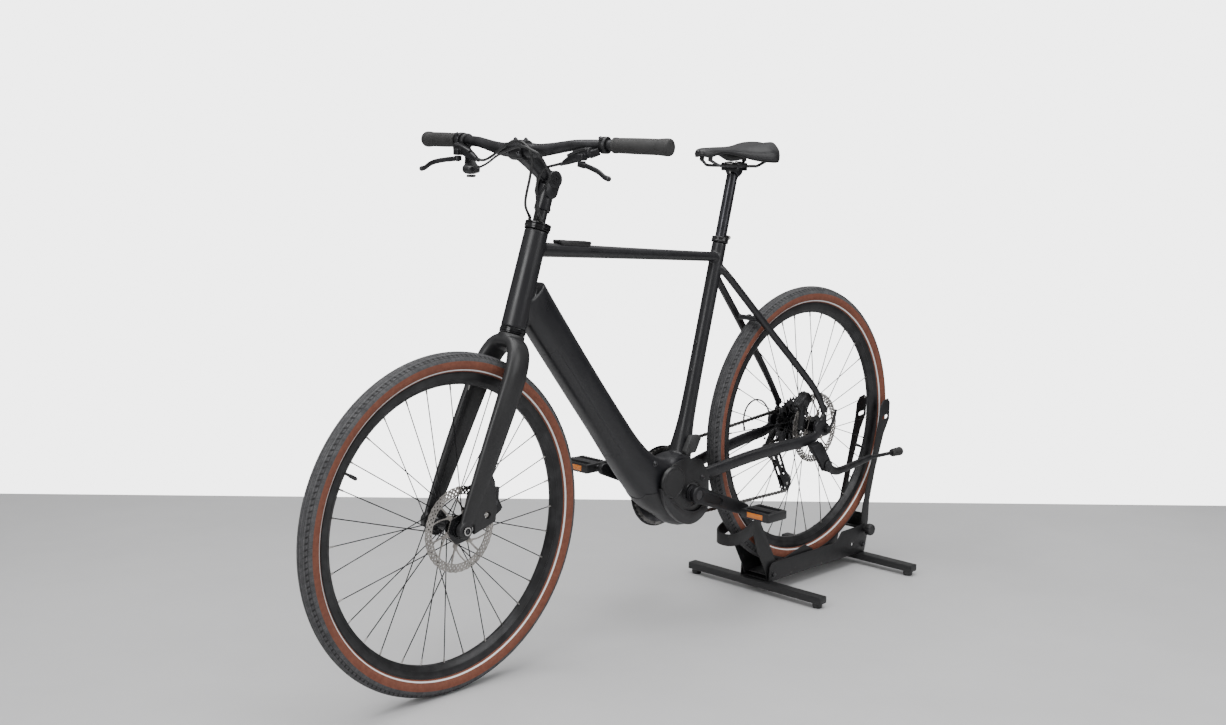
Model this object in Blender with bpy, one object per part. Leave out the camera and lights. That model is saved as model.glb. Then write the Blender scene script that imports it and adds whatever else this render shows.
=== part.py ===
"""A city e-bike whose rear wheel stands in a free-standing wheel stand.

Metres, +Z up. The bike faces -X and its left side faces -Y. Points are written in the bike's own
frame, whose zero is on the floor under the front axle, and one parent empty moves everything so
that the part's origin is on the floor in the middle of its length.
The rear wheel stands 45 mm higher than the front one, in the stand, so the frame leans forward.
"""
import math

import bmesh
import bpy
from mathutils import Vector

# ---- driving dimensions (metres) ----
WHEEL_RADIUS = 0.358
TYRE_SECTION = 0.022
RIM_FLANGE_RADIUS = 0.3165
RIM_INNER_RADIUS = 0.292
SPOKES_PER_WHEEL = 32
REAR_AXLE_X = 1.1754
REAR_AXLE_Z = 0.4028
ORIGIN_X = REAR_AXLE_X / 2
ROTOR_RADIUS = 0.090
ROTOR_Y = -0.043
GAP = 0.0004
AXLE_HOLE_RADIUS = 0.0066
CHAIN_Y = 0.0454
CHAIN_PITCH = 0.0127
CHAINRING_TEETH = 44
COG_TEETH = (34, 30, 26, 23, 20, 17, 15, 13, 11)
ENGAGED_COG = 4
COG_SPACING = 0.00434
PULLEY_TEETH = 11
CRANK_LENGTH = 0.170
CRANK_RISE_DEG = 21.0
PEDAL_Y = 0.0885
WHEEL_SIDES = 32

# ---- places in the bike's frame ----
FRONT_AXLE = Vector((0.0, 0.0, WHEEL_RADIUS))
REAR_AXLE = Vector((REAR_AXLE_X, 0.0, REAR_AXLE_Z))
HEAD_BOTTOM = Vector((0.1842, 0.0, 0.7474))
HEAD_TOP = Vector((0.2504, 0.0, 0.9481))
STEER = (HEAD_TOP - HEAD_BOTTOM).normalized()
STEM_PIVOT = Vector((0.2853, 0.0, 1.0540))
BAR_CLAMP = Vector((0.2044, 0.0, 1.1161))
CRANK_AXIS = Vector((0.6950, 0.0, 0.3145))
SEAT_BASE = Vector((0.7604, 0.0, 0.5930))
SEAT_DIRECTION = Vector((0.2535, 0.0, 0.9673)).normalized()
SADDLE_CLAMP = Vector((0.8860, 0.0, 1.0600))
GUIDE_PULLEY = Vector((1.1220, CHAIN_Y, 0.3380))
TENSION_PULLEY = Vector((1.1700, CHAIN_Y, 0.2430))
HANGER_BOLT = Vector((1.1830, 0.0, 0.3700))
KICKSTAND_PIVOT = Vector((1.1640, -0.0920, 0.3120))
YOKE_PIVOT = Vector((1.4060, 0.0, 0.0935))
LEVER_PIVOT = Vector((0.1960, 0.1900, 1.0940))
SHIFT_PIVOT = Vector((0.1960, 0.1500, 1.0580))

ACROSS = Vector((0, 1, 0))
UP = Vector((0, 0, 1))

# body name: the place of its empty, and the body it moves on
BODIES = {
    "stand": (Vector((0, 0, 0)), None),
    "yoke": (YOKE_PIVOT, "stand"),
    "knob": (YOKE_PIVOT, "stand"),
    "bike": (REAR_AXLE, "stand"),
    "steering": (HEAD_TOP, "bike"),
    "handlebar": (STEM_PIVOT, "steering"),
    "left_lever": (Vector((LEVER_PIVOT.x, -LEVER_PIVOT.y, LEVER_PIVOT.z)), "handlebar"),
    "right_lever": (LEVER_PIVOT, "handlebar"),
    "shift_lever": (SHIFT_PIVOT, "handlebar"),
    "front_wheel": (FRONT_AXLE, "steering"),
    "rear_wheel": (REAR_AXLE, "bike"),
    "cassette": (REAR_AXLE, "bike"),
    "cranks": (CRANK_AXIS, "bike"),
    "left_pedal": (None, "cranks"),
    "right_pedal": (None, "cranks"),
    "guide_pulley": (GUIDE_PULLEY, "bike"),
    "tension_pulley": (TENSION_PULLEY, "bike"),
    "seatpost": (SADDLE_CLAMP, "bike"),
    "saddle": (SADDLE_CLAMP, "seatpost"),
    "kickstand": (KICKSTAND_PIVOT, "bike"),
}

FINISHES = {
    "frame_paint": ((0.018, 0.018, 0.020), 0.50, 0.0),
    "black_alloy": ((0.020, 0.020, 0.021), 0.38, 0.6),
    "gloss_black": ((0.010, 0.010, 0.011), 0.12, 0.2),
    "black_plastic": ((0.020, 0.020, 0.021), 0.55, 0.0),
    "black_rubber": ((0.022, 0.022, 0.022), 0.85, 0.0),
    "tyre_rubber": ((0.045, 0.045, 0.047), 0.90, 0.0),
    "steel": ((0.62, 0.61, 0.60), 0.30, 1.0),
    "dark_steel": ((0.10, 0.10, 0.10), 0.40, 1.0),
    "stand_paint": ((0.015, 0.015, 0.016), 0.42, 0.0),
    "saddle_vinyl": ((0.022, 0.022, 0.024), 0.60, 0.0),
}


# ---- scene and bodies ----

def clear_scene():
    for item in list(bpy.data.objects):
        bpy.data.objects.remove(item)


def pedal_axle(side):
    """The pedal's thread on its crank arm: side is -1 on the left and +1 on the right."""
    turn = math.radians(CRANK_RISE_DEG)
    reach = Vector((math.cos(turn), 0, -math.sin(turn))) * CRANK_LENGTH * -side
    return CRANK_AXIS + reach + ACROSS * PEDAL_Y * side


def make_bodies():
    """One empty per moving body, on its joint's axis, below one empty that sets the origin."""
    origin = bpy.data.objects.new("origin", None)
    origin.location = (-ORIGIN_X, 0, 0)
    bpy.context.scene.collection.objects.link(origin)
    empties = {}
    for name, (place, parent) in BODIES.items():
        if place is None:
            place = pedal_axle(-1 if name.startswith("left") else 1)
            BODIES[name] = (place, parent)
        empty = bpy.data.objects.new("body_" + name, None)
        bpy.context.scene.collection.objects.link(empty)
        empty.parent = empties[parent] if parent else origin
        empty.location = place - (BODIES[parent][0] if parent else Vector((0, 0, 0)))
        empties[name] = empty
    return empties


def make_finishes():
    made = {}
    for name, (colour, roughness, metallic) in FINISHES.items():
        material = bpy.data.materials.new(name)
        material.use_nodes = True
        shader = material.node_tree.nodes["Principled BSDF"]
        shader.inputs["Base Color"].default_value = (*colour, 1)
        shader.inputs["Roughness"].default_value = roughness
        shader.inputs["Metallic"].default_value = metallic
        made[name] = material
    return made


# ---- shape tools: each gives a closed mesh object in the bike's frame ----

def solid(vertices, faces, name="shape"):
    mesh = bpy.data.meshes.new(name)
    mesh.from_pydata([tuple(v) for v in vertices], [], faces)
    shape = bmesh.new()
    shape.from_mesh(mesh)
    bmesh.ops.recalc_face_normals(shape, faces=shape.faces)
    shape.to_mesh(mesh)
    shape.free()
    item = bpy.data.objects.new(name, mesh)
    bpy.context.scene.collection.objects.link(item)
    return item


def skin_rings(rings, closed=False):
    """Joins equal rings of points with quads, with a face on each end unless it closes."""
    count = len(rings[0])
    vertices = [point for ring in rings for point in ring]
    faces = []
    spans = len(rings) if closed else len(rings) - 1
    for i in range(spans):
        low, high = i * count, ((i + 1) % len(rings)) * count
        for j in range(count):
            k = (j + 1) % count
            faces.append((low + j, low + k, high + k, high + j))
    if not closed:
        faces.append(tuple(reversed(range(count))))
        faces.append(tuple(range(len(vertices) - count, len(vertices))))
    return solid(vertices, faces)


def listed(value, count):
    return list(value) if isinstance(value, (list, tuple)) else [value] * count


def sweep(path, depth, width, fore, sides=12, power=2.0):
    """A rounded section carried along a path: depth is half its size along fore, width across."""
    path = [Vector(p) for p in path]
    depth, width = listed(depth, len(path)), listed(width, len(path))
    fore = Vector(fore)
    rings = []
    for i, centre in enumerate(path):
        along = (path[min(i + 1, len(path) - 1)] - path[max(i - 1, 0)]).normalized()
        deep = (fore - along * fore.dot(along)).normalized()
        wide = along.cross(deep)
        ring = []
        for j in range(sides):
            turn = 2 * math.pi * j / sides
            c, s = math.cos(turn), math.sin(turn)
            u = math.copysign(abs(c) ** (2 / power), c) * depth[i]
            v = math.copysign(abs(s) ** (2 / power), s) * width[i]
            ring.append(centre + deep * u + wide * v)
        rings.append(ring)
    return skin_rings(rings)


def turned(profile, centre, axis=ACROSS, sides=24, start=0.0):
    """A closed profile of (radius, height) points turned about an axis through centre."""
    axis = Vector(axis).normalized()
    first = Vector((1, 0, 0)) if abs(axis.x) < 0.9 else Vector((0, 1, 0))
    first = (first - axis * first.dot(axis)).normalized()
    second = axis.cross(first)
    vertices, starts = [], []
    for radius, height in profile:
        starts.append(len(vertices))
        if radius == 0:
            vertices.append(Vector(centre) + axis * height)
            continue
        for j in range(sides):
            turn = 2 * math.pi * j / sides + start
            out = first * math.cos(turn) + second * math.sin(turn)
            vertices.append(Vector(centre) + out * radius + axis * height)
    faces = []
    for i in range(len(profile)):
        k = (i + 1) % len(profile)
        low_point, high_point = profile[i][0] == 0, profile[k][0] == 0
        for j in range(sides):
            n = (j + 1) % sides
            a, b = starts[i], starts[k]
            if low_point and high_point:
                continue
            if low_point:
                faces.append((a, b + j, b + n))
            elif high_point:
                faces.append((a + j, a + n, b))
            else:
                faces.append((a + j, a + n, b + n, b + j))
    return solid(vertices, faces)


def rod(start, end, radius, sides=12, end_radius=None):
    """A straight round bar with flat ends, or a taper when it has an end radius."""
    start, end = Vector(start), Vector(end)
    axis = (end - start).normalized()
    first = Vector((1, 0, 0)) if abs(axis.x) < 0.9 else Vector((0, 1, 0))
    first = (first - axis * first.dot(axis)).normalized()
    second = axis.cross(first)
    rings = []
    for centre, size in ((start, radius), (end, radius if end_radius is None else end_radius)):
        turns = [2 * math.pi * j / sides for j in range(sides)]
        rings.append([centre + (first * math.cos(t) + second * math.sin(t)) * size for t in turns])
    return skin_rings(rings)


def plate(outline, low, high, plane="XZ"):
    """A flat outline given thickness: along Y for an XZ outline, along Z for an XY one."""
    def lift(point, height):
        a, b = point
        return Vector((a, height, b)) if plane == "XZ" else Vector((a, b, height))
    return skin_rings([[lift(p, low) for p in outline], [lift(p, high) for p in outline]])


def box(low, high):
    outline = [(low[0], low[1]), (high[0], low[1]), (high[0], high[1]), (low[0], high[1])]
    return plate(outline, low[2], high[2], "XY")


def beam(start, end, depth, width, fore):
    """A square-edged bar between two points."""
    start, end, fore = Vector(start), Vector(end), Vector(fore)
    along = (end - start).normalized()
    deep = (fore - along * fore.dot(along)).normalized() * depth
    wide = along.cross(deep).normalized() * width
    corners = (deep + wide, deep - wide, -deep - wide, wide - deep)
    return skin_rings([[end_point + c for c in corners] for end_point in (start, end)])


def circle(centre, radius, count, start=0.0):
    step = 2 * math.pi / count
    return [(centre[0] + radius * math.cos(start + step * i),
             centre[1] + radius * math.sin(start + step * i)) for i in range(count)]


def capsule(first, first_radius, second, second_radius, count=8):
    """The outline round two circles, for arms, links and lugs."""
    dx, dz = second[0] - first[0], second[1] - first[1]
    length = math.hypot(dx, dz)
    heading = math.atan2(dz, dx)
    spread = math.acos((first_radius - second_radius) / length)
    points = []
    for (cx, cz), radius, start, end in (
            (second, second_radius, -spread, spread),
            (first, first_radius, spread, 2 * math.pi - spread)):
        for i in range(count + 1):
            turn = heading + start + (end - start) * i / count
            points.append((cx + radius * math.cos(turn), cz + radius * math.sin(turn)))
    return points


def smooth_path(points, steps=4):
    """A smooth curve through the points, with steps spans between each pair."""
    points = [Vector(p) for p in points]
    ends = [points[0] * 2 - points[1]] + points + [points[-1] * 2 - points[-2]]
    path = []
    for i in range(1, len(ends) - 2):
        a, b, c, d = ends[i - 1:i + 3]
        for k in range(steps):
            t = k / steps
            path.append(0.5 * (2 * b + (c - a) * t + (2 * a - 5 * b + 4 * c - d) * t ** 2
                               + (3 * b - a - 3 * c + d) * t ** 3))
    return path + [points[-1]]


def merge(parts):
    """Puts loose shapes in one mesh, for cutting or joining in one go."""
    vertices, faces = [], []
    for part in parts:
        offset = len(vertices)
        vertices += [v.co.copy() for v in part.data.vertices]
        faces += [tuple(i + offset for i in f.vertices) for f in part.data.polygons]
        bpy.data.objects.remove(part)
    return solid(vertices, faces)


def boolean(base, other, operation):
    step = base.modifiers.new(operation.lower(), "BOOLEAN")
    step.operation = operation
    step.solver = "EXACT"
    step.object = other
    graph = bpy.context.evaluated_depsgraph_get()
    mesh = bpy.data.meshes.new_from_object(base.evaluated_get(graph))
    base.modifiers.clear()
    base.data = mesh
    bpy.data.objects.remove(other)
    return base


def join(base, *others):
    for other in others:
        boolean(base, other, "UNION")
    return base


def cut(base, *others):
    for other in others:
        boolean(base, other, "DIFFERENCE")
    return base


def keep(base, other):
    return boolean(base, other, "INTERSECT")


def moved(item, offset):
    for vertex in item.data.vertices:
        vertex.co += Vector(offset)
    return item


class Assembly:
    """Names each finished piece and hangs it on its body's empty."""

    def __init__(self):
        self.empties = make_bodies()
        self.finishes = make_finishes()

    def add(self, name, item, body, finish, crease=35):
        place = BODIES[body][0]
        moved(item, -place)
        item.name = name
        item.data.name = name
        item.parent = self.empties[body]
        item.data.materials.clear()
        item.data.materials.append(self.finishes[finish])
        item.data.shade_smooth()
        item.data.set_sharp_from_angle(angle=math.radians(crease))


# ---- the stand ----

STAND_BAR_BOTTOM = 0.012
STAND_BAR_TOP = 0.030
STAND_PLATE_Y = 0.0470
STAND_SHEET = 0.0025
CRADLE_Y = 0.0380
CRADLE_PIVOT = (1.0180, 0.0480)


def stand_bar(x):
    """A flat steel tube across the stand, open at its ends, on two rubber pads."""
    half_width, half_length, wall = 0.0150, 0.2130, 0.0018
    bar = box((x - half_width, -half_length, STAND_BAR_BOTTOM), (x + half_width, half_length, STAND_BAR_TOP))
    inside = box((x - half_width + wall, -0.25, STAND_BAR_BOTTOM + wall),
                 (x + half_width - wall, 0.25, STAND_BAR_TOP - wall))
    cut(bar, inside)
    for y in (-0.197, 0.197):
        join(bar, turned([(0, 0), (0.0115, 0), (0.0125, 0.0125), (0, 0.0125)], (x, y, 0), UP, 12))
    return bar


def stand_base():
    """A folded channel: two side plates on a floor, with a bolt head at each pivot."""
    side = [(1.002, 0.0304), (1.408, 0.0304), (1.419, 0.074), (1.420, 0.096), (1.406, 0.109),
            (1.380, 0.105), (1.304, 0.104), (1.281, 0.079), (1.014, 0.078), (1.004, 0.068)]
    base = plate(side, -STAND_PLATE_Y, -STAND_PLATE_Y + STAND_SHEET)
    join(base, plate(side, STAND_PLATE_Y - STAND_SHEET, STAND_PLATE_Y))
    join(base, box((1.010, -STAND_PLATE_Y + 0.001, 0.0304), (1.400, STAND_PLATE_Y - 0.001, 0.0330)))
    for x, z in (CRADLE_PIVOT, (1.400, 0.052)):
        for side_sign in (-1, 1):
            start = Vector((x, side_sign * (STAND_PLATE_Y - 0.001), z))
            join(base, rod(start, start + ACROSS * side_sign * 0.0055, 0.0065, 6))
    holes = [rod((YOKE_PIVOT.x, y - 0.005, YOKE_PIVOT.z), (YOKE_PIVOT.x, y + 0.005, YOKE_PIVOT.z), 0.0047, 12)
             for y in (-0.0458, 0.0458)]
    for side_sign in (-1, 1):
        y = side_sign * 0.0458
        holes.append(rod((1.352, y - 0.005, 0.060), (1.352, y + 0.005, 0.060), 0.0045, 12))
    return cut(base, merge(holes))


def stand_cradle():
    """The rocking cradle: a tray under the tyre, arms, and a hoop round the tyre's front."""
    thick = 0.003
    side = [(1.004, 0.037), (1.190, 0.037), (1.192, 0.078), (1.157, 0.0965), (1.075, 0.077),
            (1.038, 0.077), (0.977, 0.184), (0.974, 0.197), (0.940, 0.199), (0.940, 0.163),
            (0.950, 0.157), (0.962, 0.120), (0.998, 0.056)]
    cradle = plate(side, -CRADLE_Y, -CRADLE_Y + thick)
    join(cradle, plate(side, CRADLE_Y - thick, CRADLE_Y))
    outer = [(0.946, -0.0385), (0.918, -0.0385), (0.888, -0.026), (0.875, -0.010),
             (0.875, 0.010), (0.888, 0.026), (0.918, 0.0385), (0.946, 0.0385)]
    inner = [(0.946, 0.0349), (0.919, 0.0349), (0.8905, 0.0235), (0.8785, 0.0085),
             (0.8785, -0.0085), (0.8905, -0.0235), (0.919, -0.0349), (0.946, -0.0349)]
    join(cradle, plate(outer + inner, 0.1605, 0.1985, "XY"))
    join(cradle, box((1.012, -CRADLE_Y + 0.001, 0.0415), (1.186, CRADLE_Y - 0.001, 0.0444)))
    for side_sign in (-1, 1):
        start = Vector((CRADLE_PIVOT[0], side_sign * (CRADLE_Y - 0.001), CRADLE_PIVOT[1]))
        end = Vector((CRADLE_PIVOT[0], side_sign * (STAND_PLATE_Y - STAND_SHEET - GAP), CRADLE_PIVOT[1]))
        join(cradle, rod(start, end, 0.0075, 12))
    return cradle


def stand_yoke():
    """The rear upright: an arm on each side of the tyre, joined by a web behind it."""
    arm = [(1.396, 0.084), (1.426, 0.084), (1.431, 0.110), (1.433, 0.160), (1.455, 0.247),
           (1.489, 0.341), (1.512, 0.379), (1.513, 0.424), (1.504, 0.436), (1.482, 0.432),
           (1.470, 0.415), (1.466, 0.381), (1.436, 0.2655), (1.4046, 0.153)]
    thick = 0.003
    yoke = plate(arm, -0.0400, -0.0400 + thick)
    join(yoke, plate(arm, 0.0400 - thick, 0.0400))
    join(yoke, box((1.4215, -0.0390, 0.0860), (1.4245, 0.0390, 0.1300)))
    slot = capsule((1.484, 0.3845), 0.0055, (1.500, 0.3870), 0.0055, 4)
    cut(yoke, plate(slot, -0.045, 0.045))
    cut(yoke, rod((YOKE_PIVOT.x, -0.05, YOKE_PIVOT.z), (YOKE_PIVOT.x, 0.05, YOKE_PIVOT.z), 0.0047, 12))
    return yoke


def stand_knob():
    """A ribbed clamp knob with its bolt right through the stand."""
    profile = [(0, -0.0715), (0.0135, -0.0715), (0.0155, -0.0690), (0.0155, -0.0560),
               (0.0090, -0.0535), (0.0090, -0.0475), (0.0042, -0.0475), (0.0042, 0.0480),
               (0.0075, 0.0480), (0.0075, 0.0530), (0, 0.0530)]
    return turned(profile, YOKE_PIVOT, ACROSS, 16)


def build_stand(assembly):
    assembly.add("stand_front_bar", stand_bar(1.0040), "stand", "stand_paint")
    assembly.add("stand_rear_bar", stand_bar(1.3940), "stand", "stand_paint")
    assembly.add("stand_base", stand_base(), "stand", "stand_paint")
    assembly.add("stand_cradle", stand_cradle(), "stand", "stand_paint")
    assembly.add("stand_yoke", stand_yoke(), "yoke", "stand_paint")
    assembly.add("stand_knob", stand_knob(), "knob", "black_plastic")


# ---- the frame ----

# down tube and motor shell, from the head tube back: x, z, half depth, half width
DOWN_TUBE = [(0.2240, 0.8130, 0.0460, 0.0270), (0.2650, 0.7570, 0.0440, 0.0310),
             (0.3600, 0.6330, 0.0415, 0.0340), (0.4550, 0.5120, 0.0415, 0.0345),
             (0.5180, 0.4330, 0.0435, 0.0370), (0.5700, 0.3790, 0.0490, 0.0420),
             (0.6170, 0.3450, 0.0620, 0.0470), (0.6650, 0.3310, 0.0790, 0.0500),
             (0.7150, 0.3190, 0.0900, 0.0500), (0.7480, 0.3300, 0.0640, 0.0460)]
BATTERY_START = Vector((0.3050, 0.0, 0.7050))
BATTERY_END = Vector((0.4950, 0.0, 0.4620))
COVER_DEPTH = 0.0230
MOTOR_BAY = [(0.602, 0.361), (0.613, 0.331), (0.641, 0.297), (0.691, 0.2785), (0.7345, 0.2905),
             (0.7460, 0.312), (0.7440, 0.350), (0.719, 0.379), (0.652, 0.389)]
SEAT_COLLAR_Z = 0.8900
STAY_END_Y = 0.0735


def seat_point(z):
    """The point of the seat tube's axis at a height."""
    return SEAT_BASE + SEAT_DIRECTION * ((z - SEAT_BASE.z) / SEAT_DIRECTION.z)


def down_tube():
    path = [(x, 0, z) for x, z, _, _ in DOWN_TUBE]
    depth = [row[2] for row in DOWN_TUBE]
    width = [row[3] for row in DOWN_TUBE]
    return sweep(path, depth, width, (0.78, 0, 0.63), 16, 2.7)


def battery_frame():
    """The battery's own directions: along the down tube, and out of its lower side."""
    along = (BATTERY_END - BATTERY_START).normalized()
    return along, ACROSS.cross(along)


def battery_block(grow, low, high, half_width):
    """A block along the down tube; low and high are measured out of the tube's lower side."""
    along, out = battery_frame()
    start = BATTERY_START - along * grow + out * (low + high) / 2
    end = BATTERY_END + along * grow + out * (low + high) / 2
    return beam(start, end, (high - low) / 2, half_width, out)


def stay(points, depth, width, side, sides=8, power=2.3):
    path = [(x, y * side, z) for x, y, z in points]
    return sweep(path, depth, width, UP, sides, power)


def rear_triangle(side):
    """One side's chain stay, seat stay and dropout."""
    chain_stay = stay([(0.735, 0.030, 0.344), (0.800, 0.0375, 0.353), (0.900, 0.0480, 0.367),
                       (1.000, 0.0600, 0.377), (1.070, 0.0690, 0.381), (1.120, STAY_END_Y, 0.385),
                       (1.151, STAY_END_Y, 0.399), (1.170, STAY_END_Y, 0.432), (1.171, STAY_END_Y, 0.462)],
                      [0.0160, 0.0160, 0.0160, 0.0155, 0.0150, 0.0145, 0.0135, 0.0125, 0.0110],
                      [0.0065, 0.0065, 0.0075, 0.0080, 0.0075, 0.0060, 0.0060, 0.0060, 0.0058], side)
    seat_stay = stay([(0.8230, 0.006, 0.8400), (0.8500, 0.0200, 0.8105), (0.9650, 0.0395, 0.6900),
                      (1.0750, 0.0600, 0.5750), (1.1350, 0.0715, 0.5080), (1.1700, 0.0730, 0.4560)],
                     [0.0088, 0.0090, 0.0092, 0.0092, 0.0092, 0.0098],
                     [0.0080, 0.0085, 0.0088, 0.0085, 0.0070, 0.0056], side)
    low, high = sorted((side * 0.0678, side * 0.0792))
    tab = plate(capsule((REAR_AXLE.x, REAR_AXLE.z), 0.0170, (1.150, 0.412), 0.0170, 5), low, high)
    return join(chain_stay, seat_stay, tab)


def frame_body():
    """The welded frame: tubes, motor shell and stays, bored for what runs inside it."""
    frame = down_tube()
    head = rod(HEAD_BOTTOM, HEAD_TOP, 0.0272, 20, 0.0256)
    top_tube = sweep([(0.2360, 0, 0.9100), (0.300, 0, 0.9040), (0.565, 0, 0.8805), (0.800, 0, 0.8600),
                      (0.824, 0, 0.8575)],
                     [0.0160, 0.0150, 0.0125, 0.0112, 0.0110], [0.0200, 0.0185, 0.0165, 0.0150, 0.0140],
                     UP, 12, 2.4)
    seat_heights = [0.330, 0.400, 0.440, 0.480, 0.540, 0.640, SEAT_COLLAR_Z]
    seat_tube = sweep([seat_point(z) for z in seat_heights],
                      [0.0330, 0.0270, 0.0230, 0.0195, 0.0180, 0.0172, 0.0172],
                      [0.0330, 0.0280, 0.0230, 0.0195, 0.0180, 0.0172, 0.0172], (1, 0, 0), 16)
    join(frame, head, top_tube, seat_tube)
    for side in (-1, 1):
        join(frame, rear_triangle(side))
    bridge_z = 0.7000
    join(frame, rod((0.9560, -0.038, bridge_z), (0.9560, 0.038, bridge_z), 0.0065, 8))
    return frame


def bore_frame(frame):
    bore_start = HEAD_BOTTOM - STEER * 0.01
    cut(frame, turned([(0, 0), (0.0185, 0), (0.0185, 0.240), (0, 0.240)], bore_start, STEER, 16, 0.1))
    ring_side = CRANK_AXIS + ACROSS * 0.0420
    cut(frame, rod(ring_side, ring_side + ACROSS * 0.0500, 0.1080, 24))
    seat_top = seat_point(SEAT_COLLAR_Z)
    cut(frame, rod(seat_top - SEAT_DIRECTION * 0.300, seat_top + SEAT_DIRECTION * 0.01, 0.01405, 16))
    cut(frame, plate(MOTOR_BAY, -0.07, 0.07))
    cut(frame, battery_block(0.0, -0.031, 0.080, 0.0265))
    cut(frame, battery_block(0.0060, COVER_DEPTH, 0.080, 0.060))
    axle_hole = rod(REAR_AXLE - ACROSS * 0.10, REAR_AXLE + ACROSS * 0.10, AXLE_HOLE_RADIUS, 16)
    return cut(frame, axle_hole)


def battery_cover():
    """The slice of the down tube's lower side that closes the battery bay."""
    cover = down_tube()
    return keep(cover, battery_block(0.0060 - GAP, COVER_DEPTH + GAP, 0.078, 0.058))


def drive_unit():
    """The mid motor: a cast body in the motor bay, bored for the crank spindle."""
    centre = Vector((0.677, 0, 0.328))
    inset = [(centre.x + (x - centre.x) * 0.99, centre.z + (z - centre.z) * 0.985) for x, z in MOTOR_BAY]
    motor = plate(inset, -0.0440, 0.0330)
    join(motor, rod(CRANK_AXIS - ACROSS * 0.0635, CRANK_AXIS + ACROSS * 0.0380, 0.0200, 20))
    return cut(motor, rod(CRANK_AXIS - ACROSS * 0.08, CRANK_AXIS + ACROSS * 0.08, 0.0116, 16))


def drive_cover():
    """The left motor cover: an eight-sided plate with a round badge disc, and the belly guard."""
    outline = [(0.586, 0.340), (0.604, 0.305), (0.640, 0.262), (0.690, 0.240), (0.744, 0.262),
               (0.766, 0.312), (0.764, 0.352), (0.735, 0.392), (0.672, 0.404), (0.628, 0.396)]
    cover = plate(outline, -0.0545, -0.0512)
    join(cover, rod((0.628, -0.0540, 0.352), (0.628, -0.0605, 0.352), 0.0385, 24, 0.0360))
    return cut(cover, rod(CRANK_AXIS - ACROSS * 0.08, CRANK_AXIS - ACROSS * 0.03, 0.0206, 20))


def charge_port_cover():
    """The rubber flap over the charging socket, on the left of the seat tube's foot."""
    return beam((0.706, -0.0515, 0.412), (0.722, -0.0420, 0.452), 0.0120, 0.0050, (1, 0, 0))


def top_tube_controller():
    """The flat control and display unit on the top tube."""
    outline = [(0.306, -0.0120), (0.314, -0.0150), (0.394, -0.0150), (0.402, -0.0120),
               (0.402, 0.0120), (0.394, 0.0150), (0.314, 0.0150), (0.306, 0.0120)]
    along = Vector((0.265, 0, -0.0235)).normalized()
    tilt = along.z / along.x
    start = 0.9199
    low = [Vector((x, y, start + (x - 0.300) * tilt)) for x, y in outline]
    high = [point + UP * 0.0065 for point in low]
    return skin_rings([low, high])


def seat_clamp():
    """The split collar that clamps the seatpost, resting on the seat tube."""
    base = seat_point(SEAT_COLLAR_Z + GAP)
    collar = turned([(0.0144, 0), (0.0200, 0), (0.0205, 0.004), (0.0205, 0.011), (0.0192, 0.013),
                     (0.0144, 0.013)], base, SEAT_DIRECTION, 20)
    ear = base + Vector((0.023, 0, 0.012))
    join(collar, beam(ear + ACROSS * -0.010, ear + ACROSS * 0.010, 0.0050, 0.0055, SEAT_DIRECTION))
    slot = base + Vector((0.022, 0, 0))
    return cut(collar, beam(slot - SEAT_DIRECTION * 0.02, slot + SEAT_DIRECTION * 0.04, 0.0120, 0.0008, (1, 0, 0)))


def rear_axle():
    """The through axle, with its head and lever on the left."""
    axle = turned([(0, -0.0900), (0.0070, -0.0900), (0.0085, -0.0870), (0.0085, -0.0797),
                   (0.0060, -0.0797), (0.0060, 0.0810), (0, 0.0810)], REAR_AXLE, ACROSS, 16)
    lever = sweep([(REAR_AXLE.x + 0.004, -0.0865, REAR_AXLE.z + 0.003), (REAR_AXLE.x + 0.018, -0.0880, REAR_AXLE.z + 0.022),
                   (REAR_AXLE.x + 0.026, -0.0890, REAR_AXLE.z + 0.050)], [0.0045, 0.0045, 0.0040], 0.0022, (1, 0, -0.6), 8)
    return join(axle, lever)


def build_frame(assembly):
    assembly.add("frame", bore_frame(frame_body()), "bike", "frame_paint", 40)
    assembly.add("battery_cover", battery_cover(), "bike", "frame_paint", 40)
    assembly.add("battery_pack", battery_block(-0.002, -0.0300, COVER_DEPTH - 0.001, 0.0255), "bike", "black_plastic")
    assembly.add("drive_unit", drive_unit(), "bike", "black_alloy")
    assembly.add("drive_cover", drive_cover(), "bike", "black_plastic")
    assembly.add("charge_port_cover", charge_port_cover(), "bike", "black_rubber")
    assembly.add("display_controller", top_tube_controller(), "bike", "black_plastic")
    assembly.add("seat_clamp", seat_clamp(), "bike", "black_alloy")
    assembly.add("rear_axle", rear_axle(), "bike", "black_alloy")


# ---- brakes ----

def caliper(axle, turn_deg, mount):
    """A disc caliper: a body with a slot for the rotor and a lug towards its mount."""
    turn = math.radians(turn_deg)
    out = Vector((math.cos(turn), 0, math.sin(turn)))
    along = Vector((-out.z, 0, out.x))
    centre = axle + out * 0.0920 + ACROSS * (ROTOR_Y - 0.001)
    body = beam(centre - along * 0.0260, centre + along * 0.0260, 0.0150, 0.0125, out)
    join(body, rod(centre - ACROSS * 0.0128, centre + ACROSS * 0.0160, 0.0115, 12))
    slot = beam(centre - along * 0.05 - out * 0.007, centre + along * 0.05 - out * 0.007, 0.0120, 0.0022, out)
    cut(body, moved(slot, (0, 0.001, 0)))
    return join(body, beam(centre + out * 0.008 - ACROSS * 0.0075, Vector(mount), 0.0070, 0.0045, along))


# ---- steering ----

FORK_SIDE = Vector((0.4318, 0.0, 0.9020))


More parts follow.
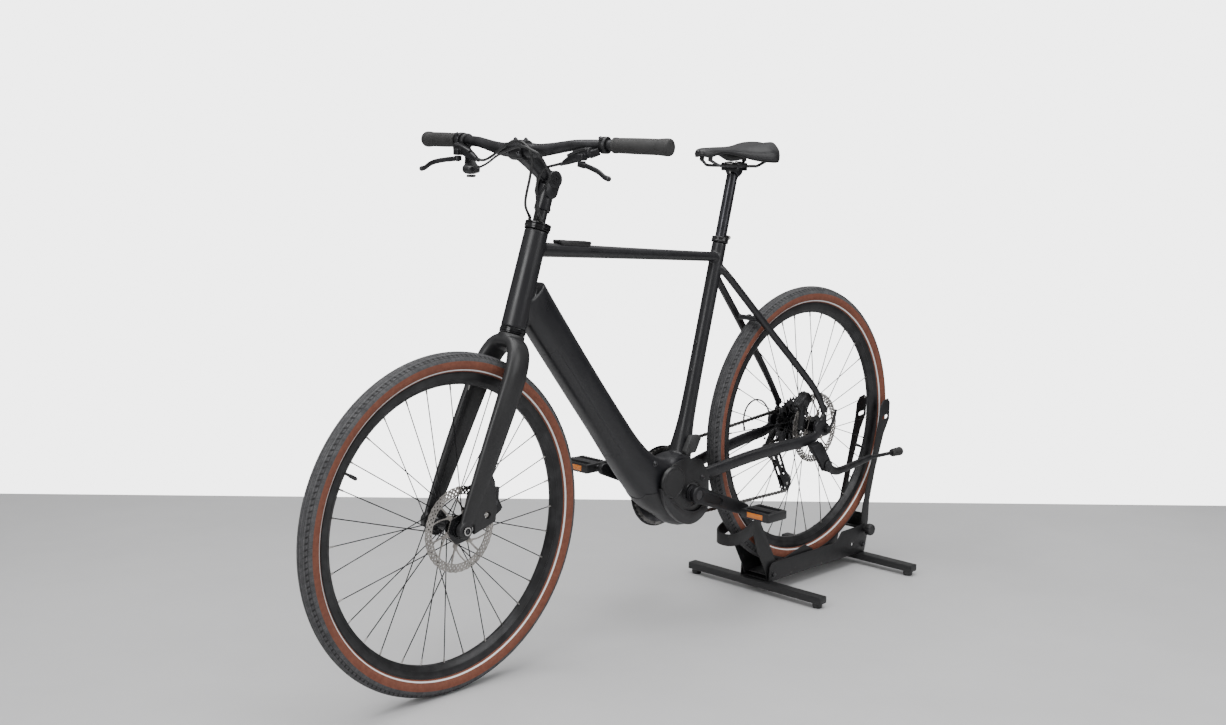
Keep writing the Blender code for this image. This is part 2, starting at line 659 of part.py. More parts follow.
def fork():
    """Both blades, the crown and the steerer, with a caliper mount behind the left blade."""
    down = -FORK_SIDE
    crown = FRONT_AXLE + FORK_SIDE * 0.4060
    half = [(0.4060, 0.0580, 0.0140, 0.0065), (0.3700, 0.0578, 0.0175, 0.0080), (0.3100, 0.0575, 0.0215, 0.0100),
            (0.2200, 0.0560, 0.0250, 0.0115), (0.1200, 0.0535, 0.0275, 0.0135), (0.0650, 0.0495, 0.0280, 0.0150),
            (0.0300, 0.0400, 0.0275, 0.0160), (0.0100, 0.0240, 0.0270, 0.0155)]
    rows = [(s, -y, a, b) for s, y, a, b in half] + [(0.0060, 0, 0.0270, 0.0150)]
    rows += [(s, y, a, b) for s, y, a, b in reversed(half)]
    path = [crown + down * s + ACROSS * y for s, y, _, _ in rows]
    fore = Vector((-FORK_SIDE.z, 0, FORK_SIDE.x))
    blades = sweep(path, [r[2] for r in rows], [r[3] for r in rows], fore, 10, 2.6)
    race = HEAD_BOTTOM - STEER * 0.0125
    join(blades, turned([(0, -0.020), (0.0285, -0.020), (0.0285, -0.0006), (0, -0.0006)], race, STEER, 20))
    join(blades, rod(race - STEER * 0.010, HEAD_TOP + STEER * 0.0180, 0.0143, 16))
    for side in (-1, 1):
        low, high = sorted((side * 0.0506, side * 0.0655))
        tip = [(FRONT_AXLE.x + a, FRONT_AXLE.z + b) for a, b in circle((0, 0), 0.0165, 12)]
        join(blades, plate(tip, low, high))
    mount = [(0.020, 0.346), (0.078, 0.3640), (0.0820, 0.3900), (0.0780, 0.4480), (0.0700, 0.4640), (0.030, 0.430)]
    join(blades, plate(mount, -0.0655, -0.0576))
    cut(blades, plate(circle((0.0560, 0.3820), 0.0085, 12), -0.08, -0.04))
    return cut(blades, rod(FRONT_AXLE - ACROSS * 0.08, FRONT_AXLE + ACROSS * 0.08, AXLE_HOLE_RADIUS, 16))


def headset_cup(place, direction, height):
    return turned([(0.0188, 0.0004), (0.0272, 0.0004), (0.0282, height * 0.35), (0.0282, height * 0.70),
                   (0.0270, height), (0.0188, height)], place, direction, 16)


def stem_base():
    """The stem's post on the steerer, with two ears at the top for the angle pivot."""
    bottom = HEAD_TOP + STEER * 0.0186
    top = HEAD_TOP + STEER * 0.0860
    post = turned([(0, 0), (0.0140, 0), (0.0140, 0.0250), (0.0172, 0.0270), (0.0172, 0.0800), (0, 0.0800)],
                  bottom, STEER, 20)
    for side in (-1, 1):
        low, high = sorted((side * 0.0125, side * 0.0195))
        outline = capsule((STEM_PIVOT.x, STEM_PIVOT.z), 0.0185, (top.x, top.z), 0.0165, 6)
        join(post, plate(outline, low, high))
    gap_block = plate(circle((STEM_PIVOT.x, STEM_PIVOT.z), 0.0215, 16), -0.0129, 0.0129)
    return cut(post, gap_block)


def stem_arm():
    """The swinging arm: a barrel between the post's ears, the arm, and the bar clamp."""
    barrel = plate(circle((STEM_PIVOT.x, STEM_PIVOT.z), 0.0185, 20), -0.0122, 0.0122)
    along = (BAR_CLAMP - STEM_PIVOT).normalized()
    arm = sweep([STEM_PIVOT + along * 0.018, STEM_PIVOT + along * 0.030, BAR_CLAMP - along * 0.010],
                [0.0150, 0.0165, 0.0180], [0.0118, 0.0165, 0.0200], ACROSS.cross(along), 12, 3.0)
    join(barrel, arm)
    join(barrel, rod(BAR_CLAMP - ACROSS * 0.0225, BAR_CLAMP + ACROSS * 0.0225, 0.0215, 20))
    return cut(barrel, rod(BAR_CLAMP - ACROSS * 0.03, BAR_CLAMP + ACROSS * 0.03, 0.0163, 20))


# half of the bar: x, y, z and radius
BAR_HALF = [(0.2044, 0.0000, 1.1161, 0.0158), (0.2044, 0.0320, 1.1161, 0.0158), (0.2060, 0.0560, 1.1165, 0.0140),
            (0.2105, 0.0950, 1.1215, 0.0122), (0.2155, 0.1300, 1.1270, 0.0113), (0.2205, 0.1600, 1.1300, 0.0111),
            (0.2360, 0.2380, 1.1310, 0.0111), (0.2570, 0.3690, 1.1300, 0.0111)]


def bar_point(y):
    """The bar's centre at a distance from the middle, on the side that y's sign gives."""
    reach = abs(y)
    for a, b in zip(BAR_HALF, BAR_HALF[1:]):
        if reach <= b[1]:
            t = (reach - a[1]) / (b[1] - a[1])
            return Vector((a[0] + (b[0] - a[0]) * t, y, a[2] + (b[2] - a[2]) * t))
    return Vector((BAR_HALF[-1][0], y, BAR_HALF[-1][2]))


def handlebar():
    rows = [(x, -y, z, r) for x, y, z, r in reversed(BAR_HALF[1:])] + BAR_HALF
    return sweep([(x, y, z) for x, y, z, _ in rows], [r[3] for r in rows], [r[3] for r in rows], UP, 12)


GRIP_START = 0.2400


def grip(side):
    """A rubber grip with a closed, slightly flared end, bored for the bar."""
    start, end = bar_point(side * GRIP_START), bar_point(side * BAR_HALF[-1][1])
    along = (end - start).normalized()
    bore = (end - start).length + GAP
    profile = [(0.0119, 0), (0.0155, 0), (0.0160, 0.002), (0.0160, 0.006), (0.0152, 0.009),
               (0.0160, bore - 0.030), (0.0175, bore - 0.010), (0.0173, bore - 0.001),
               (0.0150, bore + 0.0022), (0, bore + 0.0030), (0, bore), (0.0119, bore)]
    return turned(profile, start, along, 14)


def side_point(x, y, z, side):
    return Vector((x, y * side, z))


def brake_body(side):
    """The lever's clamp and master cylinder, for the left side (-1) or the right (+1)."""
    middle = bar_point(side * 0.2190)
    along = (bar_point(side * 0.2330) - bar_point(side * 0.2100)).normalized()
    body = turned([(0.0114, -0.007), (0.0172, -0.007), (0.0172, 0.007), (0.0114, 0.007)], middle, along, 16)
    neck = [side_point(0.2168, 0.2180, 1.1188, side), side_point(0.2040, 0.2030, 1.1110, side)]
    cylinder = [side_point(0.2040, 0.2080, 1.1175, side), side_point(0.2045, 0.1900, 1.1140, side),
                side_point(0.2020, 0.1600, 1.1040, side), side_point(0.2000, 0.1330, 1.0935, side)]
    join(body, sweep(cylinder, [0.0100, 0.0115, 0.0100, 0.0055], [0.0090, 0.0095, 0.0090, 0.0060], UP, 10, 2.6))
    join(body, beam(neck[0], neck[1], 0.0075, 0.0050, UP))
    pivot = side_point(LEVER_PIVOT.x, LEVER_PIVOT.y, LEVER_PIVOT.z, side)
    return join(body, beam(pivot + UP * 0.0062, pivot + UP * 0.0200, 0.0085, 0.0085, (1, 0, 0)))


def brake_lever(side):
    """A two-finger blade with a hooked tip, on a boss at its pivot."""
    pivot = side_point(LEVER_PIVOT.x, LEVER_PIVOT.y, LEVER_PIVOT.z, side)
    boss = rod(pivot - UP * 0.0055, pivot + UP * 0.0055, 0.0080, 12)
    points = [(0.1930, 0.1930, 1.0930), (0.1840, 0.2150, 1.0905), (0.1775, 0.2400, 1.0865),
              (0.1750, 0.2600, 1.0800), (0.1745, 0.2740, 1.0725), (0.1735, 0.2850, 1.0690)]
    path = [side_point(x, y, z, side) for x, y, z in points]
    blade = sweep(path, 0.0055, 0.0035, UP, 8)
    return join(boss, blade)


def shifter():
    """The gear shifter's housing below the bar on the right, with its own clamp."""
    middle = bar_point(0.1990)
    along = (bar_point(0.21) - bar_point(0.19)).normalized()
    body = turned([(0.0114, -0.005), (0.0160, -0.005), (0.0160, 0.005), (0.0114, 0.005)], middle, along, 16)
    housing = sweep([(0.2290, 0.1985, 1.1165), (0.2270, 0.1900, 1.0960), (0.2130, 0.1680, 1.0760),
                     (0.1980, 0.1500, 1.0720), (0.1930, 0.1330, 1.0730)],
                    [0.0060, 0.0080, 0.0095, 0.0100, 0.0060], [0.0060, 0.0080, 0.0130, 0.0165, 0.0110], UP, 10, 2.6)
    return join(body, housing)


def shift_lever():
    """The thumb lever below the shifter."""
    boss = rod(SHIFT_PIVOT - UP * 0.0030, SHIFT_PIVOT + UP * 0.0022, 0.0080, 12)
    blade = sweep([(0.1980, 0.1520, 1.0570), (0.2130, 0.1620, 1.0555), (0.2270, 0.1790, 1.0565)],
                  [0.0022, 0.0020, 0.0022], [0.0065, 0.0060, 0.0080], UP, 8)
    return join(boss, blade)


# routes of the hoses and the shift cable, from the controls to the headset's top
LEFT_HOSE = [(0.1995, -0.1312, 1.0930), (0.2045, -0.1030, 1.0885), (0.2090, -0.0765, 1.0830),
             (0.2085, -0.0560, 1.0680), (0.2130, -0.0400, 1.0430), (0.2210, -0.0340, 1.0050),
             (0.2420, -0.0220, 0.9706)]
RIGHT_HOSE = [(0.1995, 0.1312, 1.0930), (0.1960, 0.1050, 1.0926), (0.1900, 0.0733, 1.1019),
              (0.1780, 0.0120, 1.1275), (0.1740, -0.0170, 1.1341), (0.1720, -0.0416, 1.1327),
              (0.1740, -0.0593, 1.1201), (0.1780, -0.0639, 1.0981), (0.1860, -0.0492, 1.0632),
              (0.2000, -0.0196, 1.0085), (0.2320, 0.0011, 0.9752)]
SHIFT_CABLE = [(0.1930, 0.1310, 1.0730), (0.1880, 0.0896, 1.0849), (0.1720, 0.0270, 1.1076),
               (0.1640, -0.0433, 1.1248), (0.1680, -0.0748, 1.1186), (0.1800, -0.0885, 1.1048),
               (0.2160, -0.0751, 1.0675), (0.2260, -0.0540, 1.0461), (0.2310, -0.0200, 1.0100),
               (0.2400, -0.0110, 0.9715)]
REAR_SHIFT_CABLE = [(1.0400, 0.0770, 0.3960), (1.0450, 0.0840, 0.4250), (1.0650, 0.0900, 0.4520),
                    (1.1000, 0.0950, 0.4640), (1.1350, 0.0970, 0.4560), (1.1580, 0.0970, 0.4330),
                    (1.1660, 0.0960, 0.4050)]


def cable(route, radius, steps=3, sides=6):
    return sweep(smooth_path(route, steps), radius, radius, (0.3, 0.2, 0.93), sides)


def build_steering(assembly):
    assembly.add("fork", fork(), "steering", "frame_paint", 40)
    assembly.add("headset_lower", headset_cup(HEAD_BOTTOM, -STEER, 0.0120), "bike", "gloss_black")
    assembly.add("headset_upper", headset_cup(HEAD_TOP, STEER, 0.0160), "bike", "gloss_black")
    assembly.add("stem_base", stem_base(), "steering", "frame_paint")
    assembly.add("stem_arm", stem_arm(), "handlebar", "black_alloy")
    assembly.add("handlebar", handlebar(), "handlebar", "black_alloy")
    axle = turned([(0, -0.0690), (0.0085, -0.0690), (0.0085, -0.0659), (0.0060, -0.0659),
                   (0.0060, 0.0659), (0.0080, 0.0659), (0.0080, 0.0685), (0, 0.0685)], FRONT_AXLE, ACROSS, 16)
    assembly.add("front_axle", axle, "steering", "dark_steel")
    assembly.add("front_caliper", caliper(FRONT_AXLE, 28, (0.0900, -0.0520, 0.4330)), "steering", "black_alloy")
    assembly.add("rear_caliper", caliper(REAR_AXLE, 128, (1.0950, -0.0580, 0.4120)), "bike", "black_alloy")
    for side, word in ((-1, "left"), (1, "right")):
        assembly.add(word + "_grip", grip(side), "handlebar", "black_rubber")
        assembly.add(word + "_brake_body", brake_body(side), "handlebar", "black_alloy")
        assembly.add(word + "_brake_lever", brake_lever(side), word + "_lever", "black_alloy")
    assembly.add("shifter", shifter(), "handlebar", "black_plastic")
    assembly.add("shift_thumb_lever", shift_lever(), "shift_lever", "black_plastic")
    assembly.add("left_brake_hose", cable(LEFT_HOSE, 0.0025), "steering", "black_rubber")
    assembly.add("right_brake_hose", cable(RIGHT_HOSE, 0.0025), "steering", "black_rubber")
    assembly.add("shift_cable", cable(SHIFT_CABLE, 0.0020), "steering", "black_rubber")
    assembly.add("rear_shift_cable", cable(REAR_SHIFT_CABLE, 0.0022), "bike", "black_rubber")


# ---- wheels ----

def tyre(centre):
    """The tyre's round section down to the rim."""
    section_centre = WHEEL_RADIUS - TYRE_SECTION
    profile = []
    for i in range(7):
        turn = math.radians(-52 + 284 * i / 6)
        profile.append((section_centre + TYRE_SECTION * math.sin(turn), TYRE_SECTION * math.cos(turn)))
    profile += [(RIM_FLANGE_RADIUS - 0.0028, -0.0100), (RIM_FLANGE_RADIUS - 0.0028, 0.0100)]
    return turned(profile, centre, ACROSS, WHEEL_SIDES)


def rim(centre):
    """A deep double-wall rim, solid here."""
    profile = [(RIM_INNER_RADIUS, -0.0055), (RIM_INNER_RADIUS, 0.0055), (0.3000, 0.0110),
               (RIM_FLANGE_RADIUS, 0.0130), (0.3133, 0.0104),
               (0.3133, -0.0104), (RIM_FLANGE_RADIUS, -0.0130), (0.3000, -0.0110)]
    return turned(profile, centre, ACROSS, WHEEL_SIDES)


def spokes(centre, left_flange, right_flange, first_deg):
    """All the spokes of a wheel, crossed three times, each a thin bar."""
    bars = []
    flange_radius, half = 0.0225, 0.0008
    rim_radius = RIM_INNER_RADIUS * math.cos(math.pi / WHEEL_SIDES) - GAP - half
    step = 360 / SPOKES_PER_WHEEL
    for i in range(SPOKES_PER_WHEEL):
        on_left, leading = i % 2 == 0, (i // 2) % 2 == 0
        at_rim = math.radians(first_deg + step * i)
        at_hub = at_rim + math.radians(-67.5 if leading else 67.5)
        flange = left_flange if on_left else right_flange
        hub_y = flange + (0.0020 if leading else -0.0020)
        start = centre + Vector((math.cos(at_hub) * flange_radius, hub_y, math.sin(at_hub) * flange_radius))
        end = centre + Vector((math.cos(at_rim) * rim_radius, 0.0025 * (-1 if on_left else 1),
                               math.sin(at_rim) * rim_radius))
        bars.append(rod(start, end, half, 3))
    return merge(bars)


def hub(centre, profile, left_flange, right_flange, first_deg):
    shell = turned(profile, centre, ACROSS, 14)
    return join(shell, spokes(centre, left_flange, right_flange, first_deg))


FRONT_HUB = [(0.0066, -0.0498), (0.0110, -0.0498), (0.0150, -0.0452), (0.0160, -0.0400),
             (0.0265, -0.0345), (0.0265, -0.0255), (0.0150, -0.0225),
             (0.0150, 0.0235), (0.0265, 0.0265), (0.0265, 0.0355), (0.0160, 0.0390), (0.0110, 0.0498),
             (0.0066, 0.0498)]
REAR_HUB = [(0.0066, -0.0670), (0.0120, -0.0670), (0.0150, -0.0452), (0.0160, -0.0400),
            (0.0275, -0.0350), (0.0275, -0.0260), (0.0190, -0.0225),
            (0.0200, 0.0120), (0.0275, 0.0145), (0.0275, 0.0235), (0.0120, 0.0262),
            (0.0120, 0.0670), (0.0066, 0.0670)]


def rotor(centre):
    """A brake disc: the braking ring, six swept arms and the carrier on the hub."""
    low, high = ROTOR_Y - 0.0009, ROTOR_Y + 0.0009
    disc = turned([(0.0735, low), (ROTOR_RADIUS, low), (ROTOR_RADIUS, high), (0.0735, high)],
                  centre, ACROSS, WHEEL_SIDES)
    inner = turned([(0.0164, low), (0.0270, low), (0.0270, high), (0.0164, high)], centre, ACROSS, 24)
    arms = []
    for i in range(6):
        turn = 2 * math.pi * i / 6
        points = []
        for radius, lean in ((0.0255, 0.0), (0.0500, 0.28), (0.0750, 0.42)):
            angle = turn + lean
            points.append((centre.x + radius * math.cos(angle), centre.z + radius * math.sin(angle), angle))
        wide = [0.0055, 0.0035, 0.0050]
        left = [(x - w * math.sin(a), z + w * math.cos(a)) for (x, z, a), w in zip(points, wide)]
        right = [(x + w * math.sin(a), z - w * math.cos(a)) for (x, z, a), w in zip(points, wide)]
        arms.append(plate(left + right[::-1], low + 0.0001, high - 0.0001))
    return join(disc, inner, *arms)


def build_wheels(assembly):
    for word, centre, profile, left_flange, right_flange, first_deg in (
            ("front", FRONT_AXLE, FRONT_HUB, -0.0300, 0.0310, -2.1),
            ("rear", REAR_AXLE, REAR_HUB, -0.0305, 0.0190, -3.7)):
        body = word + "_wheel"
        assembly.add(word + "_tyre", tyre(centre), body, "tyre_rubber")
        assembly.add(word + "_rim", rim(centre), body, "black_alloy")
        assembly.add(word + "_hub", hub(centre, profile, left_flange, right_flange, first_deg), body, "black_alloy")
        assembly.add(word + "_rotor", rotor(centre), body, "steel")


# ---- drivetrain ----

def pitch_radius(teeth):
    return CHAIN_PITCH / (2 * math.sin(math.pi / teeth))


def chainring():
    """The toothed ring, its five-armed spider and the chain guard outside it."""
    pitch = pitch_radius(CHAINRING_TEETH)
    centre = (CRANK_AXIS.x, CRANK_AXIS.z)
    teeth = []
    for i in range(CHAINRING_TEETH):
        turn = 2 * math.pi * (i + 0.25) / CHAINRING_TEETH
        step = 2 * math.pi / CHAINRING_TEETH
        for radius, lean in ((pitch - 0.0038, 0.0), (pitch + 0.0024, 0.5)):
            angle = turn + lean * step
            teeth.append((centre[0] + radius * math.cos(angle), centre[1] + radius * math.sin(angle)))
    ring = plate(teeth, CHAIN_Y - 0.0009, CHAIN_Y + 0.0009)
    cut(ring, plate(circle(centre, 0.0700, 24), CHAIN_Y - 0.01, CHAIN_Y + 0.01))
    guard = turned([(0.0660, 0.0500), (0.0972, 0.0500), (0.0972, 0.0520), (0.0660, 0.0520)],
                   (CRANK_AXIS.x, 0, CRANK_AXIS.z), ACROSS, WHEEL_SIDES)
    spider = turned([(0.0112, 0.0450), (0.0290, 0.0450), (0.0290, 0.0515), (0.0112, 0.0515)],
                    (CRANK_AXIS.x, 0, CRANK_AXIS.z), ACROSS, 20)
    for i in range(5):
        turn = 2 * math.pi * i / 5 + 0.3
        out = Vector((math.cos(turn), 0, math.sin(turn)))
        start = CRANK_AXIS + out * 0.025 + ACROSS * 0.0481
        join(spider, beam(start, CRANK_AXIS + out * 0.0760 + ACROSS * 0.0481, 0.0030, 0.0070, ACROSS))
    join(ring, spider, guard)
    return cut(ring, rod(CRANK_AXIS, CRANK_AXIS + ACROSS * 0.1, 0.0114, 16))


def crank(side):
    """A crank arm that steps outwards to its pedal, with an axle hole for the spindle."""
    axle = pedal_axle(side)
    outline = capsule((CRANK_AXIS.x, CRANK_AXIS.z), 0.0200, (axle.x, axle.z), 0.0140, 8)
    reach = Vector((axle.x - CRANK_AXIS.x, axle.z - CRANK_AXIS.z))
    inner, outer = [], []
    for x, z in outline:
        travel = Vector((x - CRANK_AXIS.x, z - CRANK_AXIS.z)).dot(reach) / reach.length_squared
        step = 0.0090 * min(max(travel, 0), 1)
        inner.append(Vector((x, side * (0.0642 + step), z)))
        outer.append(Vector((x, side * (0.0790 + step), z)))
    return skin_rings([inner, outer])


def right_crank():
    """The right crank carries the spindle that runs through the motor."""
    arm = crank(1)
    join(arm, rod(CRANK_AXIS + ACROSS * 0.0700, CRANK_AXIS - ACROSS * 0.0638, 0.0110, 16))
    return join(arm, rod(CRANK_AXIS + ACROSS * 0.0520, CRANK_AXIS + ACROSS * 0.0650, 0.0190, 20))


def pedal(side):
    """A caged pedal: barrel, cage and its axle up to the crank."""
    axle = pedal_axle(side)
    inner, outer = side * 0.0110, side * 0.0980
    low, high = sorted((axle.y + inner, axle.y + outer))
    half_length, half_height = 0.0345, 0.0115
    cage = box((axle.x - half_length, low, axle.z - half_height), (axle.x + half_length, high, axle.z + half_height))
    for x_low, x_high in ((-0.0270, -0.0105), (0.0105, 0.0270)):
        window = box((axle.x + x_low, low + 0.009, axle.z - 0.03), (axle.x + x_high, high - 0.009, axle.z + 0.03))
        cut(cage, window)
    stub = rod(axle + ACROSS * side * 0.0001, axle + ACROSS * side * 0.0200, 0.0065, 12)
    return join(cage, stub)


def cassette():
    """Nine cogs in steps, with the cog that the chain is on standing free of its neighbours."""
    first_y = CHAIN_Y - ENGAGED_COG * COG_SPACING
    half = 0.0009
    groove = pitch_radius(COG_TEETH[ENGAGED_COG + 1]) - 0.0020
    profile = [(0.0124, first_y - half)]
    for i, teeth in enumerate(COG_TEETH):
        y = first_y + COG_SPACING * i
        radius = pitch_radius(teeth) + 0.0020
        profile += [(radius, y - half), (radius, y + half)]
        if i in (ENGAGED_COG - 1, ENGAGED_COG):
            profile += [(groove, y + half), (groove, y + COG_SPACING - half)]
    last_y = first_y + COG_SPACING * (len(COG_TEETH) - 1)
    profile += [(0.0150, last_y + half), (0.0150, last_y + half + 0.0015), (0.0124, last_y + half + 0.0015)]
    return turned(profile, (REAR_AXLE.x, 0, REAR_AXLE.z), ACROSS, 20)


def chain_circles():
    """The wheels that the chain runs round, in order, with the way it turns on each."""
    crank_centre = (CRANK_AXIS.x, CRANK_AXIS.z)
    cog_centre = (REAR_AXLE.x, REAR_AXLE.z)
    return [(crank_centre, pitch_radius(CHAINRING_TEETH), 1),
            ((TENSION_PULLEY.x, TENSION_PULLEY.z), pitch_radius(PULLEY_TEETH), 1),
            ((GUIDE_PULLEY.x, GUIDE_PULLEY.z), pitch_radius(PULLEY_TEETH), -1),
            (cog_centre, pitch_radius(COG_TEETH[ENGAGED_COG]), 1)]


def chain_line():
    """The chain's pitch line as a closed list of points, with the outward side at each."""
    circles = chain_circles()
    headings = []
    for i, (centre, radius, way) in enumerate(circles):
        next_centre, next_radius, next_way = circles[(i + 1) % len(circles)]
        dx, dz = next_centre[0] - centre[0], next_centre[1] - centre[1]
        lean = math.asin((way * radius - next_way * next_radius) / math.hypot(dx, dz))
        headings.append(math.atan2(dz, dx) + lean)
    points = []
    for i, (centre, radius, way) in enumerate(circles):
        start, end = headings[i - 1], headings[i]
        sweep_angle = (end - start) * way % (2 * math.pi)
        count = max(2, round(sweep_angle * radius / min(0.016, 0.4 * radius)))
        for k in range(count + 1):
            heading = start + way * sweep_angle * k / count
            normal = (math.sin(heading), -math.cos(heading))
            points.append((centre[0] + way * radius * normal[0], centre[1] + way * radius * normal[1], normal))
    return points


def chain():
    """The chain as one channel: two runs of side plates joined outside the sprocket teeth."""
    section = [(-0.0042, -0.0028), (0.0045, -0.0028), (0.0045, 0.0028), (-0.0042, 0.0028),
               (-0.0042, 0.0014), (0.0033, 0.0014), (0.0033, -0.0014), (-0.0042, -0.0014)]
    rings = []
    for x, z, normal in chain_line():
        rings.append([Vector((x + normal[0] * out, CHAIN_Y + across, z + normal[1] * out))
                      for out, across in section])
    return skin_rings(rings, closed=True)


def pulley(centre, radius):
    profile = [(0.0032, -0.0034), (0.0070, -0.0034), (0.0070, -0.0011), (radius, -0.0011),
               (radius, 0.0011), (0.0070, 0.0011), (0.0070, 0.0034), (0.0032, 0.0034)]
    return turned(profile, centre, ACROSS, 14)


def derailleur_cage():
    """Two cage plates with the pulley bolts between them, and the outer knuckle."""
    inner_y, outer_y = CHAIN_Y - 0.0080, CHAIN_Y + 0.0062
    guide, tension = (GUIDE_PULLEY.x, GUIDE_PULLEY.z), (TENSION_PULLEY.x, TENSION_PULLEY.z)
    cage = plate(capsule(guide, 0.0130, tension, 0.0120, 6), inner_y, inner_y + 0.0018)
    join(cage, plate(capsule(guide, 0.0130, tension, 0.0120, 6), outer_y, outer_y + 0.0018))
    for x, z in (guide, tension):
        join(cage, rod((x, inner_y + 0.0005, z), (x, outer_y + 0.0012, z), 0.0028, 10))
    return cage


def derailleur():
    """The body on its hanger: mounting bolt, parallelogram link and outer knuckle."""
    low_y = CHAIN_Y + 0.0062 + 0.0018 + GAP
    knuckle = rod((GUIDE_PULLEY.x, low_y, GUIDE_PULLEY.z), (GUIDE_PULLEY.x, low_y + 0.0240, GUIDE_PULLEY.z), 0.0125, 16)
    link = beam((GUIDE_PULLEY.x, low_y + 0.0140, GUIDE_PULLEY.z + 0.004), (1.176, 0.0890, 0.372), 0.0110, 0.0070, UP)
    mount = rod((HANGER_BOLT.x, 0.0815, HANGER_BOLT.z), (HANGER_BOLT.x, 0.1000, HANGER_BOLT.z), 0.0120, 16)
    hanger = plate(capsule((HANGER_BOLT.x, HANGER_BOLT.z), 0.0110, (REAR_AXLE.x, REAR_AXLE.z + 0.002), 0.0130, 5),
                   0.0797, 0.0830)
    join(knuckle, link, mount, hanger)
    return cut(knuckle, rod(REAR_AXLE + ACROSS * 0.070, REAR_AXLE + ACROSS * 0.0815, AXLE_HOLE_RADIUS, 16))


def build_drivetrain(assembly):
    assembly.add("chainring", chainring(), "cranks", "dark_steel")
    assembly.add("right_crank", right_crank(), "cranks", "black_alloy")
    assembly.add("left_crank", crank(-1), "cranks", "black_alloy")
    assembly.add("left_pedal", pedal(-1), "left_pedal", "black_plastic")
    assembly.add("right_pedal", pedal(1), "right_pedal", "black_plastic")
    assembly.add("cassette", cassette(), "cassette", "dark_steel")
    assembly.add("chain", chain(), "bike", "dark_steel")
    assembly.add("derailleur", derailleur(), "bike", "black_alloy")
    assembly.add("derailleur_cage", derailleur_cage(), "bike", "black_alloy")
    assembly.add("guide_pulley", pulley(GUIDE_PULLEY, 0.0172), "guide_pulley", "black_plastic")
    assembly.add("tension_pulley", pulley(TENSION_PULLEY, 0.0235), "tension_pulley", "black_plastic")


# ---- saddle and seatpost ----

def seatpost():
    """The post from inside the seat tube up to the round head under the saddle."""
    bottom = seat_point(SEAT_COLLAR_Z) - SEAT_DIRECTION * 0.200
    top = seat_point(1.0400)
    post = sweep([bottom, top, SADDLE_CLAMP - UP * 0.008], [0.0136, 0.0136, 0.0125], [0.0136, 0.0136, 0.0150],
                 (1, 0, 0), 16)
    return join(post, rod(SADDLE_CLAMP - ACROSS * 0.0170, SADDLE_CLAMP + ACROSS * 0.0170, 0.0130, 20))


def saddle_rails():
    """The two steel rails and the clamp block that holds them on the post's head."""
    clamp = box((SADDLE_CLAMP.x - 0.0190, -0.0260, SADDLE_CLAMP.z - 0.0015),
                (SADDLE_CLAMP.x + 0.0190, 0.0260, SADDLE_CLAMP.z + 0.0180))
    cut(clamp, rod(SADDLE_CLAMP - ACROSS * 0.04, SADDLE_CLAMP + ACROSS * 0.04, 0.0134, 20))
    for side in (-1, 1):
        route = [(0.7800, 0.0120, 1.0870), (0.7930, 0.0150, 1.0810), (0.8080, 0.0190, 1.0735), (0.8300, 0.0205, 1.0715),
                 (0.9300, 0.0220, 1.0690), (0.9420, 0.0240, 1.0695), (0.9620, 0.0330, 1.0800)]
        path = [(x, y * side, h) for x, y, h in route]
        join(clamp, sweep(path, 0.0036, 0.0036, UP, 6))
    return clamp


# stations along the saddle: x, half width, top and bottom of the body
SADDLE_STATIONS = [(0.7560, 0.0080, 1.1070, 1.0990), (0.7620, 0.0160, 1.1120, 1.0960), (0.7780, 0.0215, 1.1145, 1.0935),
                   (0.8150, 0.0245, 1.1155, 1.0930), (0.8550, 0.0310, 1.1160, 1.0910), (0.8900, 0.0430, 1.1175, 1.0895),
                   (0.9250, 0.0600, 1.1210, 1.0885), (0.9500, 0.0700, 1.1245, 1.0880), (0.9700, 0.0690, 1.1265, 1.0885),
                   (0.9880, 0.0560, 1.1265, 1.0915), (1.0000, 0.0360, 1.1245, 1.0980), (1.0050, 0.0200, 1.1215, 1.1040)]


def saddle():
    """The padded saddle on its shell, a closed body of rounded cross sections."""
    rings = []
    for x, half_width, top, bottom in SADDLE_STATIONS:
        middle, half_height = (top + bottom) / 2, (top - bottom) / 2
        ring = []
        for i in range(14):
            turn = 2 * math.pi * (i + 0.5) / 14
            c, s = math.cos(turn), math.sin(turn)
            y = math.copysign(abs(c) ** 0.75, c) * half_width
            droop = 0.0105 * (abs(y) / half_width) ** 2 * (half_width / 0.07)
            z = middle + math.copysign(abs(s) ** 0.75, s) * half_height - droop
            ring.append(Vector((x, y, z)))
        rings.append(ring)
    return skin_rings(rings)


def build_seat(assembly):
    assembly.add("seatpost", seatpost(), "seatpost", "black_alloy")
    assembly.add("saddle_rails", saddle_rails(), "saddle", "dark_steel")
    assembly.add("saddle", saddle(), "saddle", "saddle_vinyl")


# ---- kickstand ----

def kickstand_bracket():
    """The casting bolted to the left dropout, with the leg's pivot at its foot."""
    outline = [(1.0950, 0.3720), (1.1370, 0.3790), (1.1790, 0.3230), (1.1700, 0.3000), (1.1515, 0.2988)]
    bracket = plate(outline, -0.0980, -0.0850)
    join(bracket, plate([(1.098, 0.372), (1.137, 0.380), (1.149, 0.362), (1.112, 0.350)], -0.0860, -0.0806))
    hollow = plate(circle((KICKSTAND_PIVOT.x, KICKSTAND_PIVOT.z), 0.0185, 16), -0.0985, -0.0895)
    return cut(bracket, hollow)


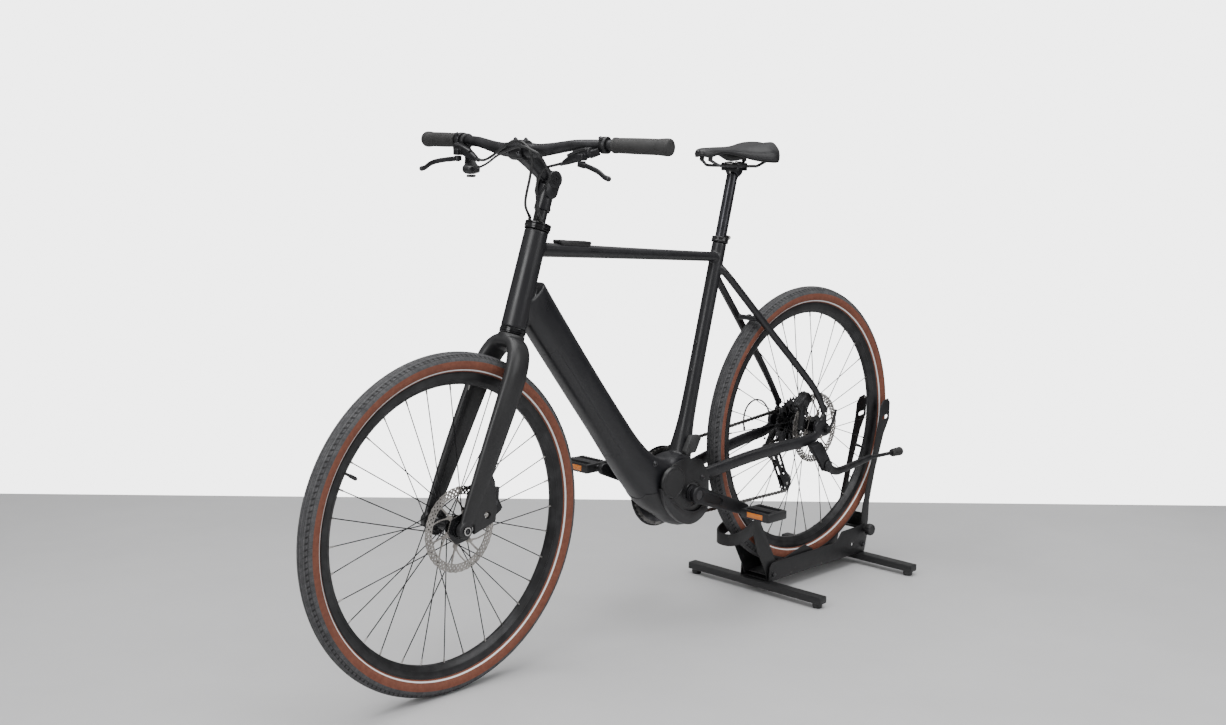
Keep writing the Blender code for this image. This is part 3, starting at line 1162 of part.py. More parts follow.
def kickstand_leg():
    """The folding leg: pivot boss, cranked arm, steel rod and rubber foot."""
    boss = plate(circle((KICKSTAND_PIVOT.x, KICKSTAND_PIVOT.z), 0.0150, 16), -0.1020, -0.0900)
    arm = sweep([(1.1720, -0.0955, 0.3060), (1.1850, -0.0960, 0.2990), (1.2000, -0.0965, 0.2935), (1.2200, -0.0970, 0.2930),
                 (1.2700, -0.0980, 0.2985), (1.3450, -0.0990, 0.3080)],
                [0.0110, 0.0105, 0.0100, 0.0095, 0.0090, 0.0080], [0.0055, 0.0055, 0.0058, 0.0060, 0.0065, 0.0060],
                UP, 10, 2.8)
    bar = rod((1.3400, -0.0990, 0.3074), (1.4450, -0.1000, 0.3045), 0.0050, 10)
    foot = rod((1.4400, -0.1000, 0.3046), (1.4800, -0.1003, 0.3040), 0.0105, 12, 0.0120)
    return join(boss, arm, bar, foot)


def build_kickstand(assembly):
    assembly.add("kickstand_bracket", kickstand_bracket(), "bike", "black_alloy")
    assembly.add("kickstand_leg", kickstand_leg(), "kickstand", "black_alloy")


def main():
    clear_scene()
    assembly = Assembly()
    build_stand(assembly)
    build_frame(assembly)
    build_steering(assembly)
    build_wheels(assembly)
    build_drivetrain(assembly)
    build_seat(assembly)
    build_kickstand(assembly)


main()
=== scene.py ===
"""The looks of a city e-bike standing with its rear wheel in a floor stand.

Shapes are written in the bike's own frame in metres: zero on the floor under the front axle, the bike
facing -X with its left side at -Y, +Z up. show() takes them to the row frame.
"""

import math

import bmesh
import bpy
from mathutils import Matrix, Vector

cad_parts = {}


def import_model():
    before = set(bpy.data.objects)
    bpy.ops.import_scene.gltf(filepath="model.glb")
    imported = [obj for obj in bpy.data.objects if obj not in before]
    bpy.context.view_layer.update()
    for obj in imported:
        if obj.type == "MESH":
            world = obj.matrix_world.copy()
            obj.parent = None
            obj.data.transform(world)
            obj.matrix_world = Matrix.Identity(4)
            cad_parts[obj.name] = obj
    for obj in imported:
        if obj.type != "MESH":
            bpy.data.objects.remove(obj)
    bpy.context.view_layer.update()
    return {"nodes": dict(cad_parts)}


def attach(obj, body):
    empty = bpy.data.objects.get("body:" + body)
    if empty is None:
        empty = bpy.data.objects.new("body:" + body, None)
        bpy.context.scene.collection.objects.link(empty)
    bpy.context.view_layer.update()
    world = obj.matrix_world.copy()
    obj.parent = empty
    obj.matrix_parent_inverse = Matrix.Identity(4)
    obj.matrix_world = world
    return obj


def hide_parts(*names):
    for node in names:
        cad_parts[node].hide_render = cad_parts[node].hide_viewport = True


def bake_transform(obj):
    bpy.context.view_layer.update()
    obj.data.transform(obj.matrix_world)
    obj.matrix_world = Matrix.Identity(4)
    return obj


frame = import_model()

# ---- places and sizes shared with the CAD part (metres) ----
ORIGIN_X = 0.5877
WHEEL_RADIUS = 0.358
TYRE_SECTION = 0.022
RIM_FLANGE_RADIUS = 0.3165
ROTOR_Y = -0.043
CHAIN_Y = 0.0454
CHAIN_PITCH = 0.0127
CHAINRING_TEETH = 44
COG_TEETH = (34, 30, 26, 23, 20, 17, 15, 13, 11)
ENGAGED_COG = 4
COG_SPACING = 0.00434
PULLEY_TEETH = 11
CRANK_LENGTH = 0.170
CRANK_RISE = math.radians(21.0)
PEDAL_Y = 0.0885
FRONT_AXLE = Vector((0.0, 0.0, WHEEL_RADIUS))
REAR_AXLE = Vector((1.1754, 0.0, 0.4028))
HEAD_BOTTOM = Vector((0.1842, 0.0, 0.7474))
HEAD_TOP = Vector((0.2504, 0.0, 0.9481))
STEER = (HEAD_TOP - HEAD_BOTTOM).normalized()
STEM_PIVOT = Vector((0.2853, 0.0, 1.0540))
BAR_CLAMP = Vector((0.2044, 0.0, 1.1161))
CRANK_AXIS = Vector((0.6950, 0.0, 0.3145))
SEAT_BASE = Vector((0.7604, 0.0, 0.5930))
SEAT_DIRECTION = Vector((0.2535, 0.0, 0.9673)).normalized()
SADDLE_CLAMP = Vector((0.8860, 0.0, 1.0600))
GUIDE_PULLEY = Vector((1.1220, CHAIN_Y, 0.3380))
TENSION_PULLEY = Vector((1.1700, CHAIN_Y, 0.2430))
HANGER_BOLT = Vector((1.1830, 0.0, 0.3700))
KICKSTAND_PIVOT = Vector((1.1640, -0.0920, 0.3120))
YOKE_PIVOT = Vector((1.4060, 0.0, 0.0935))
LEVER_PIVOT = Vector((0.1960, 0.1900, 1.0940))
SHIFT_PIVOT = Vector((0.1960, 0.1500, 1.0580))
ACROSS = Vector((0, 1, 0))
UP = Vector((0, 0, 1))


# ---- procedural finishes ----

class Finish:
    """A node-based material: methods add detail to its one Principled shader."""

    def __init__(self, name, colour, roughness, metallic=0.0):
        self.material = bpy.data.materials.new(name)
        self.material.use_nodes = True
        self.tree = self.material.node_tree
        self.shader = self.tree.nodes["Principled BSDF"]
        self.shader.inputs["Base Color"].default_value = (*colour, 1)
        self.shader.inputs["Roughness"].default_value = roughness
        self.shader.inputs["Metallic"].default_value = metallic
        self.colour, self.roughness = colour, roughness
        self.place = self.node("ShaderNodeTexCoord").outputs["Object"]
        self.height = None

    def node(self, kind, **settings):
        made = self.tree.nodes.new(kind)
        for key, value in settings.items():
            setattr(made, key, value)
        return made

    def link(self, start, end):
        self.tree.links.new(start, end)

    def math(self, operation, a, b=None, c=None):
        made = self.node("ShaderNodeMath", operation=operation)
        for socket, value in zip(made.inputs, (a, b, c)):
            if value is None:
                continue
            if isinstance(value, (int, float)):
                socket.default_value = value
            else:
                self.link(value, socket)
        return made.outputs[0]

    def noise(self, scale, detail=3.0, roughness=0.55, stretch=None):
        source = self.place
        if stretch:
            mapping = self.node("ShaderNodeMapping")
            mapping.inputs["Scale"].default_value = stretch
            self.link(source, mapping.inputs["Vector"])
            source = mapping.outputs["Vector"]
        made = self.node("ShaderNodeTexNoise")
        made.inputs["Scale"].default_value = scale
        made.inputs["Detail"].default_value = detail
        made.inputs["Roughness"].default_value = roughness
        self.link(source, made.inputs["Vector"])
        return made.outputs["Fac"]

    def cells(self, scale):
        made = self.node("ShaderNodeTexVoronoi")
        made.inputs["Scale"].default_value = scale
        self.link(self.place, made.inputs["Vector"])
        return made.outputs["Distance"]

    def spread(self, value, low, high, to_low, to_high):
        made = self.node("ShaderNodeMapRange")
        for name, number in (("From Min", low), ("From Max", high), ("To Min", to_low),
                             ("To Max", to_high)):
            made.inputs[name].default_value = number
        self.link(value, made.inputs["Value"])
        return made.outputs["Result"]

    def mix(self, factor, first, second):
        """A colour between two: each is a colour or another mix."""
        made = self.node("ShaderNodeMix", data_type="RGBA")
        self.link(factor, made.inputs[0])
        for socket, value in ((made.inputs[6], first), (made.inputs[7], second)):
            if isinstance(value, (tuple, list)):
                socket.default_value = (*value, 1)
            else:
                self.link(value, socket)
        return made.outputs[2]

    def paint(self, colour):
        self.link(colour, self.shader.inputs["Base Color"])

    def vary(self, scale, other, amount=(0.40, 0.65), rough=None, detail=4.0):
        """Drifts the colour to another one in patches, and the roughness with it."""
        patch = self.noise(scale, detail)
        self.paint(self.mix(self.spread(patch, *amount, 0, 1), self.colour, other))
        if rough:
            self.link(self.spread(patch, *amount, *rough), self.shader.inputs["Roughness"])
        return self

    def raise_by(self, value, distance):
        """Adds a height, in metres, to the bump."""
        scaled = self.math("MULTIPLY", value, distance)
        self.height = scaled if self.height is None else self.math("ADD", self.height, scaled)
        return self

    def bump(self, strength=1.0):
        made = self.node("ShaderNodeBump")
        made.inputs["Strength"].default_value = strength
        made.inputs["Distance"].default_value = 1.0
        self.link(self.height, made.inputs["Height"])
        self.link(made.outputs["Normal"], self.shader.inputs["Normal"])
        return self.material

    def around(self, centre):
        """Radius and angle about an axle at a centre in the bike's frame, and the distance along Y."""
        split = self.node("ShaderNodeSeparateXYZ")
        self.link(self.place, split.inputs[0])
        x = self.math("SUBTRACT", split.outputs[0], centre.x - ORIGIN_X)
        z = self.math("SUBTRACT", split.outputs[2], centre.z)
        square = self.math("ADD", self.math("MULTIPLY", x, x), self.math("MULTIPLY", z, z))
        return self.math("SQRT", square), self.math("ARCTAN2", z, x), split.outputs[1]


def satin_paint(name, colour, roughness, dust=(0.050, 0.050, 0.052)):
    """Sprayed paint: faint orange peel, handling marks in its gloss and a little dust."""
    made = Finish(name, colour, roughness)
    patch = made.noise(7.0, 5.0)
    specks = made.noise(420.0, 2.0)
    dusty = made.math("MULTIPLY", made.spread(patch, 0.48, 0.75, 0.0, 0.5),
                      made.spread(specks, 0.55, 0.75, 0.0, 1.0))
    made.paint(made.mix(dusty, colour, dust))
    smear = made.noise(26.0, 4.0, 0.6, (1.0, 1.0, 0.25))
    made.link(made.spread(smear, 0.3, 0.75, roughness - 0.07, roughness + 0.10),
              made.shader.inputs["Roughness"])
    made.raise_by(made.noise(650.0, 1.0), 0.000022)
    made.raise_by(made.noise(60.0, 2.0), 0.00004)
    return made.bump()


def powder_coat(name, colour):
    """Textured coating on steel, with scuffs where it has been knocked."""
    made = Finish(name, colour, 0.5)
    scuff = made.noise(38.0, 8.0, 0.7)
    scratch = made.noise(160.0, 3.0, 0.5, (1.0, 0.15, 0.6))
    worn = made.math("MULTIPLY", made.spread(scuff, 0.60, 0.72, 0, 1),
                     made.spread(scratch, 0.52, 0.66, 0, 1))
    made.paint(made.mix(worn, colour, (0.16, 0.15, 0.145)))
    made.link(made.spread(scuff, 0.3, 0.7, 0.34, 0.56), made.shader.inputs["Roughness"])
    made.raise_by(made.cells(900.0), 0.00006)
    made.raise_by(made.noise(240.0, 3.0), 0.00008)
    return made.bump()


def alloy(name, colour, roughness, metallic=0.8, grain=(1.0, 1.0, 1.0)):
    """Anodised or cast metal: fine grain, with smears in its gloss."""
    made = Finish(name, colour, roughness, metallic)
    smear = made.noise(45.0, 5.0, 0.6)
    made.vary(30.0, tuple(c * 1.7 + 0.004 for c in colour))
    made.link(made.spread(smear, 0.3, 0.7, roughness - 0.06, roughness + 0.12),
              made.shader.inputs["Roughness"])
    made.raise_by(made.noise(900.0, 2.0, 0.5, grain), 0.00003)
    return made.bump()


def moulded(name, colour, roughness=0.5, grain=1400.0, depth=0.00005):
    """Moulded plastic: a fine spark-eroded grain and slight gloss changes."""
    made = Finish(name, colour, roughness)
    made.vary(22.0, tuple(c * 1.5 + 0.003 for c in colour), rough=(roughness - 0.06, roughness + 0.08))
    made.raise_by(made.cells(grain), depth)
    made.raise_by(made.noise(90.0, 2.0), 0.00004)
    return made.bump()


def rubber(name, colour, roughness=0.8):
    made = Finish(name, colour, roughness)
    made.vary(40.0, tuple(c * 1.9 + 0.006 for c in colour), rough=(roughness - 0.10, roughness + 0.08))
    made.raise_by(made.noise(1100.0, 3.0), 0.00005)
    return made.bump()


def steel(name, colour, roughness, centre=None):
    """Ground steel; with a centre, its grinding marks run in circles about that axle."""
    made = Finish(name, colour, roughness, 1.0)
    made.vary(55.0, tuple(c * 0.72 for c in colour), rough=(roughness - 0.05, roughness + 0.14))
    if centre is None:
        made.raise_by(made.noise(500.0, 4.0, 0.6, (1.0, 0.2, 1.0)), 0.00003)
    else:
        radius, _, _ = made.around(centre)
        lines = made.node("ShaderNodeTexNoise", noise_dimensions="1D")
        lines.inputs["Scale"].default_value = 3200.0
        lines.inputs["Detail"].default_value = 3.0
        made.link(radius, lines.inputs["W"])
        made.raise_by(lines.outputs["Fac"], 0.00002)
    return made.bump()


def tyre_finish(name, centre):
    """Grey patterned tread with painted shade in its grooves, brown side walls and a reflective line round
    each side.
    """
    made = Finish(name, (0.040, 0.040, 0.043), 0.85)
    radius, angle, across = made.around(centre)
    side = made.math("ABSOLUTE", across)
    along = made.math("MULTIPLY", angle, WHEEL_RADIUS / 0.0125)
    slant = made.math("ADD", along, made.math("MULTIPLY", side, 60.0))
    wave = made.math("SINE", made.math("MULTIPLY", slant, 2 * math.pi))
    rib = made.math("SINE", made.math("MULTIPLY", side, 2 * math.pi / 0.0042))
    at_edge = made.math("MULTIPLY", made.spread(side, 0.0125, 0.0130, 0, 1),
                        made.spread(side, 0.0172, 0.0177, 1, 0))
    dashes = made.math("MULTIPLY", made.spread(wave, 0.40, 0.60, 0, 1), at_edge)
    ribs = made.spread(rib, 0.72, 0.90, 0, 0.75)
    sipes = made.spread(wave, 0.93, 0.97, 0, 0.40)
    on_tread = made.spread(radius, 0.3405, 0.3412, 0, 1)
    cut = made.math("MULTIPLY", made.math("MAXIMUM", made.math("MAXIMUM", ribs, dashes), sipes), on_tread)
    dust = made.noise(70.0, 6.0, 0.7)
    specks = made.noise(900.0, 2.0)
    grey = made.mix(made.spread(dust, 0.35, 0.70, 0, 1), (0.034, 0.034, 0.037), (0.085, 0.085, 0.088))
    grey = made.mix(made.spread(specks, 0.56, 0.70, 0, 0.5), grey, (0.16, 0.16, 0.16))
    # The cut grooves are painted near black: painted shade in grooves that are only a bump.
    tread = made.mix(cut, grey, (0.014, 0.014, 0.015))
    wall = made.mix(made.spread(made.noise(120.0, 5.0, 0.65), 0.35, 0.7, 0, 1), (0.150, 0.045, 0.025),
                    (0.205, 0.070, 0.040))
    wall = made.mix(made.spread(made.noise(14.0, 3.0), 0.50, 0.75, 0, 0.35), wall, (0.13, 0.045, 0.028))
    colour = made.mix(on_tread, wall, tread)
    line = made.math("MULTIPLY", made.spread(radius, 0.3205, 0.3208, 0, 1),
                     made.spread(radius, 0.3232, 0.3235, 1, 0))
    colour = made.mix(line, colour, (0.80, 0.81, 0.82))
    bead = made.spread(radius, 0.3178, 0.3182, 1, 0)
    made.paint(made.mix(bead, colour, (0.030, 0.028, 0.028)))
    rough = made.spread(line, 0, 1, 0.80, 0.28)
    made.link(rough, made.shader.inputs["Roughness"])
    made.raise_by(cut, -0.0007)
    weave = made.math("SINE", made.math("MULTIPLY",
                                        made.math("ADD", along, made.math("MULTIPLY", radius, 70.0)), 56.0))
    made.raise_by(weave, 0.00002)
    made.raise_by(made.noise(1000.0, 3.0), 0.00008)
    return made.bump()


def knurled(name, colour, roughness):
    """Grip rubber: a fine raised weave with polished patches from hands."""
    made = Finish(name, colour, roughness)
    made.vary(35.0, tuple(c * 1.5 + 0.004 for c in colour), rough=(roughness - 0.12, roughness + 0.08))
    split = made.node("ShaderNodeSeparateXYZ")
    made.link(made.place, split.inputs[0])
    first = made.math("SINE", made.math("MULTIPLY", made.math("ADD", split.outputs[1], split.outputs[2]),
                                        2600.0))
    second = made.math("SINE",
                       made.math("MULTIPLY", made.math("SUBTRACT", split.outputs[1], split.outputs[2]),
                                 2600.0))
    made.raise_by(made.math("MAXIMUM", first, second), 0.00016)
    made.raise_by(made.noise(1200.0, 2.0), 0.00004)
    return made.bump()


def vinyl(name, colour):
    """Grained saddle cover: leather cells, creases and a soft sheen."""
    made = Finish(name, colour, 0.42)
    made.vary(18.0, tuple(c * 1.4 + 0.003 for c in colour), rough=(0.36, 0.48))
    made.raise_by(made.cells(900.0), 0.00006)
    made.raise_by(made.noise(240.0, 5.0, 0.65), 0.00005)
    return made.bump()


def reflector(name):
    """Orange prismatic plastic: rows of small pyramids under a clear face, painted dark in their valleys and
    bright on their peaks as painted shade and glints.
    """
    made = Finish(name, (0.75, 0.19, 0.015), 0.22)
    split = made.node("ShaderNodeSeparateXYZ")
    made.link(made.place, split.inputs[0])
    first = made.math("PINGPONG", made.math("ADD", split.outputs[1], split.outputs[2]), 0.0016)
    second = made.math("PINGPONG", made.math("SUBTRACT", split.outputs[1], split.outputs[2]), 0.0016)
    cell = made.math("ADD", first, second)
    # Each pyramid runs from dark amber in its valleys to bright amber on its peak: painted shade and painted
    # glints on the prisms.
    made.paint(made.mix(made.spread(cell, 0.0, 0.0032, 0, 1), (0.35, 0.06, 0.004), (1.0, 0.33, 0.03)))
    made.raise_by(cell, 0.30)
    made.shader.inputs["Coat Weight"].default_value = 0.8
    return made.bump()


FINISHES = {
    "frame_paint": satin_paint("frame_paint", (0.0086, 0.0086, 0.0106), 0.34),
    "fork_paint": satin_paint("fork_paint", (0.0120, 0.0120, 0.0130), 0.44),
    "stand_paint": powder_coat("stand_paint", (0.0110, 0.0110, 0.0120)),
    "black_alloy": alloy("black_alloy", (0.013, 0.013, 0.0145), 0.34, 0.4),
    "bar_alloy": alloy("bar_alloy", (0.013, 0.013, 0.0145), 0.30, 0.4),
    "post_alloy": alloy("post_alloy", (0.026, 0.026, 0.030), 0.20, 0.6),
    "gloss_black": alloy("gloss_black", (0.008, 0.008, 0.009), 0.12, 0.3),
    "rim_black": alloy("rim_black", (0.013, 0.013, 0.014), 0.34, 0.4),
    "black_plastic": moulded("black_plastic", (0.0105, 0.0105, 0.0115), 0.44),
    "cover_plastic": moulded("cover_plastic", (0.0050, 0.0050, 0.0056), 0.40),
    "gloss_plastic": moulded("gloss_plastic", (0.010, 0.010, 0.011), 0.24, 2400.0, 0.00001),
    "grey_plastic": moulded("grey_plastic", (0.045, 0.045, 0.048), 0.5),
    "black_rubber": rubber("black_rubber", (0.014, 0.014, 0.0145), 0.62),
    "hose_rubber": rubber("hose_rubber", (0.010, 0.010, 0.0105), 0.36),
    "grip_rubber": knurled("grip_rubber", (0.017, 0.0165, 0.0165), 0.70),
    "saddle_vinyl": vinyl("saddle_vinyl", (0.0066, 0.0066, 0.0078)),
    "steel": steel("steel", (0.60, 0.59, 0.58), 0.28),
    "front_rotor_steel": steel("front_rotor_steel", (0.36, 0.34, 0.32), 0.30, FRONT_AXLE),
    "rear_rotor_steel": steel("rear_rotor_steel", (0.36, 0.34, 0.32), 0.30, REAR_AXLE),
    "dark_steel": steel("dark_steel", (0.10, 0.10, 0.105), 0.36),
    "spoke_steel": steel("spoke_steel", (0.030, 0.030, 0.032), 0.34),
    "nipple_metal": steel("nipple_metal", (0.36, 0.35, 0.34), 0.32),
    "chain_steel": steel("chain_steel", (0.21, 0.205, 0.20), 0.34),
    "cog_steel": steel("cog_steel", (0.13, 0.13, 0.135), 0.34, REAR_AXLE),
    "front_tyre": tyre_finish("front_tyre_rubber", FRONT_AXLE),
    "rear_tyre": tyre_finish("rear_tyre_rubber", REAR_AXLE),
    "reflector": reflector("reflector_orange"),
}


# ---- shape tools ----

def mesh_data(vertices, faces):
    mesh = bpy.data.meshes.new("shape")
    mesh.from_pydata([tuple(v) for v in vertices], [], faces)
    return mesh


def linked(mesh, name="shape"):
    item = bpy.data.objects.new(name, mesh)
    bpy.context.scene.collection.objects.link(item)
    return item


def solid(vertices, faces):
    """A mesh object whose faces all point outwards."""
    item = linked(mesh_data(vertices, faces))
    shape = bmesh.new()
    shape.from_mesh(item.data)
    bmesh.ops.recalc_face_normals(shape, faces=shape.faces)
    shape.to_mesh(item.data)
    shape.free()
    return item


def skin_rings(rings, closed=False, capped=True):
    count = len(rings[0])
    vertices = [point for ring in rings for point in ring]
    faces = []
    spans = len(rings) if closed else len(rings) - 1
    for i in range(spans):
        low, high = i * count, ((i + 1) % len(rings)) * count
        for j in range(count):
            k = (j + 1) % count
            faces.append((low + j, low + k, high + k, high + j))
    if not closed and capped:
        faces.append(tuple(reversed(range(count))))
        faces.append(tuple(range(len(vertices) - count, len(vertices))))
    return solid(vertices, faces)


def listed(value, count):
    return list(value) if isinstance(value, (list, tuple)) else [value] * count


def curve_through(points, steps):
    """A smooth curve through points of any size, with steps spans between each pair."""
    points = [Vector(p) for p in points]
    ends = [points[0] * 2 - points[1]] + points + [points[-1] * 2 - points[-2]]
    path = []
    for i in range(1, len(ends) - 2):
        a, b, c, d = ends[i - 1:i + 3]
        for k in range(steps):
            t = k / steps
            path.append(0.5 * (2 * b + (c - a) * t + (2 * a - 5 * b + 4 * c - d) * t ** 2
                               + (3 * b - a - 3 * c + d) * t ** 3))
    return path + [points[-1]]


def sweep(path, depth, width, fore, sides=24, power=2.0, steps=1, rounded=0.0):
    """A rounded section along a smoothed path. rounded pulls both ends in to a soft edge of that size."""
    depth, width = listed(depth, len(path)), listed(width, len(path))
    if steps > 1:
        rows = curve_through([(p[0], p[1], p[2]) for p in path], steps)
        sizes = curve_through([(a, b, 0) for a, b in zip(depth, width)], steps)
        path, depth, width = rows, [s.x for s in sizes], [s.y for s in sizes]
    path = [Vector(p) for p in path]
    fore = Vector(fore)
    rings = []
    for i, centre in enumerate(path):
        along = (path[min(i + 1, len(path) - 1)] - path[max(i - 1, 0)]).normalized()
        deep = (fore - along * fore.dot(along)).normalized()
        wide = along.cross(deep)

        def ring_at(shift, shrink):
            ring = []
            for j in range(sides):
                turn = 2 * math.pi * j / sides
                c, s = math.cos(turn), math.sin(turn)
                u = math.copysign(abs(c) ** (2 / power), c) * max(depth[i] - shrink, 0.0001)
                v = math.copysign(abs(s) ** (2 / power), s) * max(width[i] - shrink, 0.0001)
                ring.append(centre + deep * u + wide * v + along * shift)
            return ring
        if rounded and i == 0:
            rings += [ring_at(0, rounded), ring_at(0.3 * rounded, 0.3 * rounded), ring_at(rounded, 0)]
        elif rounded and i == len(path) - 1:
            rings += [ring_at(-rounded, 0), ring_at(-0.3 * rounded, 0.3 * rounded), ring_at(0, rounded)]
        else:
            rings.append(ring_at(0, 0))
    return skin_rings(rings)


def turned(profile, centre, axis=ACROSS, sides=48):
    """A closed profile of (radius, height) points turned about an axis through centre."""
    axis = Vector(axis).normalized()
    first = Vector((1, 0, 0)) if abs(axis.x) < 0.9 else Vector((0, 1, 0))
    first = (first - axis * first.dot(axis)).normalized()
    second = axis.cross(first)
    vertices, starts = [], []
    for radius, height in profile:
        starts.append(len(vertices))
        if radius == 0:
            vertices.append(Vector(centre) + axis * height)
            continue
        for j in range(sides):
            turn = 2 * math.pi * j / sides
            out = first * math.cos(turn) + second * math.sin(turn)
            vertices.append(Vector(centre) + out * radius + axis * height)
    faces = []
    for i in range(len(profile)):
        k = (i + 1) % len(profile)
        low_point, high_point = profile[i][0] == 0, profile[k][0] == 0
        if low_point and high_point:
            continue
        a, b = starts[i], starts[k]
        for j in range(sides):
            n = (j + 1) % sides
            if low_point:
                faces.append((a, b + j, b + n))
            elif high_point:
                faces.append((a + j, a + n, b))
            else:
                faces.append((a + j, a + n, b + n, b + j))
    return solid(vertices, faces)


def rod(start, end, radius, sides=24, soft=0.0006):
    """A round bar with softened ends."""
    start, end = Vector(start), Vector(end)
    length = (end - start).length
    soft = min(soft, radius * 0.6, length * 0.3)
    profile = [(0, 0), (radius - soft, 0), (radius - 0.3 * soft, 0.3 * soft), (radius, soft),
               (radius, length - soft), (radius - 0.3 * soft, length - 0.3 * soft), (radius - soft, length),
               (0, length)]
    return turned(profile, start, end - start, sides)


def bolt(place, axis, radius, height, socket=0.0):
    """A round bolt head with a hex socket, standing height above place along axis."""
    axis = Vector(axis).normalized()
    socket = socket or radius * 0.5
    first = axis.orthogonal().normalized()
    second = axis.cross(first)

    def ring(size, level, hexagon=False):
        points = []
        for j in range(24):
            turn = 2 * math.pi * j / 24
            reach = size
            if hexagon:
                reach = size * math.cos(math.pi / 6) / math.cos((turn % (math.pi / 3)) - math.pi / 6)
            points.append(Vector(place) + (first * math.cos(turn) + second * math.sin(turn)) * reach + axis
                          * level)
        return points
    edge = min(0.0006, height * 0.4)
    rings = [ring(radius, -0.0008), ring(radius, height - edge),
             ring(radius - edge * 0.3, height - edge * 0.3), ring(radius - edge, height),
             ring(socket * 1.15, height), ring(socket, height - 0.0002, True),
             ring(socket, height - min(height * 0.8, 0.0022), True)]
    return skin_rings(rings)


def lift(point, height, plane):
    a, b = point
    if plane == "XZ":
        return Vector((a, height, b))
    return Vector((a, b, height))


def plate(outline, low, high, plane="XZ", soft=0.0):
    """A flat outline given thickness along Y or Z, with its edges rounded by soft."""
    item = skin_rings([[lift(p, low, plane) for p in outline], [lift(p, high, plane) for p in outline]])
    return soften(item, soft) if soft else item


def pierced(outline, holes, low, high, plane="XZ", soft=0.0002):
    """A flat outline with holes through it, as one plate."""
    curve = bpy.data.curves.new("outline", "CURVE")
    curve.dimensions = "2D"
    curve.fill_mode = "BOTH"
    curve.extrude = (high - low) / 2 - soft
    curve.bevel_depth = soft
    curve.offset = -soft
    for points in [outline] + list(holes):
        spline = curve.splines.new("POLY")
        spline.points.add(len(points) - 1)
        for item, (a, b) in zip(spline.points, points):
            item.co = (a, b, 0, 1)
        spline.use_cyclic_u = True
    carrier = linked(curve)
    graph = bpy.context.evaluated_depsgraph_get()
    mesh = bpy.data.meshes.new_from_object(carrier.evaluated_get(graph))
    bpy.data.objects.remove(carrier)
    bpy.data.curves.remove(curve)
    middle = (low + high) / 2
    if plane == "XZ":
        mesh.transform(Matrix.Translation((0, middle, 0)) @ Matrix.Rotation(math.pi / 2, 4, "X"))
    else:
        mesh.transform(Matrix.Translation((0, 0, middle)))
    mesh.materials.clear()
    return linked(mesh)


def box(low, high, soft=0.0008):
    outline = [(low[0], low[1]), (high[0], low[1]), (high[0], high[1]), (low[0], high[1])]
    return soften(plate(outline, low[2], high[2], "XY"), soft)


def beam(start, end, depth, width, fore, soft=0.0008):
    start, end, fore = Vector(start), Vector(end), Vector(fore)
    along = (end - start).normalized()
    deep = (fore - along * fore.dot(along)).normalized() * depth
    wide = along.cross(deep).normalized() * width
    corners = (deep + wide, deep - wide, -deep - wide, wide - deep)
    item = skin_rings([[end_point + c for c in corners] for end_point in (start, end)])
    return soften(item, soft) if soft else item


def circle(centre, radius, count, start=0.0):
    step = 2 * math.pi / count
    return [(centre[0] + radius * math.cos(start + step * i),
             centre[1] + radius * math.sin(start + step * i)) for i in range(count)]


def capsule(first, first_radius, second, second_radius, count=12):
    """The outline round two circles, for arms, links and lugs."""
    dx, dz = second[0] - first[0], second[1] - first[1]
    length = math.hypot(dx, dz)
    heading = math.atan2(dz, dx)
    spread = math.acos((first_radius - second_radius) / length)
    points = []
    for (cx, cz), radius, start, end in (
            (second, second_radius, -spread, spread),
            (first, first_radius, spread, 2 * math.pi - spread)):
        for i in range(count + 1):
            turn = heading + start + (end - start) * i / count
            points.append((cx + radius * math.cos(turn), cz + radius * math.sin(turn)))
    return points


def baked(item):
    """The item with its modifiers applied."""
    graph = bpy.context.evaluated_depsgraph_get()
    mesh = bpy.data.meshes.new_from_object(item.evaluated_get(graph))
    item.modifiers.clear()
    item.data = mesh
    return item


def soften(item, size, segments=2, angle=38):
    step = item.modifiers.new("soft edges", "BEVEL")
    step.width = size
    step.segments = segments
    step.limit_method = "ANGLE"
    step.angle_limit = math.radians(angle)
    step.use_clamp_overlap = True
    return baked(item)


def boolean(base, other, operation):
    step = base.modifiers.new(operation.lower(), "BOOLEAN")
    step.operation = operation
    step.solver = "EXACT"
    step.object = other
    baked(base)
    bpy.data.objects.remove(other)
    return base


def join(base, *others):
    for other in others:
        boolean(base, other, "UNION")
    return base


def cut(base, *others):
    for other in others:
        boolean(base, other, "DIFFERENCE")
    return base


def merge(parts):
    """Puts shapes in one mesh, each still its own surface."""
    vertices, faces = [], []
    for part in parts:
        offset = len(vertices)
        vertices += [v.co.copy() for v in part.data.vertices]
        faces += [tuple(i + offset for i in f.vertices) for f in part.data.polygons]
        bpy.data.objects.remove(part)
    return linked(mesh_data(vertices, faces))


def fused(parts, voxel, rounds, factor=0.5):
    """One skin over all the shapes, with every junction rounded as a weld or a casting is."""
    item = merge(parts)
    remesh = item.modifiers.new("skin", "REMESH")
    remesh.mode = "VOXEL"
    remesh.voxel_size = voxel
    relax = item.modifiers.new("relax", "SMOOTH")
    relax.factor = factor
    relax.iterations = rounds
    return baked(item)


def subdivided(item, levels=2):
    step = item.modifiers.new("subdivision", "SUBSURF")
    step.levels = levels
    step.render_levels = levels
    return baked(item)


def show(name, item, body, finish, *nodes, crease=32):
    """Names a finished piece, moves it to the row frame and hangs it on one body, or, for a line from the
    steering to the bar, leaves it fixed where it is.
    """
    item.data.transform(Matrix.Translation((-ORIGIN_X, 0, 0)))
    item.name = name
    item.data.name = name
    item.data.materials.clear()
    item.data.materials.append(FINISHES[finish])
    item.data.shade_smooth()
    item.data.set_sharp_from_angle(angle=math.radians(crease))
    if body == "steering to bar":
        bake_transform(item)
    else:
        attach(item, body)
    if nodes:
        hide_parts(*nodes)
    return item


# ---- camera, light and floor ----

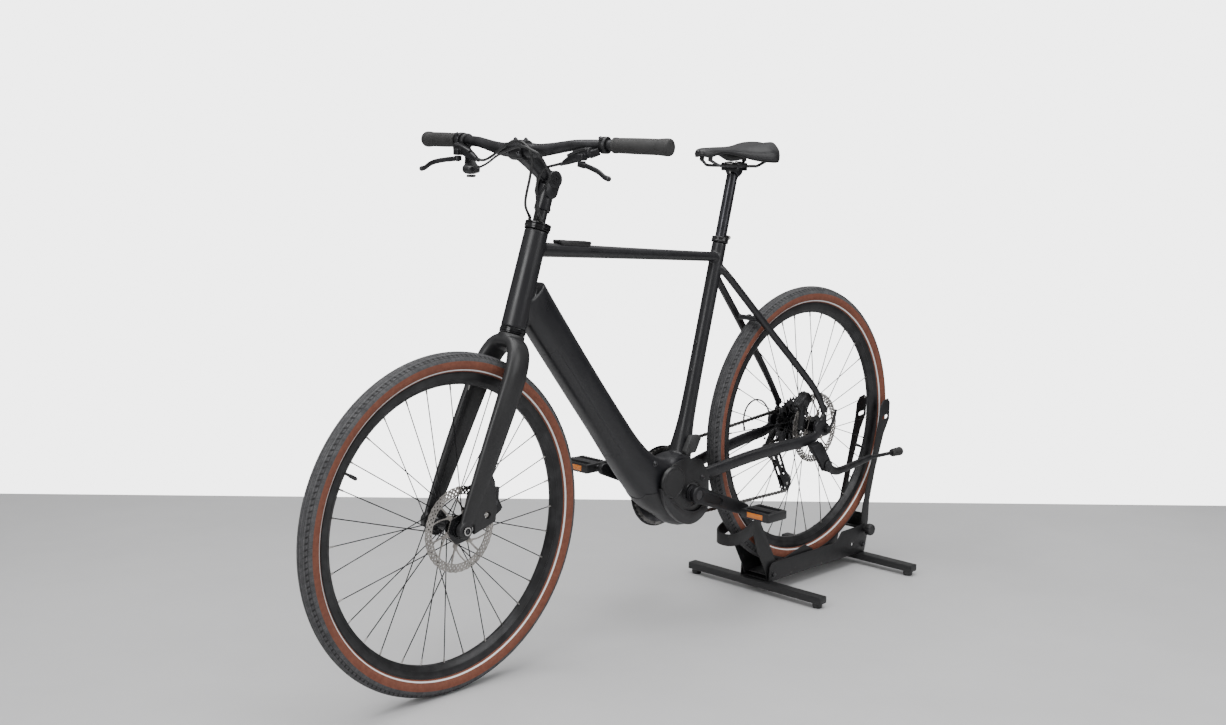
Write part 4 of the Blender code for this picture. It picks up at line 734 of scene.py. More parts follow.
CAMERA_PLACE = Vector((-2.5497, -2.4028, 1.2076))
CAMERA_YAW = math.radians(-45.4906)
CAMERA_PITCH = math.radians(-9.373)
CAMERA_ROLL = math.radians(0.5697)
CAMERA_LENS = 45.65
FLOOR_NEAR, FLOOR_FAR, FLOOR_HALF_WIDTH = -6.0, 2.30, 9.0
FLOOR_MIDDLE_AHEAD = 2.40
BACKDROP_STRENGTH = 5.5
DOME_AT_FLOOR, DOME_OVERHEAD = 0.10, 0.85
DOME_BANDS = 3.0


def camera():
    """A normal lens at eye height, off the bike's left front."""
    yaw, pitch, roll = CAMERA_YAW, CAMERA_PITCH, CAMERA_ROLL
    ahead = Vector((-math.sin(yaw) * math.cos(pitch), math.cos(yaw) * math.cos(pitch), math.sin(pitch)))
    right = Vector((math.cos(yaw), math.sin(yaw), 0))
    up = right.cross(ahead)
    tilted_right = right * math.cos(roll) + up * math.sin(roll)
    tilted_up = up * math.cos(roll) - right * math.sin(roll)
    turn = Matrix((tilted_right, tilted_up, -ahead)).transposed().to_4x4()
    data = bpy.data.cameras.new("camera")
    data.sensor_width = 36.0
    data.lens = CAMERA_LENS
    item = linked(data, "camera")
    item.matrix_world = Matrix.Translation(CAMERA_PLACE) @ turn
    bpy.context.scene.camera = item


def area_light(name, place, target, size, power, colour=(1, 1, 1)):
    data = bpy.data.lights.new(name, "AREA")
    data.shape = "RECTANGLE"
    data.size, data.size_y = size
    data.energy = power
    data.color = colour
    item = linked(data, name)
    aim = Vector(target) - Vector(place)
    item.matrix_world = Matrix.Translation(place) @ aim.to_track_quat("-Z", "Y").to_matrix().to_4x4()


def floor():
    """A pale studio floor, turned with the camera, whose far edge stands for the foot of a white wall."""
    near, far, half = FLOOR_NEAR, FLOOR_FAR, FLOOR_HALF_WIDTH
    ahead = Vector((-math.sin(CAMERA_YAW), math.cos(CAMERA_YAW), 0))
    right = Vector((ahead.y, -ahead.x, 0))
    middle = Vector((CAMERA_PLACE.x, CAMERA_PLACE.y, 0)) + ahead * FLOOR_MIDDLE_AHEAD
    corners = [middle + ahead * a + right * b
               for a, b in ((near, -half), (near, half), (far, half), (far, -half))]
    item = linked(mesh_data(corners, [(0, 1, 2, 3)]), "floor")
    made = Finish("floor_grey", (0.56, 0.56, 0.565), 0.55)
    made.vary(1.3, (0.49, 0.49, 0.495), (0.35, 0.70), rough=(0.45, 0.62), detail=6.0)
    made.raise_by(made.noise(40.0, 5.0), 0.0002)
    item.data.materials.append(made.bump())


def world():
    """A white backdrop to look at, and a dimmer banded dome, brightest overhead, to light by."""
    made = bpy.data.worlds.new("studio")
    made.use_nodes = True
    nodes, links = made.node_tree.nodes, made.node_tree.links

    def node(kind, operation=None, **values):
        item = nodes.new(kind)
        if operation:
            item.operation = operation
        for key, value in values.items():
            item.inputs[key.replace("_", " ")].default_value = value
        return item
    dome = nodes["Background"]
    dome.inputs["Color"].default_value = (1, 1, 1, 1)
    backdrop = node("ShaderNodeBackground", Strength=BACKDROP_STRENGTH)
    place = node("ShaderNodeTexCoord")
    split = node("ShaderNodeSeparateXYZ")
    ramp = node("ShaderNodeMapRange", From_Min=-0.1, From_Max=0.9, To_Min=DOME_AT_FLOOR,
                To_Max=DOME_OVERHEAD)
    turn = node("ShaderNodeMath", "ARCTAN2")
    wave = node("ShaderNodeMath", "MULTIPLY_ADD")
    wave.inputs[1].default_value, wave.inputs[2].default_value = DOME_BANDS, 0.9
    sine = node("ShaderNodeMath", "SINE")
    share = node("ShaderNodeMapRange", From_Min=-0.6, From_Max=0.8, To_Min=0.35, To_Max=1.25)
    banded = node("ShaderNodeMath", "MULTIPLY")
    rays = node("ShaderNodeLightPath")
    mix = node("ShaderNodeMixShader")
    for start, end in ((place.outputs["Generated"], split.inputs[0]),
                       (split.outputs[2], ramp.inputs["Value"]), (split.outputs[1], turn.inputs[0]),
                       (split.outputs[0], turn.inputs[1]), (turn.outputs[0], wave.inputs[0]),
                       (wave.outputs[0], sine.inputs[0]), (sine.outputs[0], share.inputs["Value"]),
                       (ramp.outputs["Result"], banded.inputs[0]),
                       (share.outputs["Result"], banded.inputs[1]),
                       (banded.outputs[0], dome.inputs["Strength"]),
                       (rays.outputs["Is Camera Ray"], mix.inputs[0]), (dome.outputs[0], mix.inputs[1]),
                       (backdrop.outputs[0], mix.inputs[2]),
                       (mix.outputs[0], nodes["World Output"].inputs["Surface"])):
        links.new(start, end)
    bpy.context.scene.world = made


def stage():
    camera()
    floor()
    world()
    area_light("top_softbox", (-0.3, -0.2, 3.2), (0, 0, 0.4), (3.4, 2.6), 120)
    area_light("front_softbox", (-3.0, -0.4, 2.0), (0, 0, 0.6), (1.4, 2.0), 55)
    area_light("side_softbox", (0.9, -3.0, 2.0), (0, 0, 0.6), (2.0, 1.6), 40)


# ---- wheels ----

def tyre_profile():
    """The tyre's section: five grooves in the tread, then smooth walls down to the bead."""
    centre = WHEEL_RADIUS - TYRE_SECTION
    grooves = (-44.0, -20.0, 0.0, 20.0, 44.0)
    points = []
    for k in range(141):
        lean = -142 + 2 * 142 * k / 140
        depth = max((0.0011 * max(0.0, 1 - (abs(lean - g) / 2.6) ** 2) for g in grooves), default=0)
        edge = 0.0005 if abs(lean) > 83 else 0.0
        radius = TYRE_SECTION - depth - edge
        points.append((centre + radius * math.cos(math.radians(lean)),
                       radius * math.sin(math.radians(lean))))
    return points + [(RIM_FLANGE_RADIUS - 0.0028, 0.0100), (RIM_FLANGE_RADIUS - 0.0028, -0.0100)]


def tyre(centre):
    return turned(tyre_profile(), centre, ACROSS, 180)


def rim(centre):
    """A deep rim with a machined line on each side, its inner wall and rounded edges."""
    half = [(0.2912, 0.0042), (0.2918, 0.0053), (0.2930, 0.0060), (0.2998, 0.0109), (0.3012, 0.0116),
            (0.3018, 0.0113), (0.3026, 0.0118), (0.3150, 0.0129), (0.3162, 0.0129), (0.3166, 0.0122),
            (0.3162, 0.0113), (0.3133, 0.0104)]
    profile = [(r, y) for r, y in half] + [(r, -y) for r, y in reversed(half)]
    return turned(profile, centre, ACROSS, 144)


def spoke_ends(centre, left_flange, right_flange, first_deg):
    """Where every spoke meets its flange and its rim, crossed three times."""
    ends = []
    for i in range(32):
        on_left, leading = i % 2 == 0, (i // 2) % 2 == 0
        at_rim = math.radians(first_deg + 360 / 32 * i)
        at_hub = at_rim + math.radians(-67.5 if leading else 67.5)
        flange = left_flange if on_left else right_flange
        outside = (1 if leading else -1) * 0.0024
        start = centre + Vector((math.cos(at_hub) * 0.0225, flange + outside, math.sin(at_hub) * 0.0225))
        end = centre + Vector((math.cos(at_rim) * 0.2915, 0.0025 * (-1 if on_left else 1),
                               math.sin(at_rim) * 0.2915))
        ends.append((start, end, flange))
    return ends


def spokes(ends):
    bars = []
    for start, end, flange in ends:
        inward = Vector((start.x, 2 * flange - start.y, start.z))
        bars.append(rod(start, end - (end - start).normalized() * 0.006, 0.00115, 8, 0.0002))
        bars.append(rod(start, inward, 0.0011, 8, 0.0002))
        bars.append(turned([(0, -0.0012), (0.0018, -0.0010), (0.0021, 0), (0.0018, 0.0010), (0, 0.0012)],
                           inward, ACROSS, 10))
    return merge(bars)


def nipples(ends):
    bars = []
    for start, end, _ in ends:
        back = (start - end).normalized()
        profile = [(0, -0.001), (0.0020, -0.001), (0.0020, 0.0095), (0.0014, 0.0120), (0, 0.0125)]
        bars.append(turned(profile, end, back, 6))
    return merge(bars)


def hub_flange(centre, middle, radius, count, first_deg):
    """A spoke flange: a rounded disc with a hole for each spoke and windows between them."""
    place = (centre.x, centre.z)
    outline = circle(place, radius, 72)
    holes = [circle(place, 0.0145, 40)]
    for i in range(count):
        turn = math.radians(first_deg + 360 / count * (i + 0.5))
        spot = (place[0] + 0.0222 * math.cos(turn), place[1] + 0.0222 * math.sin(turn))
        holes.append(circle(spot, 0.0012, 8))
    return pierced(outline, holes, middle - 0.0016, middle + 0.0016, "XZ", 0.0005)


def hub_shell(centre, profile, left_flange, right_flange, first_deg):
    parts = [turned(profile, centre, ACROSS, 56), hub_flange(centre, left_flange, 0.0268, 16, first_deg),
             hub_flange(centre, right_flange, 0.0268, 16, first_deg)]
    return merge(parts)


FRONT_HUB = [(0.0066, -0.0498), (0.0105, -0.0498), (0.0110, -0.0490), (0.0112, -0.0460), (0.0148, -0.0455),
             (0.0155, -0.0440), (0.0155, -0.0398), (0.0150, -0.0335), (0.0165, -0.0320), (0.0165, -0.0285),
             (0.0135, -0.0250), (0.0118, -0.0180), (0.0114, 0.0), (0.0118, 0.0180), (0.0135, 0.0260),
             (0.0165, 0.0292), (0.0165, 0.0330), (0.0150, 0.0345), (0.0135, 0.0410), (0.0112, 0.0425),
             (0.0112, 0.0470), (0.0105, 0.0498), (0.0066, 0.0498)]
REAR_HUB = [(0.0066, -0.0670), (0.0112, -0.0670), (0.0120, -0.0662), (0.0122, -0.0560), (0.0130, -0.0550),
            (0.0130, -0.0462), (0.0155, -0.0455), (0.0155, -0.0398), (0.0165, -0.0330), (0.0175, -0.0290),
            (0.0170, -0.0250), (0.0155, -0.0200), (0.0152, 0.0080), (0.0175, 0.0140), (0.0190, 0.0170),
            (0.0190, 0.0215), (0.0165, 0.0228), (0.0122, 0.0240), (0.0118, 0.0262), (0.0118, 0.0664),
            (0.0112, 0.0670), (0.0066, 0.0670)]


ROTOR_LUGS = 6
ROTOR_FIRST_LUG = math.radians(130.0)
ROTOR_HOLE_COLUMNS = 52
ROTOR_LUG_RADIUS = 0.0345
ROTOR_RING_RADIUS = 0.0718


def rotor_arm_angle(lug, way, radius):
    """Where an arm's middle line runs: a pair leaves every lug and spreads evenly over the ring."""
    share = max(radius - ROTOR_LUG_RADIUS, 0) / (ROTOR_RING_RADIUS - ROTOR_LUG_RADIUS)
    return (ROTOR_FIRST_LUG + 2 * math.pi * lug / ROTOR_LUGS) + (0.04 + 0.52 * way) * share ** 0.8


def rotor_window(centre, low, high, inner):
    """The gap between two arms, each given as (lug, place in its pair), out to the braking ring."""
    half = 0.0018
    radii = [inner + (ROTOR_RING_RADIUS - inner) * k / 10 for k in range(11)]
    points = [(r, rotor_arm_angle(*low, r) + half / r) for r in radii]
    start = points[-1][1]
    end = rotor_arm_angle(*high, ROTOR_RING_RADIUS) - half / ROTOR_RING_RADIUS
    points += [(ROTOR_RING_RADIUS, start + (end - start) * k / 8) for k in range(1, 8)]
    points += [(r, rotor_arm_angle(*high, r) - half / r) for r in reversed(radii)]
    return [(centre.x + r * math.cos(a), centre.z + r * math.sin(a)) for r, a in points]


def rotor_lug(centre, lug):
    turn = rotor_arm_angle(lug, 0, ROTOR_LUG_RADIUS)
    return centre + Vector((math.cos(turn) * ROTOR_LUG_RADIUS, ROTOR_Y, math.sin(turn) * ROTOR_LUG_RADIUS))


def rotor(centre):
    """A brake disc: wavy outer edge, a ring drilled in three rows, paired arms and a rivet at each lug."""
    place = (centre.x, centre.z)
    outline = []
    for k in range(288):
        turn = 2 * math.pi * k / 288
        radius = 0.0893 + 0.0006 * math.sin(turn * 36)
        outline.append((place[0] + radius * math.cos(turn), place[1] + radius * math.sin(turn)))
    holes = [circle(place, 0.0270, 48)]
    for lug in range(ROTOR_LUGS):
        holes.append(rotor_window(centre, (lug, 0), (lug, 1), 0.0455))
        holes.append(rotor_window(centre, (lug, 1), (lug + 1, 0), 0.0330))
    for i in range(ROTOR_HOLE_COLUMNS):
        for radius, stagger, size in ((0.0861, 0.0, 0.0017), (0.0809, 0.5, 0.0021), (0.0757, 0.0, 0.0021)):
            turn = 2 * math.pi * (i + stagger) / ROTOR_HOLE_COLUMNS
            spot = (place[0] + radius * math.cos(turn), place[1] + radius * math.sin(turn))
            holes.append(circle(spot, size, 12))
    parts = [pierced(outline, holes, ROTOR_Y - 0.0009, ROTOR_Y + 0.0009, "XZ", 0.0001)]
    for lug in range(ROTOR_LUGS):
        spot = rotor_lug(centre, lug)
        parts.append(rod(spot - ACROSS * 0.0013, spot + ACROSS * 0.0013, 0.0062, 24, 0.0004))
        parts.append(rod(spot - ACROSS * 0.0026, spot + ACROSS * 0.0026, 0.0036, 16, 0.0006))
    return merge(parts)


def rotor_carrier(centre):
    """The black carrier that the disc is riveted to, and the lock ring on the hub."""
    place = (centre.x, centre.z)
    outline = []
    for k in range(144):
        turn = 2 * math.pi * k / 144
        lobe = max(0.0, math.cos(ROTOR_LUGS * (turn - ROTOR_FIRST_LUG)))
        radius = 0.0292 + 0.0036 * lobe ** 2
        outline.append((place[0] + radius * math.cos(turn), place[1] + radius * math.sin(turn)))
    parts = [pierced(outline, [circle(place, 0.0118, 32)], ROTOR_Y - 0.0019, ROTOR_Y + 0.0019, "XZ",
                     0.0006)]
    ring = []
    for j in range(96):
        turn = 2 * math.pi * j / 96
        radius = 0.0192 if (j // 2) % 2 else 0.0178
        ring.append((place[0] + radius * math.cos(turn), place[1] + radius * math.sin(turn)))
    parts.append(pierced(ring, [circle(place, 0.0118, 32)], ROTOR_Y - 0.0036, ROTOR_Y - 0.0010, "XZ",
                         0.0003))
    return merge(parts)


def valve(centre, angle):
    """A presta valve with its cap, standing inwards from the rim."""
    out = Vector((math.cos(angle), 0, math.sin(angle)))
    base = centre + out * 0.2918
    return turned([(0, -0.001), (0.0042, -0.001), (0.0042, 0.0022), (0.0030, 0.0030), (0.0030, 0.0140),
                   (0.0040, 0.0150), (0.0042, 0.0300), (0.0034, 0.0330), (0.0018, 0.0345),
                   (0, 0.0350)], base, -out, 16)


def build_wheels():
    for word, centre, profile, left, right, first_deg, valve_deg in (
            ("front", FRONT_AXLE, FRONT_HUB, -0.0300, 0.0310, -2.1, 149.0),
            ("rear", REAR_AXLE, REAR_HUB, -0.0305, 0.0190, -3.7, 340.0)):
        body = word + "_wheel"
        ends = spoke_ends(centre, left, right, first_deg)
        show(word + "_tyre_shown", tyre(centre), body, word + "_tyre", word + "_tyre", crease=60)
        show(word + "_rim_shown", rim(centre), body, "rim_black", word + "_rim")
        show(word + "_hub_shell", hub_shell(centre, profile, left, right, first_deg), body, "gloss_black",
             word + "_hub")
        show(word + "_spokes", spokes(ends), body, "spoke_steel")
        show(word + "_nipples", nipples(ends), body, "nipple_metal")
        show(word + "_rotor_disc", rotor(centre), body, word + "_rotor_steel", word + "_rotor")
        show(word + "_rotor_carrier", rotor_carrier(centre), body, "gloss_black")
        show(word + "_valve", valve(centre, math.radians(valve_deg)), body, "black_plastic")


# ---- frame and fork ----

# down tube and motor shell, from the head tube back: x, z, half depth, half width
DOWN_TUBE = [(0.2240, 0.8130, 0.0460, 0.0270), (0.2650, 0.7570, 0.0440, 0.0310),
             (0.3600, 0.6330, 0.0415, 0.0340), (0.4550, 0.5120, 0.0415, 0.0345),
             (0.5180, 0.4330, 0.0435, 0.0370), (0.5700, 0.3790, 0.0490, 0.0420),
             (0.6170, 0.3450, 0.0620, 0.0470), (0.6650, 0.3310, 0.0790, 0.0500),
             (0.7150, 0.3190, 0.0900, 0.0500), (0.7480, 0.3300, 0.0640, 0.0460)]
BATTERY_START = Vector((0.3050, 0.0, 0.7050))
BATTERY_END = Vector((0.4950, 0.0, 0.4620))
COVER_DEPTH = 0.0230
MOTOR_BAY = [(0.602, 0.361), (0.613, 0.331), (0.641, 0.297), (0.691, 0.2785), (0.7345, 0.2905),
             (0.7460, 0.312), (0.7440, 0.350), (0.719, 0.379), (0.652, 0.389)]
SEAT_COLLAR_Z = 0.8900
STAY_END_Y = 0.0735


def seat_point(z):
    return SEAT_BASE + SEAT_DIRECTION * ((z - SEAT_BASE.z) / SEAT_DIRECTION.z)


def down_tube(grow=0.0):
    rows = [(x, 0, z) for x, z, _, _ in DOWN_TUBE]
    return sweep(rows, [row[2] + grow for row in DOWN_TUBE], [row[3] + grow for row in DOWN_TUBE],
                 (0.78, 0, 0.63), 40, 2.7, 5)


def battery_block(grow, low, high, half_width, soft=0.0):
    along = (BATTERY_END - BATTERY_START).normalized()
    out = ACROSS.cross(along)
    start = BATTERY_START - along * grow + out * (low + high) / 2
    end = BATTERY_END + along * grow + out * (low + high) / 2
    return beam(start, end, (high - low) / 2, half_width, out, soft)


def stay(points, depth, width, side):
    return sweep([(x, y * side, z) for x, y, z in points], depth, width, UP, 24, 2.3, 4)


def rear_triangle(side):
    chain_stay = stay([(0.735, 0.030, 0.344), (0.800, 0.0375, 0.353), (0.900, 0.0480, 0.367),
                       (1.000, 0.0600, 0.377), (1.070, 0.0690, 0.381), (1.120, STAY_END_Y, 0.385),
                       (1.151, STAY_END_Y, 0.399), (1.170, STAY_END_Y, 0.432), (1.171, STAY_END_Y, 0.462)],
                      [0.0160, 0.0160, 0.0160, 0.0155, 0.0150, 0.0145, 0.0135, 0.0125, 0.0110],
                      [0.0065, 0.0065, 0.0075, 0.0080, 0.0075, 0.0060, 0.0060, 0.0060, 0.0058], side)
    seat_stay = stay([(0.8230, 0.006, 0.8400), (0.8500, 0.0200, 0.8105), (0.9650, 0.0395, 0.6900),
                      (1.0750, 0.0600, 0.5750), (1.1350, 0.0715, 0.5080), (1.1700, 0.0730, 0.4560)],
                     [0.0088, 0.0090, 0.0092, 0.0092, 0.0092, 0.0098],
                     [0.0080, 0.0085, 0.0088, 0.0085, 0.0070, 0.0056], side)
    low, high = sorted((side * 0.0678, side * 0.0792))
    tab = plate(capsule((REAR_AXLE.x, REAR_AXLE.z), 0.0170, (1.150, 0.412), 0.0170), low, high)
    return [chain_stay, seat_stay, tab]


def frame_skin():
    """The welded frame as one skin, with rounded junctions, then bored and cut for what it holds."""
    seat_heights = [0.330, 0.400, 0.440, 0.480, 0.540, 0.640, 0.760, SEAT_COLLAR_Z]
    seat_sizes = [0.0330, 0.0270, 0.0230, 0.0195, 0.0180, 0.0172, 0.0172, 0.0172]
    parts = [down_tube(),
             turned([(0, 0), (0.0272, 0), (0.0256, (HEAD_TOP - HEAD_BOTTOM).length),
                     (0, (HEAD_TOP - HEAD_BOTTOM).length)],
                    HEAD_BOTTOM, STEER, 48),
             sweep([(0.2360, 0, 0.9100), (0.300, 0, 0.9040), (0.565, 0, 0.8805), (0.800, 0, 0.8600),
                    (0.824, 0, 0.8575)],
                   [0.0162, 0.0152, 0.0127, 0.0114, 0.0112], [0.0202, 0.0187, 0.0167, 0.0152, 0.0142], UP,
                   32, 2.4, 6),
             sweep([seat_point(z) for z in seat_heights], seat_sizes,
                   [s + (0.001 if s > 0.026 else 0) for s in seat_sizes],
                   (1, 0, 0), 36, 2.0, 4),
             rod((0.9560, -0.038, 0.7000), (0.9560, 0.038, 0.7000), 0.0068, 24)]
    for side in (-1, 1):
        parts += rear_triangle(side)
    skin = fused(parts, 0.0022, 7)
    bore = HEAD_BOTTOM - STEER * 0.01
    seat_top = seat_point(SEAT_COLLAR_Z)
    ring = CRANK_AXIS + ACROSS * 0.0420
    cutters = [turned([(0, 0), (0.0185, 0), (0.0185, 0.240), (0, 0.240)], bore, STEER, 32),
               turned([(0, -0.300), (0.01405, -0.300), (0.01405, 0.01), (0, 0.01)], seat_top,
                      SEAT_DIRECTION, 32),
               turned([(0, -0.10), (0.0066, -0.10), (0.0066, 0.10), (0, 0.10)], REAR_AXLE, ACROSS, 24)]
    cut(skin, merge(cutters))
    cut(skin, turned([(0, 0), (0.1080, 0), (0.1080, 0.05), (0, 0.05)], ring, ACROSS, 96))
    cut(skin, plate(MOTOR_BAY, -0.07, 0.07))
    cut(skin, battery_block(0.0, -0.031, 0.080, 0.0265))
    return cut(skin, battery_block(0.0060, COVER_DEPTH, 0.080, 0.060))


def battery_lid():
    """The lid over the battery bay: the down tube's lower side, cut with a fine seam."""
    lid = fused([down_tube()], 0.0022, 7)
    boolean(lid, battery_block(0.0056, COVER_DEPTH + 0.0004, 0.078, 0.058), "INTERSECT")
    return lid


def belly_guard():
    """The plastic guard under the motor, a thin skin whose upper lip follows the motor's curve."""
    outer = down_tube(0.0011)
    lip = [(0.560, 0.330), (0.585, 0.331), (0.604, 0.334), (0.618, 0.322), (0.634, 0.296), (0.662, 0.275),
           (0.692, 0.268), (0.722, 0.272), (0.745, 0.284), (0.762, 0.300), (0.80, 0.300), (0.80, 0.19),
           (0.560, 0.19)]
    boolean(outer, plate(lip, -0.08, 0.08), "INTERSECT")
    inner = down_tube(-0.0006)
    cut(outer, inner)
    ring = CRANK_AXIS + ACROSS * 0.0420
    return cut(outer, turned([(0, 0), (0.1080, 0), (0.1080, 0.05), (0, 0.05)], ring, ACROSS, 64))


def frame_fittings():
    """Bottle bosses, cable port, frame lock bolts and the stay bridge's plug."""
    parts = []
    for z in (0.655, 0.592):
        middle = seat_point(z)
        parts.append(bolt(middle - Vector((0.0160, 0, -0.0042)), (-0.967, 0, 0.2535), 0.0045, 0.0028,
                          0.0024))
    for x, z in ((0.389, 0.598), (0.352, 0.646)):
        parts.append(bolt((x + 0.0335, 0, z + 0.0262), (0.78, 0, 0.63), 0.0045, 0.0022, 0.0024))
    parts.append(bolt((0.9560, 0, 0.7065), UP, 0.0055, 0.0024, 0.0026))
    return merge(parts)


def seat_collar():
    base = seat_point(SEAT_COLLAR_Z + 0.0004)
    collar = turned([(0.0144, 0), (0.0196, 0), (0.0203, 0.0010), (0.0205, 0.0030), (0.0199, 0.0040),
                     (0.0199, 0.0092), (0.0205, 0.0100), (0.0203, 0.0118), (0.0196, 0.0130),
                     (0.0144, 0.0130)], base,
                     SEAT_DIRECTION, 64)
    ear = base + Vector((0.0222, 0, 0.0115))
    join(collar, beam(ear - ACROSS * 0.0098, ear + ACROSS * 0.0098, 0.0048, 0.0054, SEAT_DIRECTION, 0.0012))
    slot = base + Vector((0.022, 0, 0))
    return cut(collar, beam(slot - SEAT_DIRECTION * 0.02, slot + SEAT_DIRECTION * 0.04, 0.0120, 0.0008,
                            (1, 0, 0), 0))


def seat_collar_bolt():
    ear = seat_point(SEAT_COLLAR_Z + 0.0004) + Vector((0.0222, 0, 0.0115))
    return bolt(ear - ACROSS * 0.0098, -ACROSS, 0.0042, 0.0030, 0.0024)


def charge_flap():
    """The soft flap over the charging socket, with its rim and finger tab."""
    outline = [(0.6760, 0.4090), (0.7100, 0.4100), (0.7285, 0.4420), (0.7240, 0.4500), (0.6960, 0.4520),
               (0.6730, 0.4170)]
    flap = plate(outline, -0.0520, -0.0380, "XZ", 0.0022)
    tab = beam((0.6880, -0.0525, 0.4130), (0.6990, -0.0525, 0.4130), 0.0022, 0.0012, UP, 0.0006)
    return merge([flap, tab])


def top_controller():
    """The slim control unit on the top tube: a dark glass face in a soft body with two buttons."""
    outline = []
    for (cx, cy), start in (((0.394, 0.0075), 0), ((0.314, 0.0075), 90), ((0.314, -0.0075), 180),
                            ((0.394, -0.0075), 270)):
        for k in range(5):
            turn = math.radians(start + 22.5 * k)
            outline.append((cx + 0.0078 * math.cos(turn), cy + 0.0073 * math.sin(turn)))
    tilt = -0.0235 / 0.265
    rings = []
    for grow, height in ((-0.0030, -0.0075), (-0.0012, -0.0010), (0.0, 0.0006), (0.0, 0.0040),
                         (-0.0008, 0.0058), (-0.0022, 0.0065)):
        ring = []
        for x, y in outline:
            middle_x = 0.354
            x = middle_x + (x - middle_x) * (1 + grow / 0.048)
            y = y * (1 + grow / 0.0148)
            ring.append(Vector((x, y, 0.9199 + (x - 0.300) * tilt + height)))
        rings.append(ring)
    return skin_rings(rings)


def controller_face():
    tilt = -0.0235 / 0.265
    parts = []
    for x, radius in ((0.326, 0.0078), (0.350, 0.0030), (0.362, 0.0030), (0.374, 0.0030), (0.388, 0.0055)):
        place = Vector((x, 0, 0.9263 + (x - 0.300) * tilt))
        parts.append(turned([(0, 0), (radius, 0), (radius, 0.0003), (radius - 0.0004, 0.0007), (0, 0.0007)],
                            place,
                            (0.088, 0, 1), 32))
    return merge(parts)


FORK_SIDE = Vector((0.4318, 0.0, 0.9020))


def fork_skin():
    """Both blades and the crown as one moulded skin, with the steerer and dropouts."""
    crown = FRONT_AXLE + FORK_SIDE * 0.4060
    half = [(0.4060, 0.0580, 0.0140, 0.0065), (0.3700, 0.0578, 0.0175, 0.0080),
            (0.3100, 0.0575, 0.0215, 0.0100), (0.2200, 0.0560, 0.0250, 0.0115),
            (0.1200, 0.0535, 0.0275, 0.0135), (0.0650, 0.0495, 0.0280, 0.0150),
            (0.0300, 0.0400, 0.0275, 0.0160), (0.0100, 0.0240, 0.0270, 0.0155)]
    rows = [(s, -y, a, b) for s, y, a, b in half] + [(0.0060, 0, 0.0270, 0.0150)]
    rows += [(s, y, a, b) for s, y, a, b in reversed(half)]
    path = [crown - FORK_SIDE * s + ACROSS * y for s, y, _, _ in rows]
    fore = Vector((-FORK_SIDE.z, 0, FORK_SIDE.x))
    race = HEAD_BOTTOM - STEER * 0.0125
    parts = [sweep(path, [r[2] for r in rows], [r[3] for r in rows], fore, 28, 2.6, 5),
             turned([(0, -0.024), (0.0270, -0.024), (0.0284, -0.016), (0.0284, -0.0006), (0, -0.0006)],
                    race, STEER, 48)]
    for side in (-1, 1):
        low, high = sorted((side * 0.0506, side * 0.0655))
        parts.append(plate(circle((FRONT_AXLE.x, FRONT_AXLE.z), 0.0168, 32), low, high))
    mount = [(0.020, 0.346), (0.078, 0.3640), (0.0820, 0.3900), (0.0780, 0.4480), (0.0700, 0.4640),
             (0.030, 0.430)]
    parts.append(plate(mount, -0.0655, -0.0576))
    skin = fused(parts, 0.0016, 6)
    cut(skin, turned([(0, -0.02), (0.0085, -0.02), (0.0085, 0.02), (0, 0.02)], (0.0560, -0.0600, 0.3820),
                     ACROSS, 24))
    cut(skin, turned([(0, -0.08), (0.0066, -0.08), (0.0066, 0.08), (0, 0.08)], FRONT_AXLE, ACROSS, 24))
    return skin


def steerer():
    race = HEAD_BOTTOM - STEER * 0.0125
    return rod(race - STEER * 0.006, HEAD_TOP + STEER * 0.0180, 0.0143, 32)


def headset(place, direction, height):
    """Polished bearing cups: a stack of turned rings with bright edges."""
    steps = [0.0004, 0.0016, 0.0020, height * 0.30, height * 0.36, height * 0.42, height * 0.66,
             height * 0.72, height * 0.78, height - 0.0012, height]
    radii = [0.0274, 0.0278, 0.0270, 0.0270, 0.0281, 0.0281, 0.0281, 0.0268, 0.0280, 0.0280, 0.0271]
    profile = [(0.0188, 0.0004)] + list(zip(radii, steps)) + [(0.0188, height)]
    return turned(profile, place, direction, 64)


def build_frame():
    show("frame_skin", frame_skin(), "bicycle", "frame_paint", "frame", crease=48)
    show("battery_lid", battery_lid(), "bicycle", "frame_paint", "battery_cover", crease=48)
    show("belly_guard", belly_guard(), "bicycle", "black_plastic", crease=40)
    show("frame_fittings", frame_fittings(), "bicycle", "dark_steel")
    show("seat_collar", seat_collar(), "bicycle", "gloss_black", "seat_clamp")
    show("seat_collar_bolt", seat_collar_bolt(), "bicycle", "steel")
    show("charge_flap", charge_flap(), "bicycle", "black_rubber", "charge_port_cover")
    show("top_controller", top_controller(), "bicycle", "black_plastic", "display_controller")
    show("controller_face", controller_face(), "bicycle", "gloss_plastic")
    show("fork_skin", fork_skin(), "steering", "fork_paint", "fork", crease=48)
    show("steerer", steerer(), "steering", "black_alloy")
    show("headset_lower_rings", headset(HEAD_BOTTOM, -STEER, 0.0120), "bicycle", "gloss_black",
         "headset_lower")
    show("headset_upper_rings", headset(HEAD_TOP, STEER, 0.0160), "bicycle", "gloss_black", "headset_upper")


# ---- handlebar, grips, levers and hoses ----

# half of the bar: x, y, z and radius
BAR_HALF = [(0.2044, 0.0000, 1.1161, 0.0158), (0.2044, 0.0320, 1.1161, 0.0158),
            (0.2060, 0.0560, 1.1165, 0.0140), (0.2105, 0.0950, 1.1215, 0.0122),
            (0.2155, 0.1300, 1.1270, 0.0113), (0.2205, 0.1600, 1.1300, 0.0111),
            (0.2360, 0.2380, 1.1310, 0.0111), (0.2570, 0.3690, 1.1300, 0.0111)]


